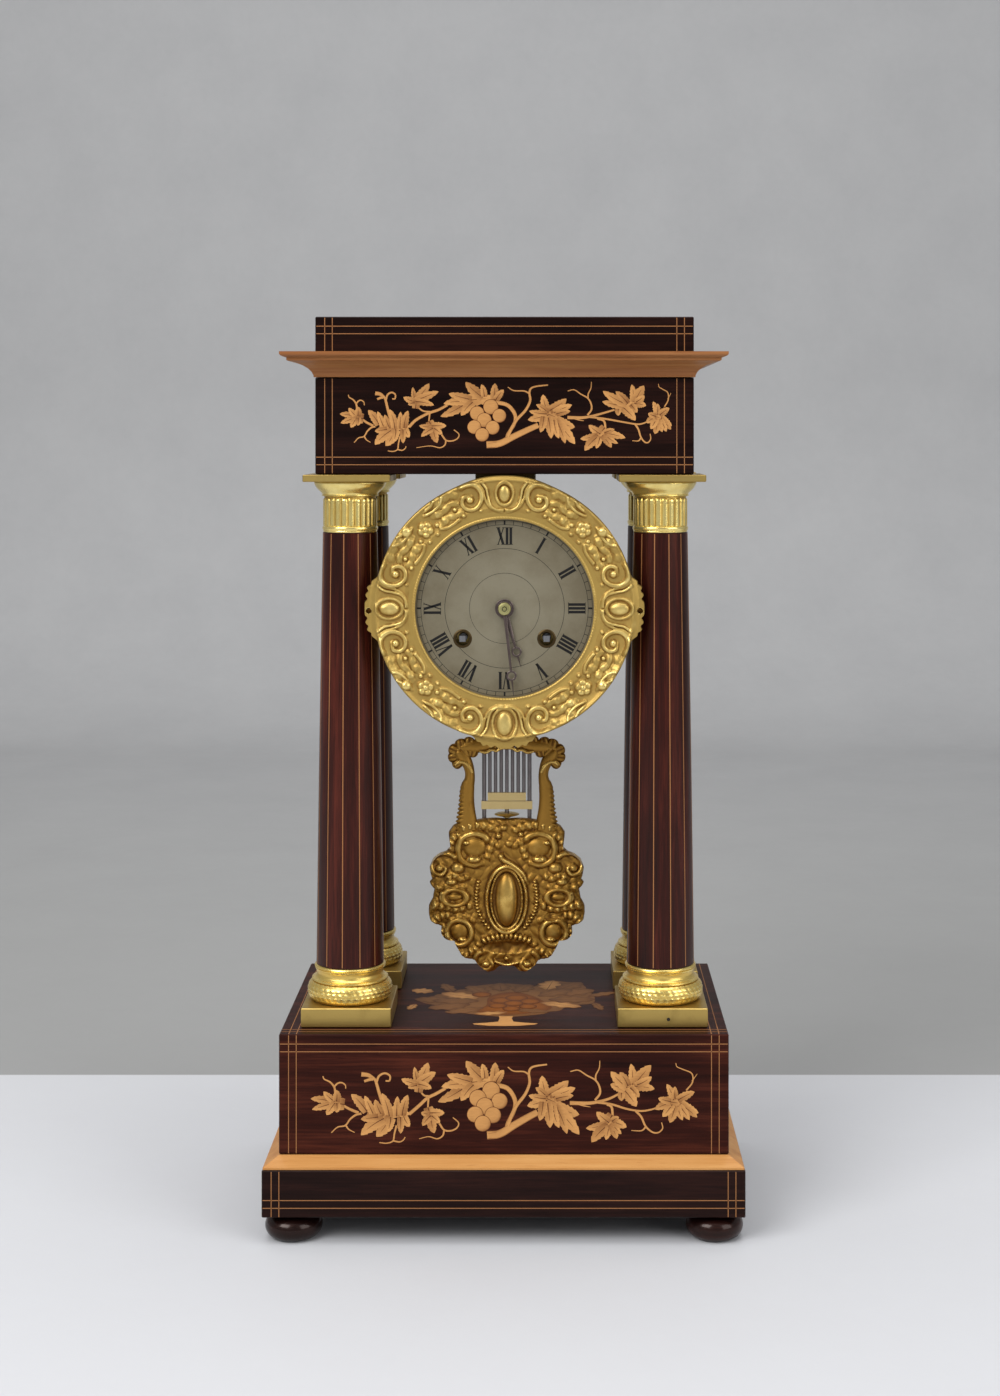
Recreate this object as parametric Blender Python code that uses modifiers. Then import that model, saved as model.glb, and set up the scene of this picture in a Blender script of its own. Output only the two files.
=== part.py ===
"""Portico mantel clock: a marquetry case on four columns, a drum movement and a gridiron pendulum.

Metres, +Z up, the front faces -Y and +X is to the right of a person who looks at the dial.
Every size is a driving dimension below or is worked out from one.
"""
import math

import bmesh
import bpy
import numpy as np
from mathutils import Matrix, Vector

MM = 0.001
TAU = 2.0 * math.pi

# Clearances
GAP = 0.3 * MM
SHAFT_PLAY = 0.3 * MM
SWING_ROOM = 0.8 * MM
CUT_RUN = 1.0 * MM

# Case, from the table upwards
FOOT_RADIUS = 15.0 * MM
FOOT_HEIGHT = 14.0 * MM
PLINTH_WIDTH = 250.0 * MM
PLINTH_DEPTH = 164.0 * MM
PLINTH_HEIGHT = 24.3 * MM
BEVEL_RUN = 8.0 * MM
BEVEL_HEIGHT = 5.3 * MM
BEVEL_LIP = 1.0 * MM
BASE_HEIGHT = 62.3 * MM
BLOCK_WIDTH = 47.5 * MM
BLOCK_HEIGHT = 10.0 * MM
BLOCK_SETBACK = 11.5 * MM
BLOCK_SIDE_SETBACK = 10.0 * MM
BASE_RING_HEIGHT = 18.6 * MM
TORUS_RADIUS = 22.6 * MM
SHAFT_FOOT_RADIUS = 18.0 * MM
SHAFT_HEAD_RADIUS = 14.6 * MM
SHAFT_HEIGHT = 230.2 * MM
NECK_RADIUS = 14.0 * MM
NECK_HEIGHT = 19.0 * MM
BELL_RADIUS = 19.3 * MM
CAPITAL_HEIGHT = 26.8 * MM
ABACUS_WIDTH = 46.0 * MM
ABACUS_HEIGHT = 3.7 * MM
FRIEZE_WIDTH = 200.0 * MM
FRIEZE_DEPTH = 114.0 * MM
FRIEZE_HEIGHT = 51.0 * MM
CORNICE_REACH = 17.0 * MM
CORNICE_HEIGHT = 13.0 * MM
ATTIC_HEIGHT = 18.6 * MM
WOOD_EDGE = 0.5 * MM
BRASS_EDGE = 0.4 * MM

# Levels that follow from them
PLINTH_Z = FOOT_HEIGHT + GAP
BEVEL_Z = PLINTH_Z + PLINTH_HEIGHT + GAP
BASE_Z = BEVEL_Z + BEVEL_HEIGHT + GAP
BLOCK_Z = BASE_Z + BASE_HEIGHT + GAP
RING_Z = BLOCK_Z + BLOCK_HEIGHT + GAP
SHAFT_Z = RING_Z + BASE_RING_HEIGHT + GAP
CAPITAL_Z = SHAFT_Z + SHAFT_HEIGHT + GAP
ABACUS_Z = CAPITAL_Z + CAPITAL_HEIGHT + GAP
FRIEZE_Z = ABACUS_Z + ABACUS_HEIGHT + GAP
CORNICE_Z = FRIEZE_Z + FRIEZE_HEIGHT + GAP
ATTIC_Z = CORNICE_Z + CORNICE_HEIGHT + GAP
BASE_WIDTH = PLINTH_WIDTH - 2.0 * BEVEL_RUN
BASE_DEPTH = PLINTH_DEPTH - 2.0 * BEVEL_RUN
COLUMN_X = BASE_WIDTH / 2.0 - BLOCK_SIDE_SETBACK - BLOCK_WIDTH / 2.0
COLUMN_Y = BASE_DEPTH / 2.0 - BLOCK_SETBACK - BLOCK_WIDTH / 2.0
CORNERS = {
    "front_left": (-1.0, -1.0),
    "front_right": (1.0, -1.0),
    "rear_left": (-1.0, 1.0),
    "rear_right": (1.0, 1.0),
}

# Clock head: places along Y are measured from the front of the drum
HEAD_DROP = 70.9 * MM
CENTRE_Z = FRIEZE_Z - HEAD_DROP
DRUM_FRONT_Y = -54.7 * MM
DRUM_LENGTH = 91.0 * MM
DRUM_RADIUS = 51.0 * MM
DRUM_WALL = 1.5 * MM
DIAL_SETBACK = 2.5 * MM
DIAL_RADIUS = DRUM_RADIUS - DIAL_SETBACK
DIAL_THICKNESS = 1.0 * MM
DIAL_COVER = 1.3 * MM
BEZEL_BORE = DIAL_RADIUS - DIAL_COVER
BEZEL_RADIUS = 69.0 * MM
BEZEL_FACE = BEZEL_RADIUS - BEZEL_BORE
BEZEL_LOBE = 5.0 * MM
BEZEL_BACK_Y = DRUM_FRONT_Y - GAP
BEZEL_DEPTH = 5.2 * MM
DIAL_BACK_Y = BEZEL_BACK_Y - GAP
REBATE_RADIUS = DIAL_RADIUS + GAP
PLATE_ROOM = 4.5 * MM
PLATE_RADIUS = DRUM_RADIUS - DRUM_WALL - PLATE_ROOM
PLATE_THICKNESS = 2.5 * MM
FRONT_PLATE_SETBACK = 8.7 * MM
BACK_PLATE_SETBACK = 46.7 * MM
FRONT_PLATE_Y = DRUM_FRONT_Y + FRONT_PLATE_SETBACK
BACK_PLATE_Y = DRUM_FRONT_Y + BACK_PLATE_SETBACK
WINDING_SHARES = (0.4933, -0.3556)
WINDING_X = PLATE_RADIUS * WINDING_SHARES[0]
WINDING_Z = PLATE_RADIUS * WINDING_SHARES[1]
WINDING_HOLE = 4.6 * MM
PILLAR_RADIUS = 3.0 * MM
PILLAR_INSET = 4.5 * MM
PILLARS = 3
PILLAR_RING = PLATE_RADIUS - PILLAR_INSET
BARREL_SHARE = 0.3733
BARREL_RADIUS = PLATE_RADIUS * BARREL_SHARE
BARREL_LENGTH = 22.0 * MM
BARREL_SETBACK = 12.0 * MM
BARREL_SEGMENTS = 16
GREAT_TEETH = 24
ARBOR_RADIUS = 2.2 * MM

# Motion work
WHEEL_THICKNESS = 1.2 * MM
CENTRE_WHEEL_SETBACK = 5.0 * MM
PIPE_TIP = 0.4 * MM
HOUR_PIPE_REACH = 2.0 * MM
CENTRE_TEETH = 28
CENTRE_MODULE = 1.0 * MM
FIRST_MODULE = 0.55 * MM
CANNON_TEETH = 12
MINUTE_WHEEL_TEETH = 36
MINUTE_PINION_TEETH = 10
HOUR_WHEEL_TEETH = 40
ADDENDUM_SHARE = 0.9
DEDENDUM_SHARE = 1.5
CENTRE_ARBOR_RADIUS = 1.0 * MM
CANNON_BORE = 1.3 * MM
CANNON_RADIUS = 2.1 * MM
HOUR_PIPE_BORE = 2.4 * MM
HOUR_PIPE_RADIUS = 3.2 * MM
MOTION_DISTANCE = FIRST_MODULE * (CANNON_TEETH + MINUTE_WHEEL_TEETH) / 2.0
SECOND_MODULE = 2.0 * MOTION_DISTANCE / (MINUTE_PINION_TEETH + HOUR_WHEEL_TEETH)
MINUTE_WHEEL_ANGLE = math.radians(50.0)
HAND_THICKNESS = 0.7 * MM
HOUR_HAND_SHARE = 0.66
MINUTE_HAND_SHARE = 0.938
HOUR_HAND_LENGTH = DIAL_RADIUS * HOUR_HAND_SHARE
MINUTE_HAND_LENGTH = DIAL_RADIUS * MINUTE_HAND_SHARE
HOUR_HAND_ANGLE = math.radians(164.5)
MINUTE_HAND_ANGLE = math.radians(174.0)
HOUR_EYE_SHARE = 0.74
MINUTE_EYE_SHARE = 0.78
HAND_EYE_RADIUS = 2.7 * MM
HAND_EYE_WALL = 0.8 * MM

# Escapement and strike
PENDULUM_Y = 3.0 * MM
PIVOT_INSET = 7.0 * MM
PIVOT_Z = CENTRE_Z + PLATE_RADIUS - PIVOT_INSET
ESCAPE_DROP = 16.0 * MM
ESCAPE_Z = PIVOT_Z - ESCAPE_DROP
ESCAPE_RADIUS = 7.5 * MM
ESCAPE_ARBOR_RADIUS = 0.8 * MM
ESCAPE_TOOTH = 1.8 * MM
ESCAPE_SETBACK = 6.0 * MM
ESCAPE_THICKNESS = 1.0 * MM
PALLET_REACH = 11.0 * MM
PALLET_RISE = 2.0 * MM
PALLET_RADIUS = 0.9 * MM
CRUTCH_SETBACK = 4.2 * MM
CRUTCH_DROP = 38.0 * MM
CRUTCH_WIDTH = 2.2 * MM
CRUTCH_THICKNESS = 1.2 * MM
CRUTCH_PIN_RADIUS = 0.8 * MM
CRUTCH_PIN_REACH = 2.5 * MM
CROSS_LAP = 0.2 * MM
FORK_ROOM = 1.4 * MM
ESCAPE_TEETH = 24
HAMMER_PIVOT_SHARES = (-0.7333, -0.3111)
HAMMER_HEAD_SHARES = (-0.7467, 0.1111)
HAMMER_PIVOT = tuple(PLATE_RADIUS * share for share in HAMMER_PIVOT_SHARES)
HAMMER_HEAD = tuple(PLATE_RADIUS * share for share in HAMMER_HEAD_SHARES)
BELL_CUP_SHARE = 0.6222
BELL_CUP_RADIUS = PLATE_RADIUS * BELL_CUP_SHARE
BELL_FRONT_Y = 12.0 * MM
BELL_DEPTH = 14.0 * MM
BELL_WALL = 1.2 * MM
STAND_ANGLE = math.radians(-35.0)
STAND_RING_SHARE = 0.8222
STAND_RING = PLATE_RADIUS * STAND_RING_SHARE
STAND_RADIUS = 2.0 * MM
STAND_ARM_RADIUS = 1.1 * MM
STAND_ARM_ROOM = 2.2 * MM
STAND_NUT_RADIUS = 3.0 * MM
STUD_REACH = 3.6 * MM
STUD_TAIL = 1.5 * MM
HAMMER_SETBACK = 2.0 * MM
HAMMER_TAIL = 2.0 * MM
HAMMER_ARM_RADIUS = 1.0 * MM
HAMMER_HEAD_RADIUS = 3.0 * MM

# Pendulum
BOB_HALF_WIDTH = 42.0 * MM
BOB_HALF_HEIGHT = 42.0 * MM
BOB_CLEARANCE = 13.7 * MM
BOB_Z = BASE_Z + BASE_HEIGHT + BOB_CLEARANCE + BOB_HALF_HEIGHT
BOB_TOP_Z = BOB_Z + BOB_HALF_HEIGHT
GRID_ROOM = CENTRE_Z - DRUM_RADIUS - BOB_TOP_Z
GRID_TOP_SHARE = 0.8182
GRID_FOOT_SHARE = 0.0853
GRID_BAR_SHARE = 0.0615
NUT_SHARE = 0.0294
NUT_HEIGHT_SHARE = 0.028
ROD_WIDTH = 4.0 * MM
ROD_THICKNESS = 1.5 * MM
GRID_TOP_Z = BOB_TOP_Z + GRID_ROOM * GRID_TOP_SHARE
GRID_BAR_HEIGHT = GRID_ROOM * GRID_BAR_SHARE
GRID_FOOT_Z = BOB_TOP_Z + GRID_ROOM * GRID_FOOT_SHARE
GRID_HALF_WIDTH = 14.2 * MM
GRID_THICKNESS = 3.0 * MM
OUTER_ROD_X = 12.6 * MM
OUTER_ROD_RADIUS = 1.2 * MM
OUTER_ROD_REACH = 8.5 * MM
OUTER_ROD_FOOT_Z = BOB_TOP_Z - OUTER_ROD_REACH
CORE_RODS = 7
CORE_ROD_PITCH = 3.15 * MM
CORE_ROD_RADIUS = 1.03 * MM
CORE_HALF_WIDTH = 10.6 * MM
NUT_RADIUS = 7.0 * MM
NUT_PROFILE_SHARES = ((0.93, 1.0), (1.0, 0.75), (1.0, 0.25), (0.93, 0.0))
NUT_HEIGHT = GRID_ROOM * NUT_HEIGHT_SHARE
NUT_Z = BOB_TOP_Z + GRID_ROOM * NUT_SHARE
STEM_RADIUS = 1.2 * MM
STEM_REACH = 6.5 * MM
STEM_FOOT_Z = BOB_TOP_Z - STEM_REACH
BOB_SETBACK = 1.8 * MM
BOB_BACK_Y = PENDULUM_Y - BOB_SETBACK
BOB_RELIEF = 4.0 * MM
BOB_OVAL = (6.2 * MM, 14.6 * MM)
BOB_OVAL_HEIGHT = 3.6 * MM
BOB_FRAME_SHARE = 1.5
BOB_FRAME_SPREAD_SHARE = 0.25
BOB_FRAME_HEIGHT = 2.0 * MM
BOB_DOME = 2.2 * MM
BOB_DOME_LOW_SHARE = -0.3
BOB_CROWN_SHARE = 0.14
BOB_RING_POWER = 2.0
BOB_OUTLINE_SHARES = (
    (0.0, 1.0), (15.0, 1.06), (25.0, 1.09), (35.0, 1.17), (40.0, 1.16), (45.0, 1.05), (50.0, 0.99),
    (60.0, 1.08), (70.0, 1.09), (75.0, 1.04), (80.0, 1.03), (85.0, 0.96), (90.0, 0.98), (95.0, 1.03),
    (105.0, 1.06), (110.0, 1.01), (115.0, 0.95), (120.0, 1.0), (130.0, 0.9), (145.0, 0.98),
    (152.0, 0.94), (165.0, 1.02), (175.0, 0.92), (180.0, 0.91))
SCROLL_PLACE_SHARES = ((0.405, 0.571), (0.786, 0.25), (0.667, -0.05), (0.56, -0.52), (0.24, -0.85))
SCROLL_RADII = (10.0 * MM, 5.5 * MM, 6.0 * MM, 7.5 * MM, 5.0 * MM)
SCROLL_HEIGHTS = (2.4 * MM, 1.8 * MM, 1.8 * MM, 2.0 * MM, 1.8 * MM)
SCROLL_BOSS_SHARE = 0.5
SCROLL_RIM_SHARE = 0.25
LYRE_RADIUS = 3.1 * MM
LYRE_TOP_RADIUS = 2.5 * MM
LYRE_END_SHARE = 0.8
LYRE_ARM_SHARES = np.array([
    (0.5476, -0.1748), (0.5, -0.021), (0.4571, 0.1189), (0.469, 0.2727), (0.4333, 0.4056),
    (0.4476, 0.4825), (0.5381, 0.5245), (0.6429, 0.5161), (0.6905, 0.4685)])
LYRE_TOP_SHARES = np.array([
    (-0.6429, 0.5385), (-0.4048, 0.5594), (-0.1905, 0.6224), (0.0, 0.6434),
    (0.1905, 0.6224), (0.4048, 0.5594), (0.6429, 0.5385)])
LYRE_SPAN = np.array([BOB_HALF_WIDTH, GRID_ROOM])
LYRE_FOOT = np.array([0.0, BOB_TOP_Z])
LUG_HALF_WIDTH = 3.0 * MM
LUG_REACH = 4.3 * MM
LUG_RISE = 0.1 * MM
LUG_HIGH_Z = BOB_TOP_Z + LUG_RISE
LUG_LOW_Z = BOB_TOP_Z - LUG_REACH
COCK_RISE = 3.0 * MM
COCK_HEIGHT = 4.0 * MM
COCK_LOW_Z = PIVOT_Z + COCK_RISE
COCK_HIGH_Z = COCK_LOW_Z + COCK_HEIGHT
COCK_HALF_WIDTH = 7.0 * MM
COCK_REACH = 5.0 * MM
COCK_SLOT_HALF = 1.2 * MM
SPRING_HALF_WIDTH = 2.5 * MM
SPRING_THICKNESS = 0.5 * MM
SPRING_DROP = 9.0 * MM
PIN_RISE = 1.5 * MM
PIN_HALF_LENGTH = 4.6 * MM
PIN_RADIUS = 0.8 * MM

# Mesh counts
ROUND_SEGMENTS = 48
SMALL_SEGMENTS = 10
TURNED_STEPS = 18
FOOT_STEPS = 14
FOOT_RINGS = 5
BELL_RINGS = 5
BEZEL_TURNS = 84
BEZEL_RINGS = 7
BOB_TURNS = 64
BOB_RINGS = 10
LIMB_SEGMENTS = 6
LIMB_STEPS = 2


def start_scene():
    """Remove what the file holds and make the two collections."""
    for item in list(bpy.data.objects):
        bpy.data.objects.remove(item, do_unlink=True)
    scene = bpy.context.scene
    scene.unit_settings.system = "METRIC"
    made = []
    for name in ("portico_mantel_clock", "cutters"):
        group = bpy.data.collections.new(name)
        scene.collection.children.link(group)
        made.append(group)
    return made


PIECES, CUTTERS = start_scene()


def material(name, colour, roughness, metallic):
    """A Principled material with one colour."""
    made = bpy.data.materials.new(name)
    made.use_nodes = True
    shader = made.node_tree.nodes["Principled BSDF"]
    shader.inputs["Base Color"].default_value = (*colour, 1.0)
    shader.inputs["Roughness"].default_value = roughness
    shader.inputs["Metallic"].default_value = metallic
    return made


ROSEWOOD = material("rosewood", (0.045, 0.016, 0.013), 0.28, 0.0)
CHERRY = material("cherry", (0.47, 0.2, 0.07), 0.35, 0.0)
GILT = material("gilt", (0.83, 0.55, 0.2), 0.3, 1.0)
BRASS = material("brass", (0.55, 0.42, 0.18), 0.38, 1.0)
SILVERED = material("silvered", (0.33, 0.3, 0.25), 0.45, 0.6)
STEEL = material("steel", (0.45, 0.45, 0.46), 0.3, 1.0)
BLUED = material("blued_steel", (0.03, 0.035, 0.07), 0.25, 1.0)
BELL_METAL = material("bell_metal", (0.5, 0.42, 0.28), 0.3, 1.0)


def finish_mesh(name, bm, stuff, group=None, smooth_angle=math.radians(35.0)):
    """Turn a bmesh into an object, with round parts shaded smooth."""
    bmesh.ops.recalc_face_normals(bm, faces=bm.faces)
    mesh = bpy.data.meshes.new(name)
    for face in bm.faces:
        face.smooth = True
    for edge in bm.edges:
        if len(edge.link_faces) == 2:
            edge.smooth = edge.calc_face_angle(0.0) < smooth_angle
    bm.to_mesh(mesh)
    bm.free()
    made = bpy.data.objects.new(name, mesh)
    (group or PIECES).objects.link(made)
    if stuff:
        mesh.materials.append(stuff)
    if group is CUTTERS:
        made.hide_render = True
        made.display_type = "WIRE"
    return made


def set_origin(made, point):
    """Move an object's origin to a joint axis and keep its shape where it is."""
    point = Vector(point)
    made.data.transform(Matrix.Translation(-point))
    made.location = point
    return made


def box(name, low, high, stuff, group=None):
    """A block between two corners."""
    low, high = Vector(low), Vector(high)
    bm = bmesh.new()
    place = Matrix.Translation((low + high) / 2.0) @ Matrix.Diagonal((*(high - low), 1.0))
    bmesh.ops.create_cube(bm, size=1.0, matrix=place)
    return finish_mesh(name, bm, stuff, group)


def block(name, centre, width, depth, low_z, height, stuff, group=None):
    """An upright block from its plan centre, plan size, foot level and height."""
    x, y = centre
    return box(name, (x - width / 2.0, y - depth / 2.0, low_z),
               (x + width / 2.0, y + depth / 2.0, low_z + height), stuff, group)


def rod(name, start, end, radius, stuff, group=None, segments=SMALL_SEGMENTS, radius_end=None):
    """A round bar, or a cone where the end radius differs."""
    start, end = Vector(start), Vector(end)
    along = end - start
    turn = along.to_track_quat("Z", "Y").to_matrix().to_4x4()
    bm = bmesh.new()
    bmesh.ops.create_cone(bm, cap_ends=True, segments=segments, radius1=radius,
                          radius2=radius if radius_end is None else radius_end,
                          depth=along.length, matrix=Matrix.Translation((start + end) / 2.0) @ turn)
    return finish_mesh(name, bm, stuff, group)


def loft(name, rings, stuff, closed=False, group=None):
    """Skin over rings of equal count; a closed loft joins the last ring to the first."""
    bm = bmesh.new()
    rows = [[bm.verts.new(point) for point in ring] for ring in rings]
    count = len(rows[0])
    pairs = list(zip(rows, rows[1:]))
    if closed:
        pairs.append((rows[-1], rows[0]))
    for low, high in pairs:
        for i in range(count):
            j = (i + 1) % count
            bm.faces.new((low[i], low[j], high[j], high[i]))
    if not closed:
        bm.faces.new(list(reversed(rows[0])))
        bm.faces.new(rows[-1])
    return finish_mesh(name, bm, stuff, group)


def turned(name, profile, place, stuff, steps=TURNED_STEPS, along="Z"):
    """Turn a profile of (radius, height) pairs, given from the top down, about its own axis."""
    bm = bmesh.new()
    line = [bm.verts.new((radius, 0.0, height)) for radius, height in profile]
    for a, b in zip(line, line[1:]):
        bm.edges.new((a, b))
    mesh = bpy.data.meshes.new(name)
    bm.to_mesh(mesh)
    bm.free()
    mesh.materials.append(stuff)
    made = bpy.data.objects.new(name, mesh)
    PIECES.objects.link(made)
    made.location = place
    if along == "Y":
        made.rotation_euler = (math.pi / 2.0, 0.0, 0.0)
    screw = made.modifiers.new("turn", "SCREW")
    screw.steps = screw.render_steps = steps
    screw.use_merge_vertices = True
    screw.merge_threshold = 0.00001
    screw.use_smooth_shade = True
    return made


def with_bevel(made, width, segments=1):
    """Break the edges of a block."""
    edge = made.modifiers.new("edges", "BEVEL")
    edge.width = width
    edge.segments = segments
    edge.limit_method = "ANGLE"
    edge.angle_limit = math.radians(40.0)
    return made


def combine(made, tool, operation):
    """Cut or join one body with another; the tool stays as a hidden wire."""
    for group in list(tool.users_collection):
        group.objects.unlink(tool)
    CUTTERS.objects.link(tool)
    tool.hide_render = True
    tool.display_type = "WIRE"
    step = made.modifiers.new(tool.name, "BOOLEAN")
    step.operation = operation
    step.solver = "EXACT"
    step.object = tool
    return made


def cut(made, tool):
    """Cut a tool out of a body."""
    return combine(made, tool, "DIFFERENCE")


def join(made, tool):
    """Unite a tool with a body."""
    return combine(made, tool, "UNION")


def ring_points(radii, centre, y):
    """A ring in the XZ plane at one Y from a list of radii, clockwise from twelve o'clock."""
    count = len(radii)
    turns = np.arange(count) * TAU / count
    radii = np.asarray(radii)
    return [(centre[0] + r * math.sin(a), y, centre[1] + r * math.cos(a)) for r, a in zip(radii, turns)]


def washer(name, outer, inner, centre, y_front, y_back, stuff, group=None):
    """A flat ring in the XZ plane between two lists of radii."""
    rings = [ring_points(outer, centre, y_front), ring_points(outer, centre, y_back),
             ring_points(inner, centre, y_back), ring_points(inner, centre, y_front)]
    return loft(name, rings, stuff, closed=True, group=group)


def tooth_radii(teeth, module):
    """Radii of pointed clock teeth, one tip and one root in turn."""
    pitch = teeth * module / 2.0
    tips = np.array([pitch + ADDENDUM_SHARE * module, pitch - DEDENDUM_SHARE * module])
    return np.tile(tips, teeth)


def spun(points, centre, angle):
    """Turn a ring of points about the Y axis through a centre, clockwise from the front."""
    c, s = math.cos(angle), math.sin(angle)
    made = []
    for x, y, z in points:
        dx, dz = x - centre[0], z - centre[1]
        made.append((centre[0] + c * dx + s * dz, y, centre[1] - s * dx + c * dz))
    return made


def plate_wheel(name, radii, centre, y_front, thickness, stuff, angle=0.0):
    """A flat plate with a rim of any radii, its first one at a clockwise angle from twelve."""
    rings = [spun(ring_points(radii, centre, y), centre, angle) for y in (y_front, y_front + thickness)]
    return loft(name, rings, stuff)


def gear(name, teeth, module, centre, y_front, thickness, stuff, angle=0.0):
    """A toothed wheel, its first tooth at a clockwise angle from twelve."""
    return plate_wheel(name, tooth_radii(teeth, module), centre, y_front, thickness, stuff, angle)


def pipe(name, radius, bore, centre, y_front, y_back, stuff, group=None, segments=SMALL_SEGMENTS):
    """A plain tube along Y."""
    return washer(name, np.full(segments, radius), np.full(segments, bore), centre,
                  y_front, y_back, stuff, group)


def sweep(name, points, radius, y, stuff, end_share=1.0, group=None):
    """A bar along a smooth path in the XZ plane; it may thin out towards its end."""
    points = np.asarray(points)
    ends = np.vstack([2.0 * points[0] - points[1], points, 2.0 * points[-1] - points[-2]])
    steps = np.linspace(0.0, 1.0, LIMB_STEPS, endpoint=False)
    line = []
    for a, b, c, d in zip(ends, ends[1:], ends[2:], ends[3:]):
        for t in steps:
            line.append(0.5 * (2.0 * b + (c - a) * t + (2.0 * a - 5.0 * b + 4.0 * c - d) * t * t
                               + (3.0 * b - a - 3.0 * c + d) * t ** 3))
    line.append(points[-1])
    line = np.asarray(line)
    ahead = np.gradient(line, axis=0)
    ahead /= np.linalg.norm(ahead, axis=1)[:, None]
    side = np.stack([ahead[:, 1], -ahead[:, 0]], axis=1)
    turns = np.arange(LIMB_SEGMENTS) * TAU / LIMB_SEGMENTS
    sizes = radius * np.linspace(1.0, end_share, len(line))
    rings = [[(p[0] + n[0] * r * math.cos(a), y + r * math.sin(a), p[1] + n[1] * r * math.cos(a))
              for a in turns] for p, n, r in zip(line, side, sizes)]
    return loft(name, rings, stuff, group=group)


# Shapes of profiles and relief, as shares of the piece's own size
FOOT_NECK_SHARE = 0.6
FOOT_CORE_SHARE = 0.58
FOOT_NECK_HEIGHT_SHARE = 0.1
FOOT_ARC = (62.0, -90.0)
RING_PROFILE_SHARES = (
    (0.0, 1.0), (0.83, 1.0), (0.855, 0.95), (0.81, 0.85), (0.79, 0.74), (0.83, 0.63), (0.91, 0.56),
    (0.9, 0.5), (0.97, 0.43), (1.0, 0.27), (0.985, 0.11), (0.9, 0.0), (0.0, 0.0))
CAPITAL_PROFILE_SHARES = (
    (0.0, 1.0), (1.0, 1.0), (1.0, 0.96), (0.93, 0.875), (0.81, 0.785), (0.775, 0.75), (0.726, 0.71),
    (0.726, 0.11), (0.765, 0.07), (0.74, 0.0), (0.0, 0.0))
SHAFT_SWELL_SHARE = 1.012
CORNICE_PROFILE_SHARES = (
    (0.05, 0.0), (0.05, 0.07), (0.1, 0.2), (0.2, 0.34), (0.36, 0.47), (0.56, 0.57), (0.76, 0.63),
    (0.8, 0.66), (0.8, 0.76), (0.88, 0.79), (0.97, 0.84), (1.0, 0.9), (1.0, 1.0))


def scaled(shares, width, height):
    """A profile given as shares, at its real width and height."""
    return [(x * width, z * height) for x, z in shares]


def rectangles(width, depth, low_z, steps):
    """Rings of a rectangular moulding: how far out and how high each step is."""
    rings = []
    for out, up in steps:
        x, y, z = width / 2.0 + out, depth / 2.0 + out, low_z + up
        rings.append([(-x, -y, z), (x, -y, z), (x, y, z), (-x, y, z)])
    return rings


def build_case():
    """Feet, plinth, mouldings, base, entablature and attic."""
    mid = (FOOT_HEIGHT * (1.0 - FOOT_NECK_HEIGHT_SHARE)) / 2.0
    bulge = FOOT_RADIUS * (1.0 - FOOT_CORE_SHARE)
    sides = [(FOOT_RADIUS * FOOT_CORE_SHARE + bulge * math.cos(a), mid + mid * math.sin(a))
             for a in np.radians(np.linspace(*FOOT_ARC, FOOT_RINGS))]
    foot = [(0.0, FOOT_HEIGHT), (FOOT_RADIUS * FOOT_NECK_SHARE, FOOT_HEIGHT),
            (FOOT_RADIUS * FOOT_NECK_SHARE, 2.0 * mid)] + sides + [(0.0, 0.0)]
    for corner, (sx, sy) in CORNERS.items():
        place = (sx * (PLINTH_WIDTH / 2.0 - FOOT_RADIUS), sy * (PLINTH_DEPTH / 2.0 - FOOT_RADIUS), 0.0)
        turned(f"foot_{corner}", foot, place, ROSEWOOD, steps=FOOT_STEPS)
    middle = (0.0, 0.0)
    plinth = block("plinth", middle, PLINTH_WIDTH, PLINTH_DEPTH, PLINTH_Z, PLINTH_HEIGHT, ROSEWOOD)
    with_bevel(plinth, WOOD_EDGE)
    slope = [(BEVEL_RUN - WOOD_EDGE, 0.0), (BEVEL_RUN - WOOD_EDGE, BEVEL_LIP), (0.0, BEVEL_HEIGHT)]
    loft("plinth_moulding", rectangles(BASE_WIDTH, BASE_DEPTH, BEVEL_Z, slope), CHERRY)
    with_bevel(block("base_box", middle, BASE_WIDTH, BASE_DEPTH, BASE_Z, BASE_HEIGHT, ROSEWOOD), WOOD_EDGE)
    frieze = block("frieze_box", middle, FRIEZE_WIDTH, FRIEZE_DEPTH, FRIEZE_Z, FRIEZE_HEIGHT, ROSEWOOD)
    with_bevel(frieze, WOOD_EDGE)
    steps = scaled(CORNICE_PROFILE_SHARES, CORNICE_REACH, CORNICE_HEIGHT)
    loft("cornice", rectangles(FRIEZE_WIDTH, FRIEZE_DEPTH, CORNICE_Z, steps), CHERRY)
    attic = block("attic_block", middle, FRIEZE_WIDTH, FRIEZE_DEPTH, ATTIC_Z, ATTIC_HEIGHT, ROSEWOOD)
    with_bevel(attic, WOOD_EDGE)


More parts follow.
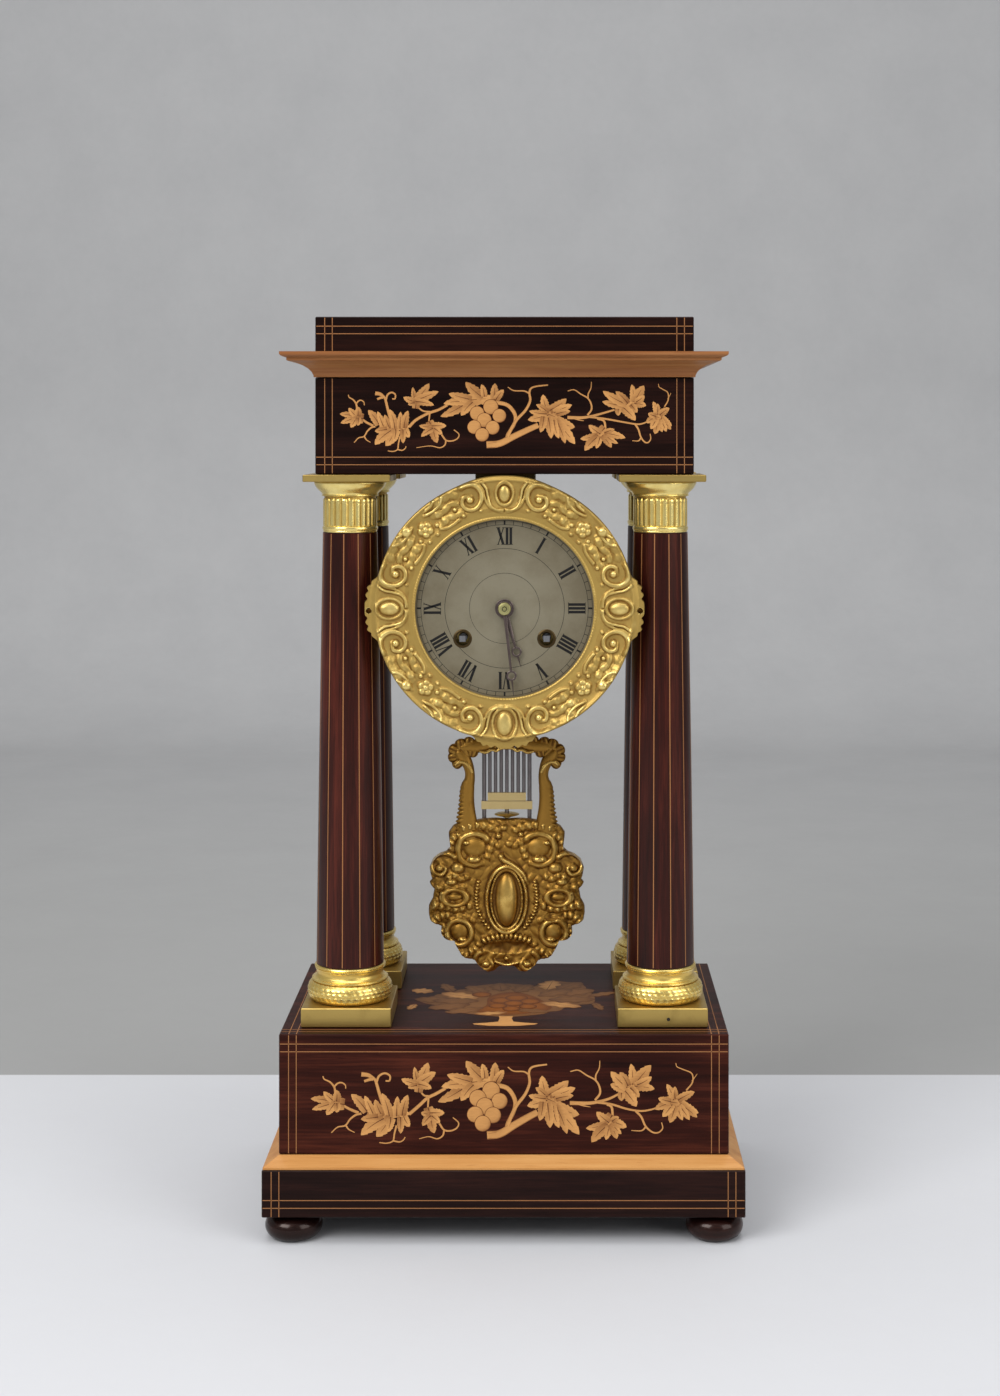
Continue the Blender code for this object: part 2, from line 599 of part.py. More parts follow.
def build_columns():
    """Four columns, each a block, a turned base, a tapered shaft, a capital and a plate."""
    shaft = [(0.0, SHAFT_HEIGHT), (SHAFT_HEAD_RADIUS, SHAFT_HEIGHT),
             ((SHAFT_HEAD_RADIUS + SHAFT_FOOT_RADIUS) / 2.0 * SHAFT_SWELL_SHARE, SHAFT_HEIGHT / 2.0),
             (SHAFT_FOOT_RADIUS, 0.0), (0.0, 0.0)]
    ring = scaled(RING_PROFILE_SHARES, TORUS_RADIUS, BASE_RING_HEIGHT)
    capital = scaled(CAPITAL_PROFILE_SHARES, BELL_RADIUS, CAPITAL_HEIGHT)
    for corner, (sx, sy) in CORNERS.items():
        x, y = sx * COLUMN_X, sy * COLUMN_Y
        with_bevel(block(f"column_block_{corner}", (x, y), BLOCK_WIDTH, BLOCK_WIDTH, BLOCK_Z,
                         BLOCK_HEIGHT, BRASS), BRASS_EDGE)
        turned(f"column_base_{corner}", ring, (x, y, RING_Z), GILT)
        turned(f"column_shaft_{corner}", shaft, (x, y, SHAFT_Z), ROSEWOOD)
        turned(f"capital_{corner}", capital, (x, y, CAPITAL_Z), GILT)
        with_bevel(block(f"capital_plate_{corner}", (x, y), ABACUS_WIDTH, ABACUS_WIDTH, ABACUS_Z,
                         ABACUS_HEIGHT, BRASS), BRASS_EDGE)


# Bezel and bob castings
LOBE_SPREAD = math.radians(12.5)
BEAD_INSET = 2.0 * MM
BEAD_RING = BEZEL_BORE + BEAD_INSET
BEAD_SPREAD = 1.5 * MM
BEAD_HEIGHT = 1.8 * MM
RIM_INSET = 2.6 * MM
RIM_RING = BEZEL_RADIUS - RIM_INSET
RIM_SPREAD = 1.7 * MM
RIM_HEIGHT = 1.0 * MM
VALLEY_DEPTH = 1.6 * MM
VALLEY_SPREAD = 6.8 * MM
CABOCHON_RING_SHARE = 0.5872
CABOCHON_RING = BEZEL_BORE + BEZEL_FACE * CABOCHON_RING_SHARE
CABOCHON_LONG = 4.9 * MM
CABOCHON_SHORT = 3.6 * MM
CABOCHON_HEIGHT = 2.6 * MM
CARTOUCHE_SHARE = 1.75
CARTOUCHE_SPREAD_SHARE = 0.3
CARTOUCHE_HEIGHT = 1.1 * MM
ROSETTE_ANGLES = np.radians([24.0, 45.0, 66.0])
ROSETTE_RING_SHARES = np.array([0.7018, 0.4725, 0.7018])
ROSETTE_RINGS = BEZEL_BORE + BEZEL_FACE * ROSETTE_RING_SHARES
ROSETTE_RADIUS = 3.4 * MM
ROSETTE_HEIGHT = 1.7 * MM
EDGE_THICKNESS = 1.8 * MM
HINGE_RADIUS = 1.6 * MM
HINGE_PIN_RADIUS = 0.7 * MM
HINGE_OUTSET = 2.2 * MM
HINGE_X = -DRUM_RADIUS - HINGE_OUTSET
HINGE_KNUCKLE = 12.0 * MM
DOOR_THICKNESS = 2.0 * MM
SLOT_HALF_WIDTH = 12.0 * MM


def hump(distance, spread):
    """A smooth swelling, one high at its middle."""
    return np.exp(-(distance / spread) ** 2)


def bezel_outline(turns):
    """Outer radius of the bezel: a circle with lobes at three, six and nine o'clock."""
    radius = np.full(len(turns), BEZEL_RADIUS)
    for at in (math.pi / 2.0, math.pi, 1.5 * math.pi):
        radius += BEZEL_LOBE * np.exp(-((turns - at) / LOBE_SPREAD) ** 4)
    return radius


def bezel_relief(radius, turns):
    """Thickness of the bezel casting at a radius and a turn from twelve o'clock."""
    thick = BEZEL_DEPTH + BEAD_HEIGHT * hump(radius - BEAD_RING, BEAD_SPREAD)
    thick = thick + RIM_HEIGHT * hump(radius - RIM_RING, RIM_SPREAD)
    thick = thick - VALLEY_DEPTH * hump(radius - (BEAD_RING + RIM_RING) / 2.0, VALLEY_SPREAD)
    for quarter in range(4):
        at = quarter * math.pi / 2.0
        off = np.abs((turns - at + math.pi) % TAU - math.pi)
        along, across = (radius - CABOCHON_RING) / CABOCHON_LONG, off * radius / CABOCHON_SHORT
        oval = np.hypot(along, across)
        thick = thick + CABOCHON_HEIGHT * np.sqrt(np.clip(1.0 - oval ** 2, 0.0, 1.0))
        thick = thick + CARTOUCHE_HEIGHT * hump(oval - CARTOUCHE_SHARE, CARTOUCHE_SPREAD_SHARE)
        for turn, ring in zip(ROSETTE_ANGLES, ROSETTE_RINGS):
            apart = np.abs((turns - at - turn + math.pi) % TAU - math.pi)
            gap = np.hypot(radius - ring, apart * radius)
            thick = thick + ROSETTE_HEIGHT * hump(gap, ROSETTE_RADIUS)
    return thick


def relief_rings(radii, turns, back_y, thick, centre):
    """Turn a grid of radii and thicknesses into rings of points."""
    return [[(centre[0] + r * math.sin(a), back_y - t, centre[1] + r * math.cos(a))
             for r, a, t in zip(row, turns, heights)] for row, heights in zip(radii, thick)]


def build_bezel():
    """The cast bezel: a ring with beaded lip, valley, rim, four cartouches and rosettes."""
    turns = np.arange(BEZEL_TURNS) * TAU / BEZEL_TURNS
    outer = bezel_outline(turns)
    shares = np.linspace(0.0, 1.0, BEZEL_RINGS)[:, None]
    radii = BEZEL_BORE + (outer - BEZEL_BORE)[None, :] * shares
    thick = bezel_relief(radii, turns[None, :])
    thick[0], thick[-1] = BEZEL_DEPTH, EDGE_THICKNESS
    centre = (0.0, CENTRE_Z)
    front = relief_rings(radii, turns, BEZEL_BACK_Y, thick, centre)
    back_y = DIAL_BACK_Y - DIAL_THICKNESS - GAP
    flat = [ring_points(outer, centre, BEZEL_BACK_Y),
            ring_points(np.full(len(turns), REBATE_RADIUS), centre, BEZEL_BACK_Y),
            ring_points(np.full(len(turns), REBATE_RADIUS), centre, back_y),
            ring_points(np.full(len(turns), BEZEL_BORE), centre, back_y)]
    loft("bezel", front + flat, GILT, closed=True)


DIAL_FOOT_RADIUS = 1.2 * MM
DIAL_FOOT_INSET = 8.5 * MM
DIAL_FOOT_RING = DIAL_RADIUS - DIAL_FOOT_INSET
DIAL_FEET = 3
PIPE_ROOM = 0.5 * MM
HAND_RISE = 2.0 * MM
HAND_GAP = 0.8 * MM
COLLET_THICKNESS = 1.0 * MM
HOUR_HAND_Y = DIAL_BACK_Y - DIAL_THICKNESS - HAND_RISE
ARBOR_END_Y = HOUR_HAND_Y + HAND_THICKNESS + GAP
ARBOR_SQUARE = 3.2 * MM
SQUARE_LENGTH = 7.5 * MM
MINUTE_HAND_Y = HOUR_HAND_Y - HAND_THICKNESS - HAND_GAP
COLLET_Y = MINUTE_HAND_Y - COLLET_THICKNESS - GAP
HAND_BOSS_RADIUS = 5.0 * MM
MINUTE_BOSS_RADIUS = 4.0 * MM
HAND_ROOT_WIDTH = 2.6 * MM
HAND_NECK_WIDTH = 1.5 * MM
HAND_TIP_SHARE = 0.25
COLLET_RADIUS = 3.4 * MM
WHEEL_SETBACK = 2.5 * MM
WHEEL_STEP = 2.3 * MM
FIRST_GEAR_Y = FRONT_PLATE_Y - WHEEL_SETBACK
SECOND_GEAR_Y = FIRST_GEAR_Y - WHEEL_STEP
HANGER_HALF_WIDTH = 16.0 * MM
HANGER_FRONT_Y = -40.0 * MM
HANGER_BACK_Y = 24.0 * MM
HANGER_FOOT_SHARE = 0.9
SLOT_HALF_DEPTH = 7.0 * MM
SLOT_HEIGHT = 7.0 * MM
LEAF_DEPTH = 4.0 * DRUM_WALL
KNOB_INSET = 7.0 * MM
KNOB_RADIUS = 2.5 * MM
KNOB_HEIGHT = 3.0 * MM


def centre_at(x, z):
    """A place on the clock head, from the middle of the dial."""
    return (x, CENTRE_Z + z)


def around(ring, angle):
    """A place at a radius and a clockwise angle from twelve o'clock, seen from the front."""
    return centre_at(ring * math.sin(angle), ring * math.cos(angle))


def along_y(name, centre, y_front, y_back, radius, stuff, group=None, segments=SMALL_SEGMENTS):
    """A round bar along Y through a place on the clock head."""
    x, z = centre
    return rod(name, (x, y_front, z), (x, y_back, z), radius, stuff, group, segments)


def bore(made, centre, radius, y_front, y_back):
    """Drill along Y from in front of one level to behind another."""
    cut(made, along_y(f"{made.name}_bore", centre, y_front - CUT_RUN, y_back + CUT_RUN, radius, None))


def build_drum():
    """The drum that holds the movement, its saddle under the frieze and the door at its back."""
    rear_y = DRUM_FRONT_Y + DRUM_LENGTH
    middle = centre_at(0.0, 0.0)
    drum = pipe("movement_drum", DRUM_RADIUS, DRUM_RADIUS - DRUM_WALL, middle, DRUM_FRONT_Y, rear_y,
                BRASS, segments=ROUND_SEGMENTS)
    slot_low = CENTRE_Z - DRUM_RADIUS - CUT_RUN
    cut(drum, box("drum_slot", (-SLOT_HALF_WIDTH, PENDULUM_Y - SLOT_HALF_DEPTH, slot_low),
                  (SLOT_HALF_WIDTH, PENDULUM_Y + SLOT_HALF_DEPTH, slot_low + SLOT_HEIGHT), None))
    door_y = rear_y + GAP
    hinge_y = door_y + DOOR_THICKNESS / 2.0
    build_hinge_knuckles(drum, rear_y, hinge_y)
    build_door(door_y, hinge_y)
    saddle_z = CENTRE_Z + DRUM_RADIUS * HANGER_FOOT_SHARE
    saddle = box("drum_hanger", (-HANGER_HALF_WIDTH, HANGER_FRONT_Y, saddle_z),
                 (HANGER_HALF_WIDTH, HANGER_BACK_Y, FRIEZE_Z - GAP), BRASS)
    cut(saddle, along_y("hanger_bore", middle, DRUM_FRONT_Y, rear_y, DRUM_RADIUS + GAP, None,
                        segments=ROUND_SEGMENTS))


def build_hinge_knuckles(drum, rear_y, hinge_y):
    """The drum's two hinge leaves with their knuckles, and the pin that runs through them."""
    for sign in (-1.0, 1.0):
        low, high = sorted((sign * (HINGE_KNUCKLE / 2.0 + GAP), sign * HINGE_KNUCKLE))
        leaf_y = hinge_y - HINGE_RADIUS + GAP / 2.0
        join(drum, box(f"drum_leaf_{sign:+.0f}", (HINGE_X - HINGE_RADIUS, rear_y - LEAF_DEPTH, CENTRE_Z + low),
                       (-DRUM_RADIUS + DRUM_WALL, leaf_y, CENTRE_Z + high), None))
        join(drum, rod(f"drum_knuckle_{sign:+.0f}", (HINGE_X, hinge_y, CENTRE_Z + low),
                       (HINGE_X, hinge_y, CENTRE_Z + high), HINGE_RADIUS, None))
    join(drum, rod("hinge_pin", (HINGE_X, hinge_y, CENTRE_Z - HINGE_KNUCKLE + GAP),
                   (HINGE_X, hinge_y, CENTRE_Z + HINGE_KNUCKLE - GAP), HINGE_PIN_RADIUS, None))


def build_door(door_y, hinge_y):
    """The round door with its leaf, its bored knuckle and a turned knob."""
    door = along_y("back_door", centre_at(0.0, 0.0), door_y, door_y + DOOR_THICKNESS, DRUM_RADIUS, BRASS,
                   segments=ROUND_SEGMENTS)
    half = HINGE_KNUCKLE / 2.0
    join(door, box("door_leaf", (HINGE_X, door_y, CENTRE_Z - half),
                   (-DRUM_RADIUS + 2.0 * DRUM_WALL, door_y + DOOR_THICKNESS, CENTRE_Z + half), None))
    join(door, rod("door_knuckle", (HINGE_X, hinge_y, CENTRE_Z - half), (HINGE_X, hinge_y, CENTRE_Z + half),
                   HINGE_RADIUS, None))
    cut(door, rod("door_bore", (HINGE_X, hinge_y, CENTRE_Z - HINGE_KNUCKLE),
                  (HINGE_X, hinge_y, CENTRE_Z + HINGE_KNUCKLE), HINGE_PIN_RADIUS + SHAFT_PLAY, None))
    knob_x = DRUM_RADIUS - KNOB_INSET
    join(door, along_y("door_knob", centre_at(knob_x, 0.0), door_y + DOOR_THICKNESS / 2.0,
                       door_y + DOOR_THICKNESS + KNOB_HEIGHT, KNOB_RADIUS, None))
    set_origin(door, (HINGE_X, hinge_y, CENTRE_Z))


def build_dial():
    """The silvered dial with its three holes and its three feet."""
    front_y = DIAL_BACK_Y - DIAL_THICKNESS
    dial = along_y("dial", centre_at(0.0, 0.0), front_y, DIAL_BACK_Y, DIAL_RADIUS, SILVERED,
                   segments=ROUND_SEGMENTS)
    for turn in range(DIAL_FEET):
        join(dial, along_y(f"dial_foot_{turn}", around(DIAL_FOOT_RING, turn * TAU / DIAL_FEET),
                           DIAL_BACK_Y - DIAL_THICKNESS / 2.0, FRONT_PLATE_Y - GAP, DIAL_FOOT_RADIUS, None))
    bore(dial, centre_at(0.0, 0.0), HOUR_PIPE_RADIUS + PIPE_ROOM, front_y, DIAL_BACK_Y)
    for side in (-1.0, 1.0):
        bore(dial, centre_at(side * WINDING_X, WINDING_Z), WINDING_HOLE, front_y, DIAL_BACK_Y)


def minute_stud_place():
    """Where the stud of the minute wheel stands, from the middle of the dial."""
    return around(MOTION_DISTANCE, MINUTE_WHEEL_ANGLE)


def build_plates():
    """The two movement plates; the pillars are riveted to the back one."""
    middle = centre_at(0.0, 0.0)
    front = along_y("front_plate", middle, FRONT_PLATE_Y, FRONT_PLATE_Y + PLATE_THICKNESS, PLATE_RADIUS,
                    BRASS, segments=ROUND_SEGMENTS)
    join(front, along_y("minute_stud", minute_stud_place(), SECOND_GEAR_Y - GAP,
                        FRONT_PLATE_Y + PLATE_THICKNESS / 2.0, CENTRE_ARBOR_RADIUS, None))
    back = along_y("back_plate", middle, BACK_PLATE_Y, BACK_PLATE_Y + PLATE_THICKNESS, PLATE_RADIUS,
                   BRASS, segments=ROUND_SEGMENTS)
    for turn in range(PILLARS):
        place = around(PILLAR_RING, (turn + 0.5) * TAU / PILLARS)
        join(back, along_y(f"pillar_{turn}", place, FRONT_PLATE_Y + PLATE_THICKNESS + GAP,
                           BACK_PLATE_Y + PLATE_THICKNESS / 2.0, PILLAR_RADIUS, None))
    pivot_hole = CENTRE_ARBOR_RADIUS + SHAFT_PLAY
    for plate, y in ((front, FRONT_PLATE_Y), (back, BACK_PLATE_Y)):
        far_y = y + PLATE_THICKNESS
        bore(plate, middle, pivot_hole, y, far_y)
        for side in (-1.0, 1.0):
            bore(plate, centre_at(side * WINDING_X, WINDING_Z), ARBOR_RADIUS + SHAFT_PLAY, y, far_y)
    for x, z in ((0.0, PIVOT_Z - CENTRE_Z), HAMMER_PIVOT):
        bore(back, centre_at(x, z), pivot_hole, BACK_PLATE_Y, BACK_PLATE_Y + PLATE_THICKNESS)


def build_barrels():
    """Two barrels with their great wheels, each on a winding arbor with a squared end."""
    barrel_y = FRONT_PLATE_Y + BARREL_SETBACK
    half = ARBOR_SQUARE / 2.0
    for label, side in (("strike", -1.0), ("going", 1.0)):
        place = centre_at(side * WINDING_X, WINDING_Z)
        barrel = along_y(f"{label}_barrel", place, barrel_y, barrel_y + BARREL_LENGTH, BARREL_RADIUS, BRASS,
                         segments=BARREL_SEGMENTS)
        join(barrel, gear(f"{label}_great_wheel", GREAT_TEETH, 2.0 * BARREL_RADIUS / GREAT_TEETH, place,
                          barrel_y + WHEEL_THICKNESS, WHEEL_THICKNESS, None))
        bore(barrel, place, ARBOR_RADIUS + SHAFT_PLAY, barrel_y, barrel_y + BARREL_LENGTH)
        arbor = along_y(f"{label}_winding_arbor", place, ARBOR_END_Y + SQUARE_LENGTH - GAP,
                        BACK_PLATE_Y + PLATE_THICKNESS, ARBOR_RADIUS, STEEL)
        join(arbor, box(f"{label}_square", (place[0] - half, ARBOR_END_Y, place[1] - half),
                        (place[0] + half, ARBOR_END_Y + SQUARE_LENGTH, place[1] + half), None))
        set_origin(arbor, (place[0], ARBOR_END_Y, place[1]))


def build_motion_work():
    """Centre arbor and wheel, cannon pinion, minute wheel with its pinion, and hour wheel on its pipe."""
    middle = centre_at(0.0, 0.0)
    arbor = along_y("centre_arbor", middle, COLLET_Y - PIPE_TIP, BACK_PLATE_Y + PLATE_THICKNESS,
                    CENTRE_ARBOR_RADIUS, STEEL)
    join(arbor, gear("centre_wheel", CENTRE_TEETH, CENTRE_MODULE, middle,
                     FRONT_PLATE_Y + CENTRE_WHEEL_SETBACK, WHEEL_THICKNESS, None))
    cannon_y = MINUTE_HAND_Y
    cannon = along_y("cannon_pinion", middle, cannon_y, FRONT_PLATE_Y - GAP, CANNON_RADIUS, STEEL)
    join(cannon, gear("cannon_teeth", CANNON_TEETH, FIRST_MODULE, middle, FIRST_GEAR_Y, WHEEL_THICKNESS, None,
                      angle=MINUTE_WHEEL_ANGLE))
    bore(cannon, middle, CANNON_BORE, cannon_y, FRONT_PLATE_Y - GAP)
    hour_y = HOUR_HAND_Y - PIPE_TIP
    hour = along_y("hour_wheel", middle, hour_y, SECOND_GEAR_Y + HOUR_PIPE_REACH, HOUR_PIPE_RADIUS, BRASS)
    join(hour, gear("hour_teeth", HOUR_WHEEL_TEETH, SECOND_MODULE, middle, SECOND_GEAR_Y, WHEEL_THICKNESS,
                    None, angle=MINUTE_WHEEL_ANGLE + math.pi / HOUR_WHEEL_TEETH))
    bore(hour, middle, HOUR_PIPE_BORE, hour_y, SECOND_GEAR_Y + HOUR_PIPE_REACH)
    stud = minute_stud_place()
    facing = MINUTE_WHEEL_ANGLE + math.pi
    wheel = gear("minute_wheel", MINUTE_WHEEL_TEETH, FIRST_MODULE, stud, FIRST_GEAR_Y, WHEEL_THICKNESS, BRASS,
                 angle=facing + math.pi / MINUTE_WHEEL_TEETH)
    join(wheel, gear("minute_pinion", MINUTE_PINION_TEETH, SECOND_MODULE, stud, SECOND_GEAR_Y,
                     FIRST_GEAR_Y - SECOND_GEAR_Y + WHEEL_THICKNESS / 2.0, None, angle=facing))
    bore(wheel, stud, CENTRE_ARBOR_RADIUS + SHAFT_PLAY, SECOND_GEAR_Y, FIRST_GEAR_Y + WHEEL_THICKNESS)
    set_origin(wheel, (stud[0], FIRST_GEAR_Y, stud[1]))


def build_escapement():
    """The escape wheel on its arbor, and the anchor with the crutch that embraces the pendulum rod."""
    front_y, back_y = FRONT_PLATE_Y + PLATE_THICKNESS + GAP, BACK_PLATE_Y - GAP
    place = (0.0, ESCAPE_Z)
    escape = along_y("escape_wheel", place, front_y, back_y, ESCAPE_ARBOR_RADIUS, BRASS)
    tips = np.tile([ESCAPE_RADIUS, ESCAPE_RADIUS - ESCAPE_TOOTH], ESCAPE_TEETH)
    rim_y = BACK_PLATE_Y - ESCAPE_SETBACK
    join(escape, plate_wheel("escape_rim", tips, place, rim_y, ESCAPE_THICKNESS, None))
    set_origin(escape, (0.0, BACK_PLATE_Y, ESCAPE_Z))
    anchor = along_y("anchor_and_crutch", (0.0, PIVOT_Z), front_y, BACK_PLATE_Y + 2.0 * PLATE_THICKNESS,
                     CENTRE_ARBOR_RADIUS, STEEL)
    claw_y = rim_y + ESCAPE_THICKNESS / 2.0
    arm_y = BACK_PLATE_Y + CRUTCH_SETBACK
    fork_z = PIVOT_Z - CRUTCH_DROP
    fork_x = ROD_WIDTH / 2.0 + FORK_ROOM
    wide, thick = CRUTCH_WIDTH / 2.0, CRUTCH_THICKNESS / 2.0
    join(anchor, box("crutch_arm", (-wide, arm_y - thick, fork_z - wide),
                     (wide, arm_y + thick, PIVOT_Z + wide), None))
    join(anchor, box("crutch_cross", (-fork_x - wide, arm_y - thick - CROSS_LAP, fork_z - wide - CROSS_LAP),
                     (fork_x + wide, arm_y + thick + CROSS_LAP, fork_z + wide), None))
    for side in (-1.0, 1.0):
        join(anchor, rod(f"pallet_arm_{side:+.0f}", (0.0, claw_y, PIVOT_Z),
                         (side * PALLET_REACH, claw_y, ESCAPE_Z + PALLET_RISE), PALLET_RADIUS, None))
        join(anchor, along_y(f"crutch_pin_{side:+.0f}", (side * fork_x, fork_z), arm_y,
                             PENDULUM_Y + CRUTCH_PIN_REACH, CRUTCH_PIN_RADIUS, None))
    set_origin(anchor, (0.0, PENDULUM_Y, PIVOT_Z))


def build_bell():
    """The cup bell on its stand behind the back plate."""
    crown_y = BELL_FRONT_Y + BELL_DEPTH
    inner_radius = BELL_CUP_RADIUS - BELL_WALL
    last = math.acos((STEM_RADIUS + SHAFT_PLAY) / inner_radius)
    outer = [(BELL_CUP_RADIUS * math.cos(a), -BELL_DEPTH * math.sin(a))
             for a in np.linspace(0.0, last, BELL_RINGS)]
    inner = [(inner_radius * math.cos(a), -(BELL_DEPTH - BELL_WALL) * math.sin(a))
             for a in np.linspace(last, 0.0, BELL_RINGS - 1)]
    outer[-1] = (inner[0][0], outer[-1][1])
    turned("bell", outer + inner + outer[:1], (0.0, BELL_FRONT_Y, CENTRE_Z), BELL_METAL, along="Y")
    post = centre_at(STAND_RING * math.cos(STAND_ANGLE), STAND_RING * math.sin(STAND_ANGLE))
    middle = centre_at(0.0, 0.0)
    arm_y = crown_y + STAND_ARM_ROOM
    stand = along_y("bell_stand", post, BACK_PLATE_Y + PLATE_THICKNESS + GAP, arm_y + STAND_RADIUS,
                    STAND_RADIUS, STEEL)
    join(stand, rod("stand_arm", (post[0], arm_y, post[1]), (0.0, arm_y, CENTRE_Z), STAND_ARM_RADIUS, None))
    join(stand, along_y("stand_stud", middle, crown_y - STUD_REACH, arm_y + STUD_TAIL, STEM_RADIUS, None))
    join(stand, along_y("stand_nut", middle, crown_y - STUD_REACH - CROSS_LAP, crown_y - BELL_WALL - GAP,
                        STAND_NUT_RADIUS, None, segments=6))


def build_hammer():
    """The strike hammer on its arbor, at rest beside the rim of the bell."""
    pivot, head = centre_at(*HAMMER_PIVOT), centre_at(*HAMMER_HEAD)
    arm_y = BELL_FRONT_Y + HAMMER_SETBACK
    hammer = along_y("strike_hammer", pivot, BACK_PLATE_Y + PLATE_THICKNESS / 3.0, arm_y + HAMMER_TAIL,
                     CENTRE_ARBOR_RADIUS, STEEL)
    join(hammer, rod("hammer_arm", (pivot[0], arm_y, pivot[1]), (head[0], arm_y, head[1]),
                     HAMMER_ARM_RADIUS, None))
    join(hammer, along_y("hammer_head", head, arm_y - HAMMER_HEAD_RADIUS, arm_y + HAMMER_HEAD_RADIUS,
                         HAMMER_HEAD_RADIUS, None))
    set_origin(hammer, (pivot[0], arm_y, pivot[1]))


def hand_outline(length, eye_share, start, root, neck, centre):
    """The two tapered bars of an open-eyed hand at twelve o'clock, below and above the eye."""
    eye = length * eye_share
    reach = HAND_EYE_RADIUS - HAND_EYE_WALL / 2.0
    low = [(-root / 2.0, start), (root / 2.0, start), (neck / 2.0, eye - reach), (-neck / 2.0, eye - reach)]
    point = neck / 2.0 * HAND_TIP_SHARE
    tip = [(-neck / 2.0, eye + reach), (neck / 2.0, eye + reach), (point, length), (-point, length)]
    return eye, [[(centre[0] + x, centre[1] + z) for x, z in part] for part in (low, tip)]


def build_hand(name, length, eye_share, bore_radius, boss, y, angle):
    """One open-eyed hand: boss, tapered bar, open eye and tip, turned to the time."""
    middle = centre_at(0.0, 0.0)
    hand = pipe(name, boss, bore_radius, middle, y, y + HAND_THICKNESS, BLUED)
    start = (bore_radius + boss) / 2.0
    eye, parts = hand_outline(length, eye_share, start, HAND_ROOT_WIDTH, HAND_NECK_WIDTH, middle)
    tools = []
    for i, part in enumerate(parts):
        rings = [[(x, level, z) for x, z in part] for level in (y, y + HAND_THICKNESS)]
        tools.append(loft(f"{name}_bar_{i}", rings, None))
    tools.append(pipe(f"{name}_eye", HAND_EYE_RADIUS, HAND_EYE_RADIUS - HAND_EYE_WALL,
                      (middle[0], middle[1] + eye), y, y + HAND_THICKNESS, None))
    spin = Matrix.Translation((0.0, 0.0, CENTRE_Z)) @ Matrix.Rotation(angle, 4, "Y") @ Matrix.Translation(
        (0.0, 0.0, -CENTRE_Z))
    for piece in [hand] + tools:
        piece.data.transform(spin)
    for tool in tools:
        join(hand, tool)
    return hand


def build_hands():
    """Both hands and the collet that holds them."""
    build_hand("hour_hand", HOUR_HAND_LENGTH, HOUR_EYE_SHARE, HOUR_PIPE_RADIUS + GAP, HAND_BOSS_RADIUS,
               HOUR_HAND_Y, HOUR_HAND_ANGLE)
    build_hand("minute_hand", MINUTE_HAND_LENGTH, MINUTE_EYE_SHARE, CANNON_RADIUS + GAP, MINUTE_BOSS_RADIUS,
               MINUTE_HAND_Y, MINUTE_HAND_ANGLE)
    pipe("hand_collet", COLLET_RADIUS, CANNON_BORE, centre_at(0.0, 0.0), COLLET_Y,
         COLLET_Y + COLLET_THICKNESS, BRASS)


def build_suspension():
    """The cock on the back plate, the spring with its cross pin, and the flat rod below it."""
    cock = box("back_cock", (-COCK_HALF_WIDTH, BACK_PLATE_Y + PLATE_THICKNESS + GAP, COCK_LOW_Z),
               (COCK_HALF_WIDTH, PENDULUM_Y + COCK_REACH, COCK_HIGH_Z), BRASS)
    side = SPRING_HALF_WIDTH + SWING_ROOM
    cut(cock, box("cock_slot", (-side, PENDULUM_Y - COCK_SLOT_HALF, COCK_LOW_Z - CUT_RUN),
                  (side, PENDULUM_Y + COCK_SLOT_HALF, COCK_HIGH_Z + CUT_RUN), None))
    half = SPRING_THICKNESS / 2.0
    pin_z = COCK_HIGH_Z + PIN_RISE
    foot_z = PIVOT_Z - SPRING_DROP
    spring = box("suspension_spring", (-SPRING_HALF_WIDTH, PENDULUM_Y - half, foot_z),
                 (SPRING_HALF_WIDTH, PENDULUM_Y + half, pin_z), STEEL)
    join(spring, rod("suspension_pin", (-PIN_HALF_LENGTH, PENDULUM_Y, pin_z),
                     (PIN_HALF_LENGTH, PENDULUM_Y, pin_z), PIN_RADIUS, None))
    set_origin(spring, (0.0, PENDULUM_Y, PIVOT_Z))
    strip = box("pendulum_rod", (-ROD_WIDTH / 2.0, PENDULUM_Y - ROD_THICKNESS / 2.0, GRID_TOP_Z + GAP),
                (ROD_WIDTH / 2.0, PENDULUM_Y + ROD_THICKNESS / 2.0, foot_z - GAP), STEEL)
    set_origin(strip, (0.0, PENDULUM_Y, PIVOT_Z))


def ladder(name, half_width, low_z, high_z, stuff):
    """Two flat bars of the gridiron, one above the other, that rods are then let into."""
    half = GRID_THICKNESS / 2.0
    made = box(name, (-half_width, PENDULUM_Y - half, high_z - GRID_BAR_HEIGHT),
               (half_width, PENDULUM_Y + half, high_z), stuff)
    join(made, box(f"{name}_foot", (-half_width, PENDULUM_Y - half, low_z),
                   (half_width, PENDULUM_Y + half, low_z + GRID_BAR_HEIGHT), None))
    return made


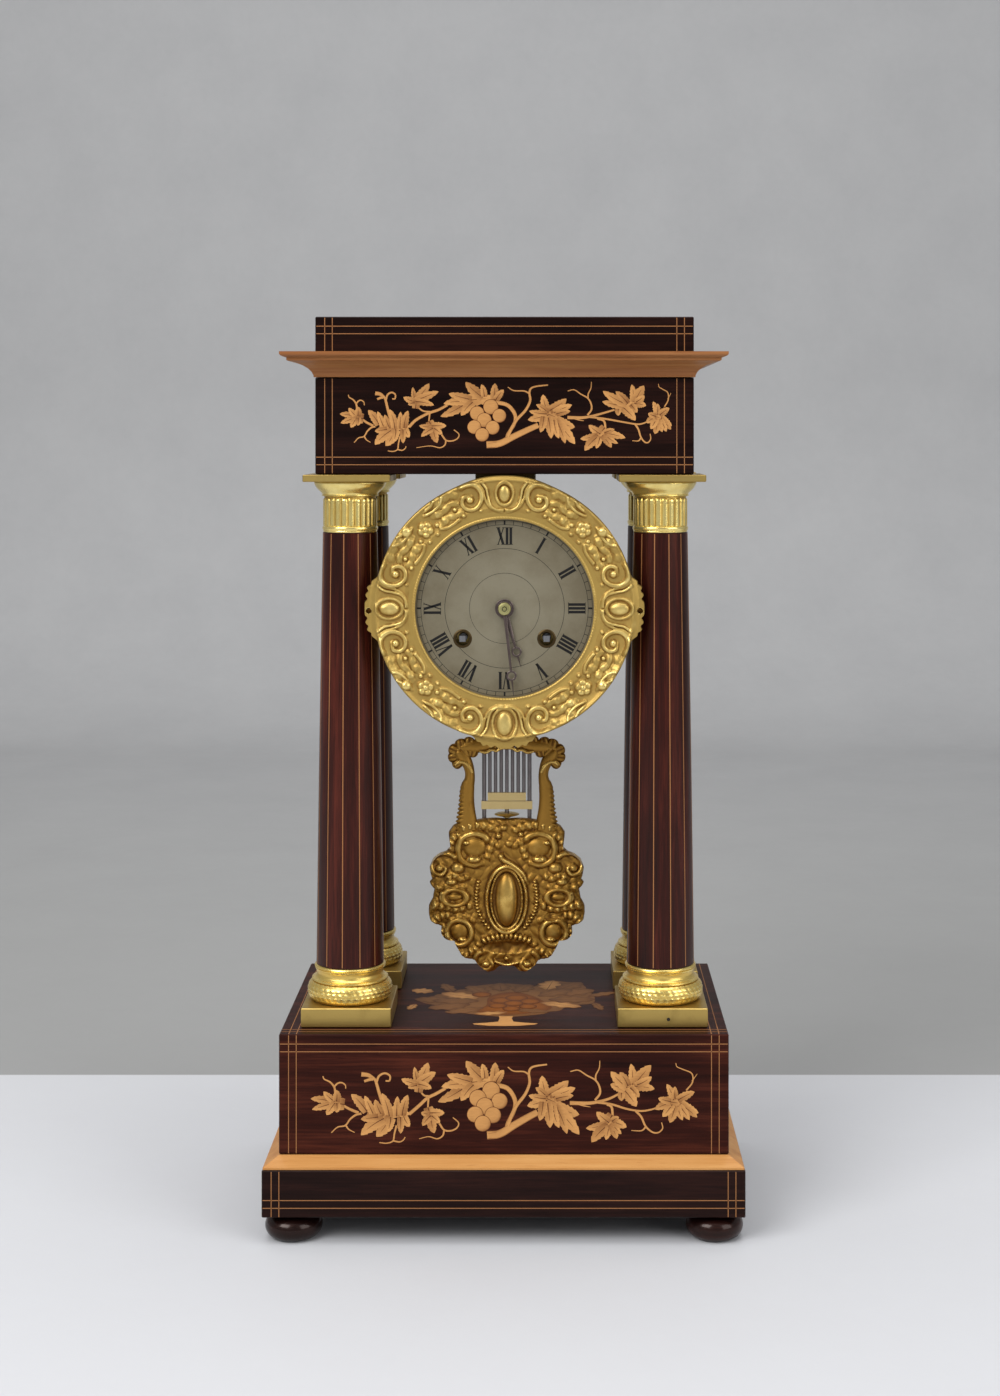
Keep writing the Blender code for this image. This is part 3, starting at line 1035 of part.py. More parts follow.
def build_gridiron():
    """The steel frame and the brass core of the gridiron, with the rating nut on the frame's stem."""
    frame = ladder("gridiron_frame", GRID_HALF_WIDTH, GRID_FOOT_Z, GRID_TOP_Z, STEEL)
    head_z = GRID_TOP_Z - GRID_BAR_HEIGHT / 2.0
    for side in (-1.0, 1.0):
        x = side * OUTER_ROD_X
        join(frame, rod(f"gridiron_side_{side:+.0f}", (x, PENDULUM_Y, OUTER_ROD_FOOT_Z),
                        (x, PENDULUM_Y, head_z), OUTER_ROD_RADIUS, None))
    join(frame, rod("rating_stem", (0.0, PENDULUM_Y, STEM_FOOT_Z),
                    (0.0, PENDULUM_Y, GRID_FOOT_Z + GRID_BAR_HEIGHT / 2.0), STEM_RADIUS, None))
    set_origin(frame, (0.0, PENDULUM_Y, PIVOT_Z))
    low_z = GRID_FOOT_Z + GRID_BAR_HEIGHT + GAP
    high_z = GRID_TOP_Z - GRID_BAR_HEIGHT - GAP
    core = ladder("gridiron_core", CORE_HALF_WIDTH, low_z, high_z, BRASS)
    for i in range(CORE_RODS):
        x = (i - (CORE_RODS - 1) / 2.0) * CORE_ROD_PITCH
        join(core, rod(f"core_rod_{i}", (x, PENDULUM_Y, low_z + GRID_BAR_HEIGHT / 2.0),
                       (x, PENDULUM_Y, high_z - GRID_BAR_HEIGHT / 2.0), CORE_ROD_RADIUS, None))
    set_origin(core, (0.0, PENDULUM_Y, PIVOT_Z))
    hole = STEM_RADIUS + SHAFT_PLAY
    rim = scaled(NUT_PROFILE_SHARES, NUT_RADIUS, NUT_HEIGHT)
    nut = [(hole, NUT_HEIGHT)] + rim + [(hole, 0.0), (hole, NUT_HEIGHT)]
    turned("rating_nut", nut, (0.0, PENDULUM_Y, NUT_Z), BRASS)


def bob_outline(turns):
    """Outer radius of the bob, alike on both sides, from its own table of shares."""
    off = np.degrees(np.abs((turns + math.pi) % TAU - math.pi))
    table = np.array(BOB_OUTLINE_SHARES)
    radius = np.interp(off, table[:, 0], table[:, 1])
    s, c = np.sin(turns), np.cos(turns)
    return radius * np.hypot(s * BOB_HALF_WIDTH, c * BOB_HALF_HEIGHT)


def bob_relief(x, z):
    """Thickness of the bob casting at a place measured from its middle."""
    dome = 1.0 - (x / BOB_HALF_WIDTH) ** 2 - (z / BOB_HALF_HEIGHT) ** 2
    thick = BOB_RELIEF + BOB_DOME * np.clip(dome, BOB_DOME_LOW_SHARE, 1.0)
    oval = np.hypot(x / BOB_OVAL[0], z / BOB_OVAL[1])
    thick = thick + BOB_OVAL_HEIGHT * np.sqrt(np.clip(1.0 - oval ** 2, 0.0, 1.0))
    thick = thick + BOB_FRAME_HEIGHT * hump(oval - BOB_FRAME_SHARE, BOB_FRAME_SPREAD_SHARE)
    for (across, up), size, height in zip(SCROLL_PLACE_SHARES, SCROLL_RADII, SCROLL_HEIGHTS):
        for side in (-1.0, 1.0):
            apart = np.hypot(x - side * across * BOB_HALF_WIDTH, z - up * BOB_HALF_HEIGHT)
            thick = thick + height * hump(apart, size * SCROLL_BOSS_SHARE)
            thick = thick + 0.5 * height * hump(apart - size, size * SCROLL_RIM_SHARE)
    return thick


def build_bob():
    """The bob casting with its lyre arms and the lug that rides the rating stem."""
    turns = np.arange(BOB_TURNS) * TAU / BOB_TURNS
    outer = bob_outline(turns)
    oval = np.hypot(np.sin(turns) * BOB_HALF_HEIGHT * BOB_OVAL[0] / BOB_OVAL[1], np.cos(turns) * BOB_HALF_HEIGHT)
    shares = np.linspace(1.0, BOB_CROWN_SHARE, BOB_RINGS)[:, None]
    radii = shares * (oval + (outer - oval) * shares ** BOB_RING_POWER)
    thick = bob_relief(radii * np.sin(turns), radii * np.cos(turns))
    thick[0] = EDGE_THICKNESS
    centre = (0.0, BOB_Z)
    rings = [ring_points(outer, centre, BOB_BACK_Y)] + relief_rings(radii, turns, BOB_BACK_Y, thick, centre)
    bob = loft("pendulum_bob", rings, GILT)
    arm_y = BOB_BACK_Y - LYRE_RADIUS
    for side in (-1.0, 1.0):
        points = LYRE_FOOT + LYRE_ARM_SHARES * LYRE_SPAN * np.array([side, 1.0])
        join(bob, sweep(f"lyre_arm_{side:+.0f}", points, LYRE_RADIUS, arm_y, None, end_share=LYRE_END_SHARE))
    top = LYRE_FOOT + LYRE_TOP_SHARES * LYRE_SPAN
    join(bob, sweep("lyre_top", top, LYRE_TOP_RADIUS, arm_y, None))
    join(bob, box("bob_lug", (-LUG_HALF_WIDTH, BOB_BACK_Y - CUT_RUN, LUG_LOW_Z),
                  (LUG_HALF_WIDTH, PENDULUM_Y + LUG_HALF_WIDTH, LUG_HIGH_Z), None))
    cut(bob, rod("bob_lug_bore", (0.0, PENDULUM_Y, LUG_LOW_Z - LUG_HALF_WIDTH),
                 (0.0, PENDULUM_Y, LUG_HIGH_Z + LUG_HALF_WIDTH), STEM_RADIUS + SHAFT_PLAY, None))
    set_origin(bob, (0.0, PENDULUM_Y, PIVOT_Z))


def main():
    """Build the clock from the table upwards and from the drum inwards."""
    build_case()
    build_columns()
    build_drum()
    build_bezel()
    build_dial()
    build_plates()
    build_barrels()
    build_motion_work()
    build_escapement()
    build_bell()
    build_hammer()
    build_hands()
    build_suspension()
    build_gridiron()
    build_bob()


if __name__ == "__main__":
    main()
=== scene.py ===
"""Looks of the portico mantel clock: veneers, marquetry, gilt castings, dial and pendulum.

Metres, +Z up, and the front faces -Y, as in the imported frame. Each sub-assembly is a class that
holds its sizes and builds its own pieces, and each finish is a frozen class that makes its material.
"""

import logging
import math
from dataclasses import dataclass, field
from enum import Enum
from functools import lru_cache
from typing import Iterable, Optional, Sequence, Union

import bmesh
import bpy
import numpy as np
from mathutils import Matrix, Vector


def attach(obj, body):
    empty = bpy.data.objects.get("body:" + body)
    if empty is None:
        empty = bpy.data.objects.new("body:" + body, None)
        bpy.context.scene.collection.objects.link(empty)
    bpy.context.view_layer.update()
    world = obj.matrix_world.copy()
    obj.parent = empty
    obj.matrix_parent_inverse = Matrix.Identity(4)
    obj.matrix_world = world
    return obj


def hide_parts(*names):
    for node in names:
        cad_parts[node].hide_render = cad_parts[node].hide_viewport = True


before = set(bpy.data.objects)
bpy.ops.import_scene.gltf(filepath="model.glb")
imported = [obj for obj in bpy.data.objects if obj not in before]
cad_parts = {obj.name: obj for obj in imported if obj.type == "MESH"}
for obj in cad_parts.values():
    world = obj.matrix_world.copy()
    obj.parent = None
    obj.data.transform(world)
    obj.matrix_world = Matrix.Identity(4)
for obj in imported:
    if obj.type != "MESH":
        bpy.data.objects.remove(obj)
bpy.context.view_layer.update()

MM = 0.001
TAU = 2.0 * math.pi
PROUD = 0.05 * MM
SUNK = -3.0 * PROUD
FINE_BUMP, PORE_BUMP, SAND_BUMP, FLOOR_BUMP = 0.02 * MM, 0.03 * MM, 0.06 * MM, 0.2 * MM
LOG = logging.getLogger("clock")

Number = Union["Signal", float]
Colour = tuple[float, float, float, float]
Spot = tuple[float, float]
Triple = tuple[float, float, float]


class Axis(Enum):
    """The way a grain or a brushing runs."""

    X = 0
    Y = 1
    Z = 2


class Slot(Enum):
    """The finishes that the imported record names."""

    ROSEWOOD = "rosewood"
    FRUITWOOD = "fruitwood"
    GILT = "gilt_brass"
    BRASS = "plain_brass"
    SILVERED = "silvered_brass"
    BLUED = "blued_steel"
    STEEL = "steel"


def paint(red: float, green: float, blue: float) -> Colour:
    """A colour as it looks on a screen, 0 to 255 each, in linear light."""
    shares = [(part / 255.0 + 0.055) / 1.055 for part in (red, green, blue)]
    return (*[share ** 2.4 if share > 0.0904 else (share * 1.055 - 0.055) / 12.92 for share in shares], 1.0)


@dataclass(frozen=True)
class Signal:
    """One output socket that can stand in sums and products with other signals and numbers."""

    graph: "Graph"
    socket: bpy.types.NodeSocket

    def _maths(self, operation: str, *terms: Number) -> "Signal":
        """Add one Math node over the terms."""
        return self.graph.node("ShaderNodeMath", {"operation": operation}, dict(enumerate(terms)))

    def __add__(self, other: Number) -> "Signal":
        """This plus the other."""
        return self._maths("ADD", self, other)

    __radd__ = __add__

    def __sub__(self, other: Number) -> "Signal":
        """This minus the other."""
        return self._maths("SUBTRACT", self, other)

    def __rsub__(self, other: Number) -> "Signal":
        """The other minus this."""
        return self._maths("SUBTRACT", other, self)

    def __mul__(self, other: Number) -> "Signal":
        """This times the other."""
        return self._maths("MULTIPLY", self, other)

    __rmul__ = __mul__

    def step(self, low: float, high: float) -> "Signal":
        """Nought below low, one above high, and an S curve between them."""
        return self.graph.node("ShaderNodeMapRange", {"interpolation_type": "SMOOTHSTEP"},
                               {0: self, 1: low, 2: high, 3: 0.0, 4: 1.0})

    def held(self) -> "Signal":
        """This, kept between nought and one."""
        return self.graph.node("ShaderNodeClamp", {}, {0: self, 1: 0.0, 2: 1.0})


class Graph:
    """The node tree of one material while it is made."""

    def __init__(self, name: str) -> None:
        """Start a material with a Principled shader."""
        self.material = bpy.data.materials.new(name)
        self.material.use_nodes = True
        self.tree = self.material.node_tree
        self.shader = self.tree.nodes["Principled BSDF"]

    def node(self, kind: str, settings: Optional[dict] = None, values: Optional[dict] = None,
             output: int = 0) -> Signal:
        """Add a node.

        Args:
            kind: the node's type.
            settings: its properties, and "stops" for the stops of a ramp; set first.
            values: the value or signal of each socket, by name or place.
            output: which output to return.

        Returns:
            The output as a signal.
        """
        made = self.tree.nodes.new(kind)
        for key, value in (settings or {}).items():
            if key == "stops":
                self._stops(made.color_ramp, value)
            else:
                setattr(made, key, value)
        for key, value in (values or {}).items():
            self.feed(made.inputs[key], value)
        return Signal(self, made.outputs[output])

    @staticmethod
    def _stops(ramp: bpy.types.ColorRamp, stops: Sequence[tuple[float, Colour]]) -> None:
        """Give a ramp its stops."""
        while len(ramp.elements) < len(stops):
            ramp.elements.new(0.5)
        for element, (at, colour) in zip(ramp.elements, stops):
            element.position, element.color = at, colour

    def feed(self, socket: bpy.types.NodeSocket, value: Union[Signal, float, Sequence[float]]) -> None:
        """Link a signal to a socket, or set a plain value on it."""
        if isinstance(value, Signal):
            self.tree.links.new(value.socket, socket)
        else:
            socket.default_value = value

    def place(self, scale: Sequence[float] = (1.0, 1.0, 1.0), middle: Sequence[float] = (0.0, 0.0, 0.0)) -> Signal:
        """The place on the piece, in metres from a middle, times a scale for each axis."""
        at = self.node("ShaderNodeTexCoord", {}, {}, output=3)
        moved = self.node("ShaderNodeVectorMath", {"operation": "SUBTRACT"}, {0: at, 1: tuple(middle)})
        return self.node("ShaderNodeVectorMath", {"operation": "MULTIPLY"}, {0: moved, 1: tuple(scale)})

    def noise(self, place: Signal, detail: float = 3.0, roughness: float = 0.5, bend: float = 0.0) -> Signal:
        """Cloudy noise, nought to one, with one cloud to each unit of the place."""
        return self.node("ShaderNodeTexNoise", {}, {"Vector": place, "Scale": 1.0, "Detail": detail,
                                                    "Roughness": roughness, "Distortion": bend})

    def clouds(self, fine: float, detail: float = 3.0, roughness: float = 0.5, bend: float = 0.0) -> Signal:
        """Noise with the same number of clouds to each metre all ways."""
        return self.noise(self.place((fine, fine, fine)), detail, roughness, bend)

    def streaks(self, axis: Axis, fine: float, stretch: float, detail: float, roughness: float = 0.6,
                bend: float = 0.0) -> Signal:
        """Noise with fine clouds across an axis, drawn out by the stretch along it."""
        scale = tuple(fine / stretch if turn == axis.value else fine for turn in range(3))
        return self.noise(self.place(scale), detail, roughness, bend)

    def attribute(self, name: str) -> Signal:
        """A number that the mesh carries at each point."""
        return self.node("ShaderNodeAttribute", {"attribute_name": name}, {}, output=2)

    def mix(self, share: Number, first: Union[Signal, Colour], second: Union[Signal, Colour]) -> Signal:
        """A colour between two, the second one at a share of one."""
        return self.node("ShaderNodeMix", {"data_type": "RGBA"}, {0: share, 6: first, 7: second}, output=2)

    def finish(self, colour: Union[Signal, Colour], roughness: Number, metallic: float, height: Signal, depth: float,
               **fixed: Union[float, Colour]) -> bpy.types.Material:
        """Join the results to the shader.

        Args:
            colour: the base colour.
            roughness: the roughness.
            metallic: how metallic it is.
            height: the height that the bump follows, nought to one.
            depth: how high a height of one stands, in metres.
            fixed: other sockets of the shader, with underscores for spaces.

        Returns:
            The finished material.
        """
        bump = self.node("ShaderNodeBump", {}, {"Height": height, "Distance": depth, "Strength": 1.0})
        varied = {"Base_Color": colour, "Roughness": roughness, "Metallic": metallic, "Normal": bump}
        for key, value in {**varied, **fixed}.items():
            self.feed(self.shader.inputs[key.replace("_", " ")], value)
        return self.material


@dataclass(frozen=True)
class Veneer:
    """Polished veneer with long streaks, fine pores and a french polish."""

    name: str
    dark: Colour
    middle: Colour
    light: Colour
    grain: Axis = Axis.X
    roughness: float = 0.3
    polish: float = 0.06
    streaks: float = 95.0
    gloss: float = 0.2
    warmth: Colour = paint(255, 214, 196)

    @lru_cache(maxsize=None)
    def material(self) -> bpy.types.Material:
        """Broad streaks choose between dark and light wood, fine ones and pores darken it."""
        graph = Graph(self.name)
        broad = graph.streaks(self.grain, self.streaks, 14.0, 4.0, bend=0.4)
        fine = graph.streaks(self.grain, self.streaks * 9.0, 26.0, 3.0)
        pores = graph.streaks(self.grain, self.streaks * 26.0, 22.0, 2.0, 0.5)
        clouds = graph.clouds(14.0, 2.0)
        share = broad * 0.75 + fine * 0.35 + clouds * 0.25 - 0.18
        stops = [(0.3, self.dark), (0.5, self.middle), (0.72, self.light)]
        wood = graph.node("ShaderNodeValToRGB", {"stops": stops}, {0: share})
        pore = pores.step(0.62, 0.74)
        colour = graph.mix(pore * 0.55, wood, self.dark)
        rough = self.roughness + 0.1 * clouds + 0.12 * pore
        return graph.finish(colour, rough, 0.0, 1.0 - pore * 0.7 + fine * 0.2, PORE_BUMP,
                            Coat_Weight=self.polish, Coat_Roughness=0.12, IOR=1.5,
                            Specular_IOR_Level=self.gloss, Specular_Tint=self.warmth)


@dataclass(frozen=True)
class Inlay:
    """Pale wood let into the veneer, scorched darker where the piece's tint says so."""

    name: str
    pale: Colour
    scorched: Colour
    roughness: float = 0.45
    fibres: Triple = (240.0, 900.0, 1300.0)
    flecks: Triple = (120.0, 120.0, 160.0)

    @lru_cache(maxsize=None)
    def material(self) -> bpy.types.Material:
        """The tint mixes pale and scorched wood, and a fine grain runs through both."""
        graph = Graph(self.name)
        grain = graph.noise(graph.place(self.fibres), 3.0, 0.6, 0.5)
        broad = graph.noise(graph.place(self.flecks), 2.0)
        tint = (graph.attribute("tint") + (grain - 0.5) * 0.36 + (broad - 0.5) * 0.3).held()
        colour = graph.mix(tint, self.pale, self.scorched)
        return graph.finish(colour, self.roughness + grain * 0.12, 0.0, grain, FINE_BUMP, Specular_IOR_Level=0.15)


@dataclass(frozen=True)
class Gilding:
    """Gilt brass: matte in the ground, bright on the heights from burnishing and a painted highlight, brown in the
    hollows from patina and painted shade.
    """

    name: str
    matte: Colour
    burnished_and_highlit: Colour
    hollow: Colour
    roughness: float = 0.42
    shine: float = 0.16
    metallic: float = 0.8
    sand: float = 2600.0

    @lru_cache(maxsize=None)
    def material(self) -> bpy.types.Material:
        """The relief value of the casting, nought in a hollow and one on a height, sets colour and gloss; its bright
        heights are partly a painted highlight and its brown hollows partly painted shade.
        """
        graph = Graph(self.name)
        relief = graph.attribute("relief")
        sand = graph.clouds(self.sand, 2.0, 0.6)
        cloud = graph.clouds(150.0, 3.0, 0.6)
        # Heights take the bright colour, a painted highlight as well as burnishing; hollows take the brown, painted
        # shade as well as patina.
        tone_shift = relief + (cloud - 0.5) * 0.5
        high = tone_shift.step(0.5, 0.9)
        low = 1.0 - tone_shift.step(0.05, 0.42)
        body = graph.mix(high, self.matte, self.burnished_and_highlit)
        colour = graph.mix(low * 0.85, body, self.hollow)
        rough = self.roughness - high * (self.roughness - self.shine) + low * 0.12 + (cloud - 0.5) * 0.08
        return graph.finish(colour, rough, self.metallic, sand * (1.0 - high * 0.85), SAND_BUMP)


@dataclass(frozen=True)
class Metal:
    """Plain metal with brushing one way and soft stains."""

    name: str
    colour: Colour
    stain: Colour
    brushing: Axis = Axis.X
    roughness: float = 0.32
    metallic: float = 1.0
    spots: float = 38.0
    fine: float = 1500.0

    @lru_cache(maxsize=None)
    def material(self) -> bpy.types.Material:
        """Fine brushing lines give the gloss its direction, and clouds of stain dull it."""
        graph = Graph(self.name)
        lines = graph.streaks(self.brushing, self.fine, 40.0, 2.0)
        stain = graph.clouds(self.spots, 4.0, 0.65, 0.6).step(0.42, 0.72)
        colour = graph.mix(stain * 0.45, self.colour, self.stain)
        rough = self.roughness + (lines - 0.5) * 0.14 + stain * 0.12
        return graph.finish(colour, rough, self.metallic, lines, FINE_BUMP)


@dataclass(frozen=True)
class BarsAndRods:
    """Steel rods between pale brass bars: the height on the piece says which is which."""

    name: str
    spans: tuple[Spot, ...]
    bars: Colour = paint(206, 184, 130)
    rods: Colour = paint(122, 116, 116)
    dull_bars: Colour = paint(178, 148, 96)
    dull_rods: Colour = paint(84, 76, 72)
    soft: float = 0.05 * MM

    @lru_cache(maxsize=None)
    def material(self) -> bpy.types.Material:
        """The share of brass is one inside each span of height, and brushing runs through both."""
        graph = Graph(self.name)
        height = graph.node("ShaderNodeSeparateXYZ", {}, {0: graph.place()}, output=2)
        brass = sum((height.step(low - self.soft, low) - height.step(high, high + self.soft)
                     for low, high in self.spans), 0.0)
        lines = graph.streaks(Axis.Z, 1500.0, 25.0, 2.0)
        cloud = graph.clouds(160.0, 3.0, 0.6)
        colour = graph.mix(brass, graph.mix(cloud * 0.6, self.rods, self.dull_rods),
                           graph.mix(cloud * 0.5, self.bars, self.dull_bars))
        return graph.finish(colour, 0.3 + lines * 0.14 + cloud * 0.08, 0.85, lines, FINE_BUMP)


@dataclass(frozen=True)
class SilverFace:
    """The silvered dial: a matte face with faint rings of turning and a warm cloud."""

    name: str
    colour: Colour
    warm: Colour
    middle: Triple
    fade: Spot = (12.0 * MM, 46.0 * MM)
    rings: float = 5200.0

    @lru_cache(maxsize=None)
    def material(self) -> bpy.types.Material:
        """The distance from the middle makes the rings and warms the rim, clouds of tarnish do the rest."""
        graph = Graph(self.name)
        out = graph.place((1.0, 0.0, 1.0), self.middle)
        reach = graph.node("ShaderNodeVectorMath", {"operation": "LENGTH"}, {0: out}, output=1)
        rings = graph.node("ShaderNodeTexNoise", {"noise_dimensions": "1D"}, {"W": reach * self.rings, "Detail": 2.0})
        cloud = graph.clouds(55.0, 4.0, 0.6)
        grain = graph.clouds(1400.0, 2.0)
        tone_shift = (cloud.step(0.35, 0.7) * 0.5 + (grain - 0.5) * 0.3 + reach.step(*self.fade) * 0.7 - 0.1).held()
        colour = graph.mix(tone_shift, self.colour, self.warm)
        return graph.finish(colour, 0.5 + (cloud - 0.5) * 0.12, 0.35, rings * 0.6 + grain * 0.6, FINE_BUMP)


@dataclass(frozen=True)
class Wax:
    """Hard black wax in the engraving of the dial."""

    name: str
    colour: Colour
    tone_shift: Colour = paint(44, 40, 36)

    @lru_cache(maxsize=None)
    def material(self) -> bpy.types.Material:
        """Fine clouds break the black a little."""
        graph = Graph(self.name)
        cloud = graph.clouds(700.0)
        colour = graph.mix(cloud * 0.3, self.colour, self.tone_shift)
        return graph.finish(colour, 0.5 + cloud * 0.15, 0.0, cloud, FINE_BUMP, Specular_IOR_Level=0.2)


@dataclass(frozen=True)
class Ground:
    """The pale floor, which turns to the grey of the wall behind a line and rises into it at a distance."""

    name: str
    line_y: float
    far_y: float
    floor: Colour = paint(193, 193, 196)
    floor_cloud: Colour = paint(196, 197, 200)
    wall: Colour = paint(152, 152, 151)
    wall_cloud: Colour = paint(146, 146, 145)
    # The far colours are paler than the wall's: painted light, the wall lighter further up.
    far: Colour = paint(188, 188, 188)
    painted_light_far_cloud: Colour = paint(172, 172, 173)

    @lru_cache(maxsize=None)
    def material(self) -> bpy.types.Material:
        """Behind the line the wall's grey takes over and pales with the distance, painted light that makes the far
        wall lighter; broad clouds mottle all.
        """
        graph = Graph(self.name)
        back = graph.node("ShaderNodeSeparateXYZ", {}, {0: graph.place()}, output=1)
        cloud = graph.clouds(9.0, 4.0, 0.6)
        fine = graph.clouds(70.0, 3.0, 0.6)
        mottle = (cloud * 0.8 + fine * 0.3).held()
        wall = graph.mix(back.step(self.line_y, self.far_y), graph.mix(mottle, self.wall, self.wall_cloud),
                         graph.mix(mottle, self.far, self.painted_light_far_cloud))
        floor = graph.mix((cloud * 0.7 + fine * 0.4).held(), self.floor, self.floor_cloud)
        colour = graph.mix(back.step(self.line_y - 1.0 * MM, self.line_y + 1.0 * MM), floor, wall)
        return graph.finish(colour, 0.75, 0.0, fine, FLOOR_BUMP, Specular_IOR_Level=0.2)


# A darker copy of the rosewood for the frieze and the attic: painted shade on the top of the case.
SHADED_TOP_ROSEWOOD = Veneer("shaded_top_rosewood", paint(11, 5, 5), paint(24, 11, 9), paint(44, 22, 17), gloss=0.08)
DARK_ROSEWOOD = Veneer("dark_rosewood", paint(24, 8, 7), paint(46, 18, 13), paint(80, 37, 25), roughness=0.42,
                       polish=0.02, gloss=0.1)
PLINTH_ROSEWOOD = Veneer("plinth_rosewood", paint(13, 6, 6), paint(26, 13, 12), paint(46, 24, 20), gloss=0.1)
COLUMN_ROSEWOOD = Veneer("column_rosewood", paint(22, 6, 5), paint(46, 14, 10), paint(82, 32, 22), Axis.Z,
                         0.28, 0.1, 120.0, 0.22)
FOOT_ROSEWOOD = Veneer("foot_rosewood", paint(13, 6, 6), paint(27, 11, 9), paint(48, 21, 16), Axis.X, 0.22, 0.25)
CHERRY = Veneer("cherry", paint(124, 74, 40), paint(148, 98, 58), paint(166, 118, 74), Axis.X, 0.34, 0.1, 70.0)
BEVEL_CHERRY = Veneer("bevel_cherry", paint(162, 104, 52), paint(184, 130, 72), paint(198, 148, 90), Axis.X,
                      0.36, 0.1, 70.0)
MAPLE_INLAY = Inlay("marquetry_wood", paint(200, 146, 86), paint(100, 54, 24))
DUN_INLAY = Inlay("dun_wood", paint(126, 84, 44), paint(78, 44, 20))
STRING_INLAY = Inlay("string_wood", paint(160, 110, 68), paint(118, 76, 46))
VEIN_INLAY = Inlay("scorched_line", paint(92, 48, 22), paint(58, 28, 14))
AMBER_INLAY = Inlay("amber_wood", paint(142, 80, 16), paint(86, 42, 8))
BEZEL_GILT = Gilding("bezel_gilding", paint(172, 142, 74), paint(230, 204, 126), paint(134, 94, 38), 0.44, 0.26, 0.75)
BOB_GILT = Gilding("bob_gilding", paint(152, 112, 44), paint(212, 176, 96), paint(90, 54, 16), 0.42, 0.22, 0.8)
COLUMN_GILT = Gilding("column_gilding", paint(222, 190, 104), paint(250, 230, 150), paint(150, 118, 54), 0.3, 0.17,
                      0.85)
DULL_BRASS = Metal("dull_brass", paint(188, 160, 92), paint(126, 106, 58), Axis.X, 0.38)
CLEAN_BRASS = Metal("clean_brass", paint(205, 176, 108), paint(160, 130, 72), Axis.Y, 0.3)
HANGER_BRASS = Metal("hanger_brass", paint(96, 80, 50), paint(58, 48, 34), Axis.X, 0.42)
DOME_BRASS = Metal("dome_brass", paint(178, 172, 118), paint(120, 112, 70), Axis.Y, 0.34)
COLLAR_BRASS = Metal("collar_brass", paint(74, 60, 38), paint(40, 32, 22), Axis.Y, 0.34)
BELL_BRONZE = Metal("bell_bronze", paint(186, 158, 104), paint(140, 112, 66), Axis.Y, 0.24)
BRIGHT_STEEL = Metal("bright_steel", paint(150, 150, 152), paint(96, 92, 90), Axis.Z, 0.26)
DARK_STEEL = Metal("dark_steel", paint(104, 98, 98), paint(66, 58, 56), Axis.Z, 0.3)
BLUED_STEEL = Metal("blued_steel_finish", paint(94, 82, 78), paint(66, 56, 52), Axis.Z, 0.3, 0.8, 200.0)
# A dark metal for a spot that stands for a hole in a column block: painted shade.
HOLE_SHADE_SPOT = Metal("painted_hole_shade", paint(48, 40, 30), paint(28, 24, 20), Axis.X, 0.5, 0.4)
FRAME_BARS = BarsAndRods("gridiron_frame_metal", ((210.6 * MM, 215.0 * MM), (258.6 * MM, 263.0 * MM)))
CORE_BARS = BarsAndRods("gridiron_core_metal", ((215.3 * MM, 219.7 * MM), (253.9 * MM, 258.3 * MM)))
DIAL_SILVER = SilverFace("dial_silver", paint(125, 118, 98), paint(104, 95, 74), (0.0, -56.0 * MM, 327.0 * MM))
DIAL_WAX = Wax("dial_wax", paint(13, 12, 12))
Finish = Union[Veneer, Inlay, Gilding, Metal, BarsAndRods, SilverFace, Wax]
CORNERS = {"front_left": (-1.0, -1.0), "front_right": (1.0, -1.0), "rear_left": (-1.0, 1.0), "rear_right": (1.0, 1.0)}


def grid_faces(rows: int, columns: int, round_rows: bool = False, round_columns: bool = False) -> np.ndarray:
    """Quads of a grid of points.

    Args:
        rows: how many rows the grid has.
        columns: how many points each row has.
        round_rows: whether the last row joins the first.
        round_columns: whether each row closes on itself.

    Returns:
        One line of four point numbers for each quad.
    """
    row, column = np.meshgrid(np.arange(rows if round_rows else rows - 1),
                              np.arange(columns if round_columns else columns - 1), indexing="ij")
    below, beside = (row + 1) % rows, (column + 1) % columns
    return np.stack([row * columns + column, row * columns + beside,
                     below * columns + beside, below * columns + column], axis=-1).reshape(-1, 4)


class Shell:
    """Points and faces of one or more closed shapes, gathered for one piece."""

    def __init__(self) -> None:
        """Start empty."""
        self.points: list[np.ndarray] = []
        self.faces: list[list[int]] = []
        self.marks: list[np.ndarray] = []
        self.count = 0

    def add(self, points: np.ndarray, faces: np.ndarray, mark: Union[float, np.ndarray]) -> "Shell":
        """Add a shape with a mark for each point, such as its tint or relief."""
        flat = np.asarray(points, dtype=float).reshape(-1, 3)
        self.points.append(flat)
        self.faces.extend((faces + self.count).tolist())
        self.marks.append(np.broadcast_to(np.asarray(mark, dtype=float).reshape(-1), (len(flat),)))
        self.count += len(flat)
        return self

    def net(self, grid: np.ndarray, mark: Union[float, np.ndarray] = 0.0, round_rows: bool = False) -> "Shell":
        """Add rows of points, each row closed on itself, and the last row joined to the first where asked."""
        rows, columns = grid.shape[:2]
        marks = np.broadcast_to(mark, (rows, columns))
        return self.add(grid, grid_faces(rows, columns, round_rows, round_columns=True), marks)

    def tube(self, rings: np.ndarray, mark: Union[float, np.ndarray] = 0.0) -> "Shell":
        """Skin over rings of points, one after the other, with both ends capped by a fan."""
        rows, columns = rings.shape[:2]
        ends = np.stack([rings[0].mean(axis=0), rings[-1].mean(axis=0)])
        first = rows * columns
        turn = np.arange(columns)
        beside = (turn + 1) % columns
        caps = (np.stack([np.full(columns, first), beside, turn], axis=1),
                np.stack([np.full(columns, first + 1), first - columns + turn, first - columns + beside], axis=1))
        marks = np.concatenate([np.broadcast_to(mark, rings.shape[:2]).ravel(), [0.5, 0.5]])
        start = self.count
        self.add(np.vstack([rings.reshape(-1, 3), ends]), grid_faces(rows, columns, round_columns=True), marks)
        for cap in caps:
            self.faces.extend((cap + start).tolist())
        return self


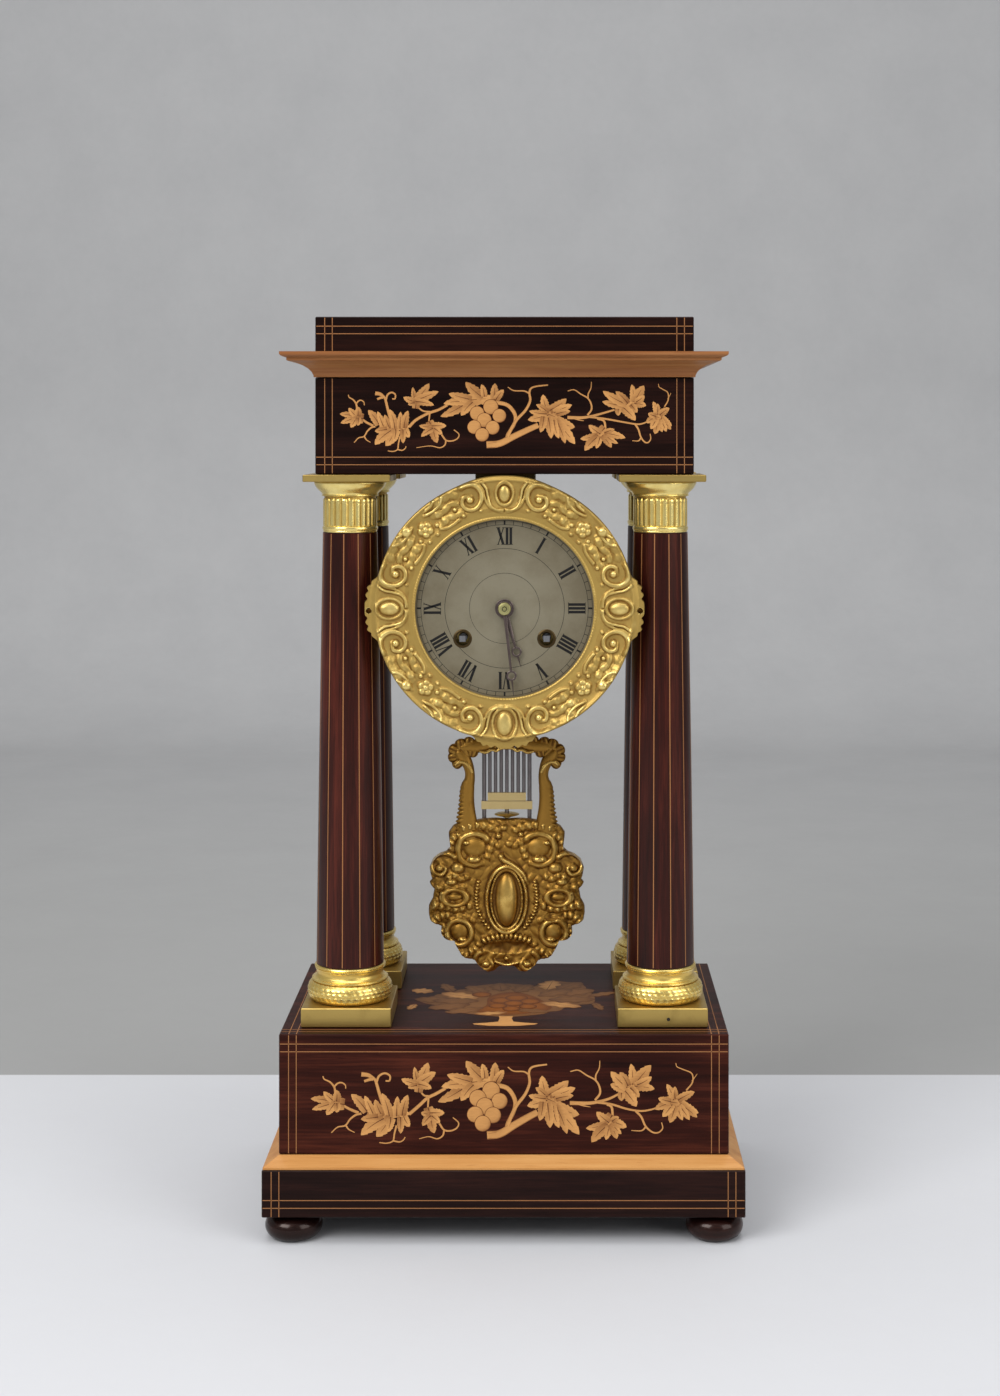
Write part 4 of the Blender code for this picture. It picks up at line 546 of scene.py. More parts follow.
def make_piece(name: str, shell: Shell, finish: Finish, body: str, replaced: Iterable[str] = (),
               mark: str = "relief", smooth: float = 35.0) -> None:
    """Turn a shell into a piece that rides on a body.

    Args:
        name: the piece's name.
        shell: its shape.
        finish: what it is made of.
        body: the body it moves with.
        replaced: the frame's nodes it stands for.
        mark: the name of the number that its points carry.
        smooth: edges sharper than this, in degrees, stay crisp.
    """
    mesh = bpy.data.meshes.new(name)
    mesh.from_pydata(np.vstack(shell.points).tolist(), [], shell.faces)
    mesh.attributes.new(mark, "FLOAT", "POINT").data.foreach_set("value", np.concatenate(shell.marks))
    work = bmesh.new()
    work.from_mesh(mesh)
    bmesh.ops.remove_doubles(work, verts=work.verts, dist=1e-7)
    bmesh.ops.recalc_face_normals(work, faces=work.faces)
    work.to_mesh(mesh)
    work.free()
    mesh.polygons.foreach_set("use_smooth", np.ones(len(mesh.polygons), dtype=bool))
    mesh.set_sharp_from_angle(angle=math.radians(smooth))
    mesh.materials.append(finish.material())
    made = bpy.data.objects.new(name, mesh)
    bpy.context.scene.collection.objects.link(made)
    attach(made, body)
    if replaced:
        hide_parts(*replaced)
    LOG.info("%s: %d faces on %s", name, len(mesh.polygons), body)


def inlay_piece(name: str, shell: Shell, finish: Inlay) -> None:
    """Make a piece of inlay, which rides on the case and carries its tint."""
    make_piece(name, shell, finish, "case", mark="tint")


def dress(finish: Finish, *nodes: str) -> None:
    """Give nodes of the frame a better material."""
    for name in nodes:
        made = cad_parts[name]
        if not made.material_slots:
            made.data.materials.append(finish.material())
        for slot in made.material_slots:
            slot.material = finish.material()
        LOG.info("%s: %s", name, finish.name)


def smooth_line(points: Sequence[Sequence[float]], steps: int = 8) -> np.ndarray:
    """A smooth line through points: each span is a cubic that leaves and arrives along its neighbours' chord."""
    spots = np.asarray(points, dtype=float)
    ends = np.vstack([2.0 * spots[0] - spots[1], spots, 2.0 * spots[-1] - spots[-2]])
    a, b, c, d = (ends[i:len(ends) - 3 + i, None, :] for i in range(4))
    t = np.linspace(0.0, 1.0, steps, endpoint=False)[None, :, None]
    line = 0.5 * (2.0 * b + (c - a) * t + (2.0 * a - 5.0 * b + 4.0 * c - d) * t ** 2
                  + (3.0 * b - a - 3.0 * c + d) * t ** 3)
    return np.vstack([line.reshape(-1, spots.shape[1]), spots[-1:]])


def full_turn(count: int) -> np.ndarray:
    """Angles evenly round a circle, from nought."""
    return np.arange(count) * TAU / count


def turned_grid(profile: np.ndarray, turns: int, centre: Sequence[float], along_y: bool = False,
                swell: Union[float, np.ndarray] = 0.0) -> np.ndarray:
    """Turn a profile of (radius, height) about its axis; swell, rows by turns, is added to the radius."""
    angle = full_turn(turns)
    radius = np.broadcast_to(profile[:, :1] + swell, (len(profile), turns))
    across, out = radius * np.sin(angle), radius * np.cos(angle)
    height = np.broadcast_to(profile[:, 1:2], radius.shape)
    return np.stack([across, height, out] if along_y else [across, -out, height], axis=-1) + np.asarray(centre)


@dataclass
class Panel:
    """A flat veneered face with its strings and marquetry, placed by the photograph's own pixels.

    The face looks along -Y, +X, -X or +Z; across and up are measured on it in metres from its middle
    and its foot.
    """

    name: str
    half_width: float
    foot: float
    top: float
    front: float
    middle_px: float = 0.0
    top_px: float = 0.0
    scale: float = 1.893

    def spots(self, pixels: Sequence[Spot]) -> np.ndarray:
        """Pixels of the photograph as (x, z) on the face."""
        at = np.asarray(pixels, dtype=float)
        return np.stack([(at[:, 0] - self.middle_px) / self.scale * MM,
                         self.top - (at[:, 1] - self.top_px) / self.scale * MM], axis=1)

    def lift(self, flat: np.ndarray, proud: float = PROUD) -> np.ndarray:
        """Put (x, z) places on the face, proud of it by a little."""
        return np.stack([flat[..., 0], np.full(flat.shape[:-1], self.front - proud), flat[..., 1]], axis=-1)

    def bar(self, shell: Shell, low: Spot, high: Spot, mark: float = 0.15) -> None:
        """A straight string between two corners on the face."""
        (x0, z0), (x1, z1) = low, high
        ring = np.array([(x0, z0), (x1, z0), (x1, z1), (x0, z1)])
        shell.tube(np.stack([self.lift(ring, PROUD), self.lift(ring, SUNK)]), mark)

    def ribbon(self, shell: Shell, line: np.ndarray, widths: np.ndarray, mark: Union[float, np.ndarray] = 0.2,
               proud: float = PROUD, shares: Sequence[float] = (-1.0, 1.0)) -> None:
        """A flat band along a line, as wide as the widths say, with closed sides.

        Args:
            shell: where it goes.
            line: the middle of the band on the face.
            widths: its width at each point of the line.
            mark: the tint, one for all or one for each point and share.
            proud: how far it stands out of the face.
            shares: the places across its half width that have points.
        """
        ahead = np.gradient(line, axis=0)
        ahead /= np.linalg.norm(ahead, axis=1)[:, None] + 1e-12
        side = (np.stack([ahead[:, 1], -ahead[:, 0]], axis=1) * widths[:, None] / 2.0)[:, None]
        top = self.lift(line[:, None] + side * np.array(shares)[None, :, None], proud)
        under = self.lift(line[:, None] + side * np.array([1.0, -1.0])[None, :, None], SUNK)
        shade = np.broadcast_to(mark, top.shape[:2])
        shell.tube(np.concatenate([top, under], axis=1), np.concatenate([shade, shade[:, -1:], shade[:, :1]], axis=1))

    def disc(self, shell: Shell, outline: np.ndarray, centre: np.ndarray, mark: np.ndarray, rows: Sequence[float],
             proud: float = PROUD) -> None:
        """A flat plate: an outline shrunk row by row towards its centre, closed underneath.

        Args:
            shell: where it goes.
            outline: points round the plate.
            centre: the point that the rows shrink to.
            mark: the tint, rows by outline points.
            rows: the share of the outline's size at each row, from the middle outwards.
            proud: how far it stands out of the face.
        """
        shares = np.asarray(rows)[:, None, None]
        flat = centre + (outline - centre)[None] * shares
        top = self.lift(flat, proud)
        under = self.lift(np.stack([outline, np.broadcast_to(centre, outline.shape)]), SUNK)
        shell.net(np.concatenate([top, under]), np.concatenate([mark, mark[-1:], mark[-1:]]))


class TopPanel(Panel):
    """A face that looks up: the second measure runs back along +Y instead of up."""

    def lift(self, flat: np.ndarray, proud: float = PROUD) -> np.ndarray:
        """Put (x, y) places on the face, proud of it by a little."""
        return np.stack([flat[..., 0], flat[..., 1], np.full(flat.shape[:-1], self.front + proud)], axis=-1)


class SidePanel(Panel):
    """A face that looks along X: the first measure runs along Y; the sign of the front gives its side."""

    def lift(self, flat: np.ndarray, proud: float = PROUD) -> np.ndarray:
        """Put (y, z) places on the face, proud of it by a little."""
        out = self.front + math.copysign(1.0, self.front) * proud
        return np.stack([np.full(flat.shape[:-1], out), flat[..., 0], flat[..., 1]], axis=-1)


VINE_SHIFT = ((311, 381, 419, 433, 471, 553, 607, 632, 677, 699), (347, 396, 423, 443, 477, 561, 604, 640, 666, 679))
VINE_DROP = ((1062, 1145), (384, 454))
VINE_LOBES = (
    (344.9, 1105.9, 325.3, 1103.8, 5.9), (367.3, 1114.4, 410.8, 1115.8, 6.2),
    (418.7, 1093.9, 418.1, 1075.1, 4.2), (428.4, 1108.8, 432.6, 1124.2, 4.8),
    (461.4, 1086.3, 496.4, 1082.8, 6.7), (333.7, 1103.8, 310.9, 1100.3, 3.6),
    (333.7, 1104.5, 312.3, 1111.1, 3.4), (335.1, 1103.1, 323.9, 1093.0, 3.4),
    (336.8, 1103.1, 336.8, 1091.6, 3.9), (335.1, 1104.5, 326.7, 1116.5, 3.9),
    (337.2, 1105.2, 336.8, 1114.1, 3.4), (367.3, 1113.0, 351.4, 1095.8, 4.8),
    (374.4, 1117.2, 365.0, 1097.2, 3.6), (382.8, 1117.9, 375.5, 1101.0, 3.9),
    (389.8, 1118.6, 382.1, 1094.7, 4.2), (396.8, 1117.9, 397.8, 1097.8, 3.4),
    (402.4, 1117.2, 408.3, 1096.4, 4.2), (403.8, 1117.9, 410.1, 1128.1, 3.9),
    (401.0, 1118.6, 401.0, 1135.1, 3.4), (391.2, 1118.6, 376.5, 1138.2, 5.9),
    (384.2, 1120.0, 361.2, 1136.8, 5.6), (378.6, 1118.6, 361.2, 1120.7, 3.9),
    (391.2, 1120.0, 387.7, 1133.7, 3.9), (418.6, 1083.5, 428.4, 1064.1, 4.8),
    (417.6, 1084.9, 414.8, 1068.5, 2.8), (417.9, 1085.6, 401.7, 1080.4, 3.6),
    (417.6, 1087.0, 408.3, 1089.4, 2.8), (418.6, 1084.9, 436.1, 1073.7, 4.5),
    (418.6, 1085.6, 431.9, 1090.0, 3.6), (431.2, 1115.8, 434.7, 1134.7, 4.8),
    (430.5, 1114.4, 444.9, 1114.4, 3.9), (430.5, 1115.8, 421.4, 1114.1, 3.1),
    (431.2, 1117.2, 422.8, 1127.3, 3.4), (431.9, 1117.2, 440.3, 1124.5, 3.4),
    (468.4, 1086.3, 438.2, 1103.4, 5.1), (468.4, 1085.6, 441.7, 1088.4, 4.5),
    (472.6, 1083.5, 447.3, 1076.2, 4.8), (483.8, 1080.7, 466.3, 1062.4, 5.6),
    (485.2, 1080.0, 482.4, 1065.3, 3.6), (495.0, 1083.5, 495.7, 1063.9, 4.5),
    (496.4, 1083.5, 504.3, 1071.6, 3.9), (474.0, 1086.3, 461.4, 1102.4, 5.1),
    (540.7, 1097.5, 561.7, 1106.6, 7.0), (620.9, 1094.7, 636.1, 1084.9, 5.6),
    (612.7, 1116.5, 607.3, 1129.8, 5.3), (667.0, 1103.1, 682.4, 1105.2, 5.6),
    (546.3, 1096.1, 542.5, 1077.2, 4.5), (547.7, 1098.9, 535.8, 1089.1, 3.4),
    (547.7, 1101.7, 527.6, 1107.3, 4.8), (546.3, 1100.3, 529.0, 1096.8, 3.6),
    (549.1, 1096.1, 568.8, 1082.1, 5.1), (553.3, 1098.9, 575.8, 1089.4, 4.5),
    (556.1, 1100.3, 573.9, 1097.1, 3.6), (556.1, 1107.3, 579.6, 1116.0, 5.6),
    (556.1, 1108.8, 579.7, 1136.1, 5.9), (556.1, 1107.3, 567.3, 1135.4, 4.5),
    (553.3, 1107.3, 559.6, 1129.4, 3.9), (547.7, 1104.5, 550.5, 1129.4, 4.8),
    (543.5, 1103.1, 540.0, 1122.1, 4.2), (632.6, 1086.3, 631.2, 1065.3, 3.9),
    (634.7, 1086.3, 651.5, 1066.7, 5.6), (634.7, 1087.7, 655.0, 1090.5, 4.2),
    (637.5, 1086.3, 652.0, 1078.2, 3.9), (630.5, 1089.1, 639.6, 1098.7, 3.9),
    (624.9, 1091.9, 636.8, 1108.1, 5.1), (622.1, 1093.3, 622.1, 1102.4, 3.4),
    (624.9, 1090.5, 610.8, 1085.6, 4.2), (627.7, 1089.1, 611.1, 1073.0, 4.8),
    (628.4, 1087.7, 620.0, 1073.7, 3.9), (609.4, 1124.2, 596.8, 1113.4, 4.2),
    (608.0, 1125.6, 586.3, 1129.8, 3.9), (608.0, 1127.0, 591.9, 1143.8, 5.1),
    (609.4, 1127.0, 606.2, 1141.3, 3.4), (610.8, 1125.6, 617.2, 1140.3, 3.9),
    (612.2, 1124.2, 621.8, 1135.4, 3.1), (612.2, 1122.8, 627.0, 1128.7, 4.2),
    (612.2, 1122.8, 619.3, 1118.6, 3.1), (674.0, 1101.7, 667.0, 1085.6, 3.4),
    (675.4, 1100.3, 675.4, 1088.0, 3.1), (678.2, 1101.7, 695.0, 1093.3, 3.9),
    (681.0, 1104.5, 699.0, 1114.4, 4.2), (681.0, 1105.9, 697.6, 1118.9, 3.6),
    (679.6, 1107.3, 689.8, 1121.4, 3.4), (678.2, 1107.3, 683.1, 1121.7, 3.1),
    (675.4, 1107.3, 670.1, 1124.2, 4.5), (672.6, 1105.9, 662.8, 1118.2, 3.9),
    (671.2, 1104.5, 655.5, 1110.9, 3.9), (671.2, 1103.1, 658.6, 1099.6, 3.4))
VINE_GRAPES = (
    (491.5, 1091.9, 7.3), (478.2, 1099.6, 7.0), (499.9, 1102.4, 6.5), (485.2, 1107.6, 7.0),
    (475.4, 1115.8, 6.6), (493.3, 1116.5, 6.6), (483.1, 1124.9, 6.5))
VINE_STEMS = (
    (3.6, 3.1, ((409.4, 1115.8), (419.3, 1107.3), (427.7, 1099.6), (436.1, 1095.4), (445.9, 1089.8))),
    (3.1, 2.5, ((358.9, 1114.4), (349.1, 1110.2), (342.1, 1105.9))),
    (2.5, 1.1, ((335.8, 1094.7), (334.4, 1088.4), (330.2, 1083.5), (324.6, 1080.7), (323.2, 1077.6))),
    (2.0, 1.1, ((334.4, 1088.4), (337.9, 1084.9), (342.1, 1084.2), (345.6, 1086.6), (346.0, 1090.1))),
    (2.5, 1.1, ((361.7, 1115.1), (356.1, 1116.5), (350.5, 1120.7), (345.6, 1127.0), (337.9, 1128.7), (331.6, 1134.3))),
    (2.0, 0.8, ((346.0, 1126.7), (349.1, 1130.9), (355.0, 1134.0))),
    (3.4, 2.8, ((384.2, 1108.8), (380.0, 1096.1), (377.2, 1086.3), (375.8, 1082.1), (373.0, 1078.6))),
    (3.6, 4.8, ((374.4, 1080.7), (368.8, 1076.8), (361.7, 1075.8))),
    (3.4, 2.8, ((373.0, 1080.7), (370.2, 1081.0), (364.5, 1082.8))),
    (2.5, 1.7, ((376.9, 1083.5), (379.3, 1077.6), (384.9, 1074.8), (390.1, 1077.2), (389.8, 1082.1), (385.9, 1082.4))),
    (2.0, 1.1, ((396.8, 1127.0), (394.7, 1135.4), (393.3, 1142.4), (387.0, 1144.7), (379.7, 1144.1))),
    (1.7, 1.1, ((393.7, 1142.4), (399.6, 1143.4), (403.5, 1141.7), (405.5, 1138.6))),
    (2.2, 1.7, ((429.1, 1097.8), (424.2, 1096.8), (420.4, 1092.2))),
    (2.2, 1.7, ((428.8, 1099.6), (428.2, 1108.8))),
    (2.2, 1.1, ((439.6, 1124.9), (444.5, 1131.5), (451.5, 1132.2), (457.4, 1129.2), (458.8, 1124.2), (453.2, 1119.0))),
    (2.0, 0.8, ((444.5, 1131.2), (443.1, 1137.1), (437.5, 1140.3), (429.1, 1138.2), (419.5, 1140.3))),
    (4.8, 3.9, ((495.8, 1086.3), (507.0, 1089.4), (513.3, 1096.8), (515.7, 1104.8), (514.0, 1113.0), (508.4, 1124.2),
                (507.3, 1128.4))),
    (8.4, 6.5, ((487.4, 1136.8), (500.0, 1135.4), (514.0, 1127.0), (528.1, 1118.9), (537.9, 1113.7))),
    (5.1, 7.0, ((488.8, 1137.5), (497.2, 1136.8))),
    (4.2, 1.7, ((508.1, 1127.0), (511.2, 1118.6), (516.8, 1107.3), (525.3, 1096.1), (529.9, 1084.9), (529.2, 1075.1),
                (531.1, 1069.7), (536.8, 1067.4), (547.4, 1066.0))),
    (2.0, 1.1, ((528.9, 1075.8), (523.9, 1073.1), (514.0, 1072.6), (508.1, 1068.5))),
    (4.2, 2.2, ((570.2, 1104.5), (587.0, 1104.8), (598.2, 1103.4), (609.4, 1100.3), (619.3, 1095.4))),
    (2.5, 1.7, ((596.8, 1103.8), (612.2, 1105.9), (626.3, 1110.2), (640.3, 1112.5), (651.5, 1111.1), (658.6, 1108.5))),
    (2.2, 0.6, ((578.6, 1105.4), (584.2, 1107.3), (590.9, 1108.5))),
    (2.5, 1.1, ((595.4, 1101.7), (600.3, 1095.0), (599.6, 1087.7), (595.4, 1081.4), (587.0, 1076.8), (578.6, 1071.7),
                (570.6, 1073.1))),
    (2.0, 0.8, ((596.0, 1082.1), (596.3, 1076.5), (599.6, 1069.7), (600.2, 1062.2))),
    (2.8, 2.5, ((607.3, 1105.7), (612.0, 1108.8), (613.1, 1118.6))),
    (2.5, 1.1, ((636.1, 1112.5), (641.7, 1118.6), (645.9, 1127.7), (652.7, 1133.6), (658.8, 1134.0), (663.0, 1129.8),
                (661.9, 1123.9))),
    (2.0, 0.8, ((646.2, 1128.4), (641.7, 1132.2), (631.6, 1132.0))),
    (1.7, 0.8, ((686.6, 1091.9), (692.8, 1083.8), (692.2, 1075.1), (683.8, 1071.1), (677.5, 1068.3), (676.2, 1064.6))),
    (1.1, 0.6, ((692.2, 1082.8), (697.6, 1075.5))))


@dataclass
class Vine:
    """A vine laid into a panel: pointed lobes that make its leaves, grapes, a trunk and its tendrils.

    The tables hold the photograph's pixels on the base; another panel shifts them by steps of its own.
    """

    panel: Panel
    across: tuple[Sequence[float], Sequence[float]] = ((0.0, 2000.0), (0.0, 2000.0))
    down: tuple[Sequence[float], Sequence[float]] = ((0.0, 2000.0), (0.0, 2000.0))
    size: float = 1.0
    scorch: float = 0.0
    layer: float = 0.002 * MM
    vein: float = 0.52 * MM
    teeth: float = 5.0
    grape_rows: tuple[float, ...] = (0.0, 0.6, 0.88, 1.0)

    def moved(self, points: Sequence[Spot]) -> np.ndarray:
        """Places of the tables, shifted for this panel, on its face."""
        at = np.asarray(points, dtype=float)
        return self.panel.spots(np.stack([np.interp(at[:, 0], *self.across), np.interp(at[:, 1], *self.down)], axis=1))

    def build(self) -> None:
        """Lay the stems first, then the lobes one over the other, and the grapes over them."""
        pale, veins = Shell(), Shell()
        unit = self.size / self.panel.scale * MM
        for place, (thick, thin, points) in enumerate(VINE_STEMS):
            line = smooth_line(self.moved(points), 6)
            shade = np.tile([0.7, 0.22, 0.12, 0.8], (len(line), 1))
            self.panel.ribbon(pale, line, np.linspace(thick, thin, len(line)) * unit, shade,
                              PROUD * 0.8 + place * self.layer / 4.0, (-1.0, -0.62, 0.62, 1.0))
        for place, (x0, y0, x1, y1, half) in enumerate(VINE_LOBES):
            self._lobe(pale, veins, self.moved([(x0, y0), (x1, y1)]), half * unit, place)
        self._bunch(pale, veins, unit)
        inlay_piece(f"{self.panel.name}_vine", pale, MAPLE_INLAY)
        inlay_piece(f"{self.panel.name}_veins", veins, VEIN_INLAY)

    def _lobe(self, pale: Shell, veins: Shell, ends: np.ndarray, half: float, place: int) -> None:
        """One lobe from its foot to its point: as wide as (0.45 + s)^0.8 times (1 - s)^0.72, with saw teeth.

        Args:
            pale: the shell of the leaves.
            veins: the shell of the dark veins.
            ends: its foot and its point on the face.
            half: its greatest half width.
            place: its number, which sets its level.
        """
        share = np.linspace(0.0, 1.0, 22)
        along_it = ends[1] - ends[0]
        beside = np.array([-along_it[1], along_it[0]])
        bend = 0.05 * math.sin(place * 2.1)
        line = ends[0] + share[:, None] * along_it + (bend * share * (1.0 - share) * 4.0)[:, None] * beside
        saw = (share * self.teeth) % 1.0 - 0.5
        width = 3.5 * half * (0.45 + share) ** 0.8 * (1.0 - share) ** 0.72 * (1.0 - 0.28 * saw * (share > 0.25))
        level = PROUD + place * self.layer
        inside = 0.56 + 0.12 * np.cos(place * 2.4) - 0.56 * share ** 0.8
        rim = inside * 0.5 + (0.25 + self.scorch) * np.clip((share - 0.5) * 3.0, 0.0, 1.0)
        shade = np.stack([rim, inside * 0.6, inside + 0.08, inside + 0.16, rim + 0.12], axis=1)
        self.panel.ribbon(pale, line, width, shade, level, (-1.0, -0.82, 0.0, 0.82, 1.0))
        spine = line[:16]
        self.panel.ribbon(veins, spine, np.linspace(self.vein * self.size, self.vein * 0.3, len(spine)), 0.3,
                          level + self.layer / 2.0)

    def _bunch(self, pale: Shell, veins: Shell, unit: float) -> None:
        """Lay each grape as a pale disc, scorched on its lower right, on a slightly larger dark one."""
        turn = full_turn(36)
        ring = np.stack([np.sin(turn), np.cos(turn)], axis=1)
        shade = 0.2 + np.array(self.grape_rows)[:, None] ** 5 * np.clip(0.1 + 0.5 * np.sin(turn - 0.9), 0.0, 1.0)
        above = PROUD + len(VINE_LOBES) * self.layer
        for place, (x, y, size) in enumerate(VINE_GRAPES):
            middle = self.moved([(x, y)])
            for step, shell, rim, marks in ((1, veins, 1.75, np.full_like(shade, 0.1)), (2, pale, 1.2, shade)):
                self.panel.disc(shell, middle + ring * (size + rim) * unit, middle, marks, self.grape_rows,
                                above + (2 * place + step) * self.layer)


@dataclass
class Case:
    """Feet, plinth, base, entablature and their strings and marquetry."""

    foot_radius: float = 15.0 * MM
    foot_height: float = 14.0 * MM
    foot_place: Spot = (110.0 * MM, 67.0 * MM)
    string_width: float = 0.4 * MM
    string_end: float = 0.5 * MM
    insets: Spot = (5.0 * MM, 9.0 * MM)
    frieze: Panel = field(default_factory=lambda: Panel("frieze", 0.1, 0.3979, 0.4489, -0.057, 511.8, 380.0, 1.893))
    base: Panel = field(default_factory=lambda: Panel("base", 0.117, 0.0445, 0.1068, -0.074, 504.2, 1036.0, 1.923))
    attic: Panel = field(default_factory=lambda: Panel("attic", 0.1, 0.4625, 0.4811, -0.057))
    plinth: Panel = field(default_factory=lambda: Panel("plinth", 0.125, 0.0143, 0.0386, -0.082))
    top: TopPanel = field(default_factory=lambda: TopPanel("base_top", 0.117, -0.074, 0.074, 0.1068))

    def build(self) -> None:
        """Dress the veneered boxes and make what is laid into them."""
        dress(DARK_ROSEWOOD, "base_box")
        # The frieze and the attic take the darker rosewood, painted shade on the top of the case.
        dress(SHADED_TOP_ROSEWOOD, "frieze_box", "attic_block")
        dress(PLINTH_ROSEWOOD, "plinth")
        dress(CHERRY, "cornice")
        dress(BEVEL_CHERRY, "plinth_moulding")
        self._feet()
        self._strings()
        Vine(self.frieze, VINE_SHIFT, VINE_DROP, 0.85, scorch=0.3).build()
        Vine(self.base).build()
        Bouquet(self.top).build()

    def _feet(self) -> None:
        """Four bun feet: a half-round bulge on a flat sole with a short neck."""
        height = self.foot_height * 0.9
        turn = np.radians(np.linspace(62.0, -90.0, 26))
        bulge = self.foot_radius * 0.42
        side = np.stack([self.foot_radius * 0.58 + bulge * np.cos(turn), height / 2.0 * (1.0 + np.sin(turn))], axis=1)
        neck = self.foot_radius * 0.6
        profile = np.vstack([[(0.0, self.foot_height), (neck, self.foot_height), (neck, height)], side, [(0.0, 0.0)]])
        for corner, (sx, sy) in CORNERS.items():
            shell = Shell().net(turned_grid(profile, 72, (sx * self.foot_place[0], sy * self.foot_place[1], 0.0)))
            make_piece(f"bun_{corner}", shell, FOOT_ROSEWOOD, "case", [f"foot_{corner}"])

    def _strings(self) -> None:
        """Double strings along the edges of the fronts, the sides and the top of the base."""
        shell = Shell()
        for panel, lines in ((self.attic, "top"), (self.frieze, "foot"), (self.base, "top"), (self.plinth, "foot")):
            self._frame(shell, panel, lines)
            depth = abs(panel.front)
            for side in (-1.0, 1.0):
                flank = SidePanel(panel.name, depth, panel.foot, panel.top, side * panel.half_width)
                self._frame(shell, flank, lines)
        self._frame(shell, self.top, "foot")
        inlay_piece("case_strings", shell, STRING_INLAY)

    def _frame(self, shell: Shell, panel: Panel, lines: str) -> None:
        """Two strings up each side of a panel and two along its top or foot, right out to its edges."""
        edge, half = self.string_end, self.string_width / 2.0
        for inset in self.insets:
            for side in (-1.0, 1.0):
                x = side * (panel.half_width - inset)
                panel.bar(shell, (x - half, panel.foot + edge), (x + half, panel.top - edge))
            z = panel.top - inset if lines == "top" else panel.foot + inset
            panel.bar(shell, (edge - panel.half_width, z - half), (panel.half_width - edge, z + half))


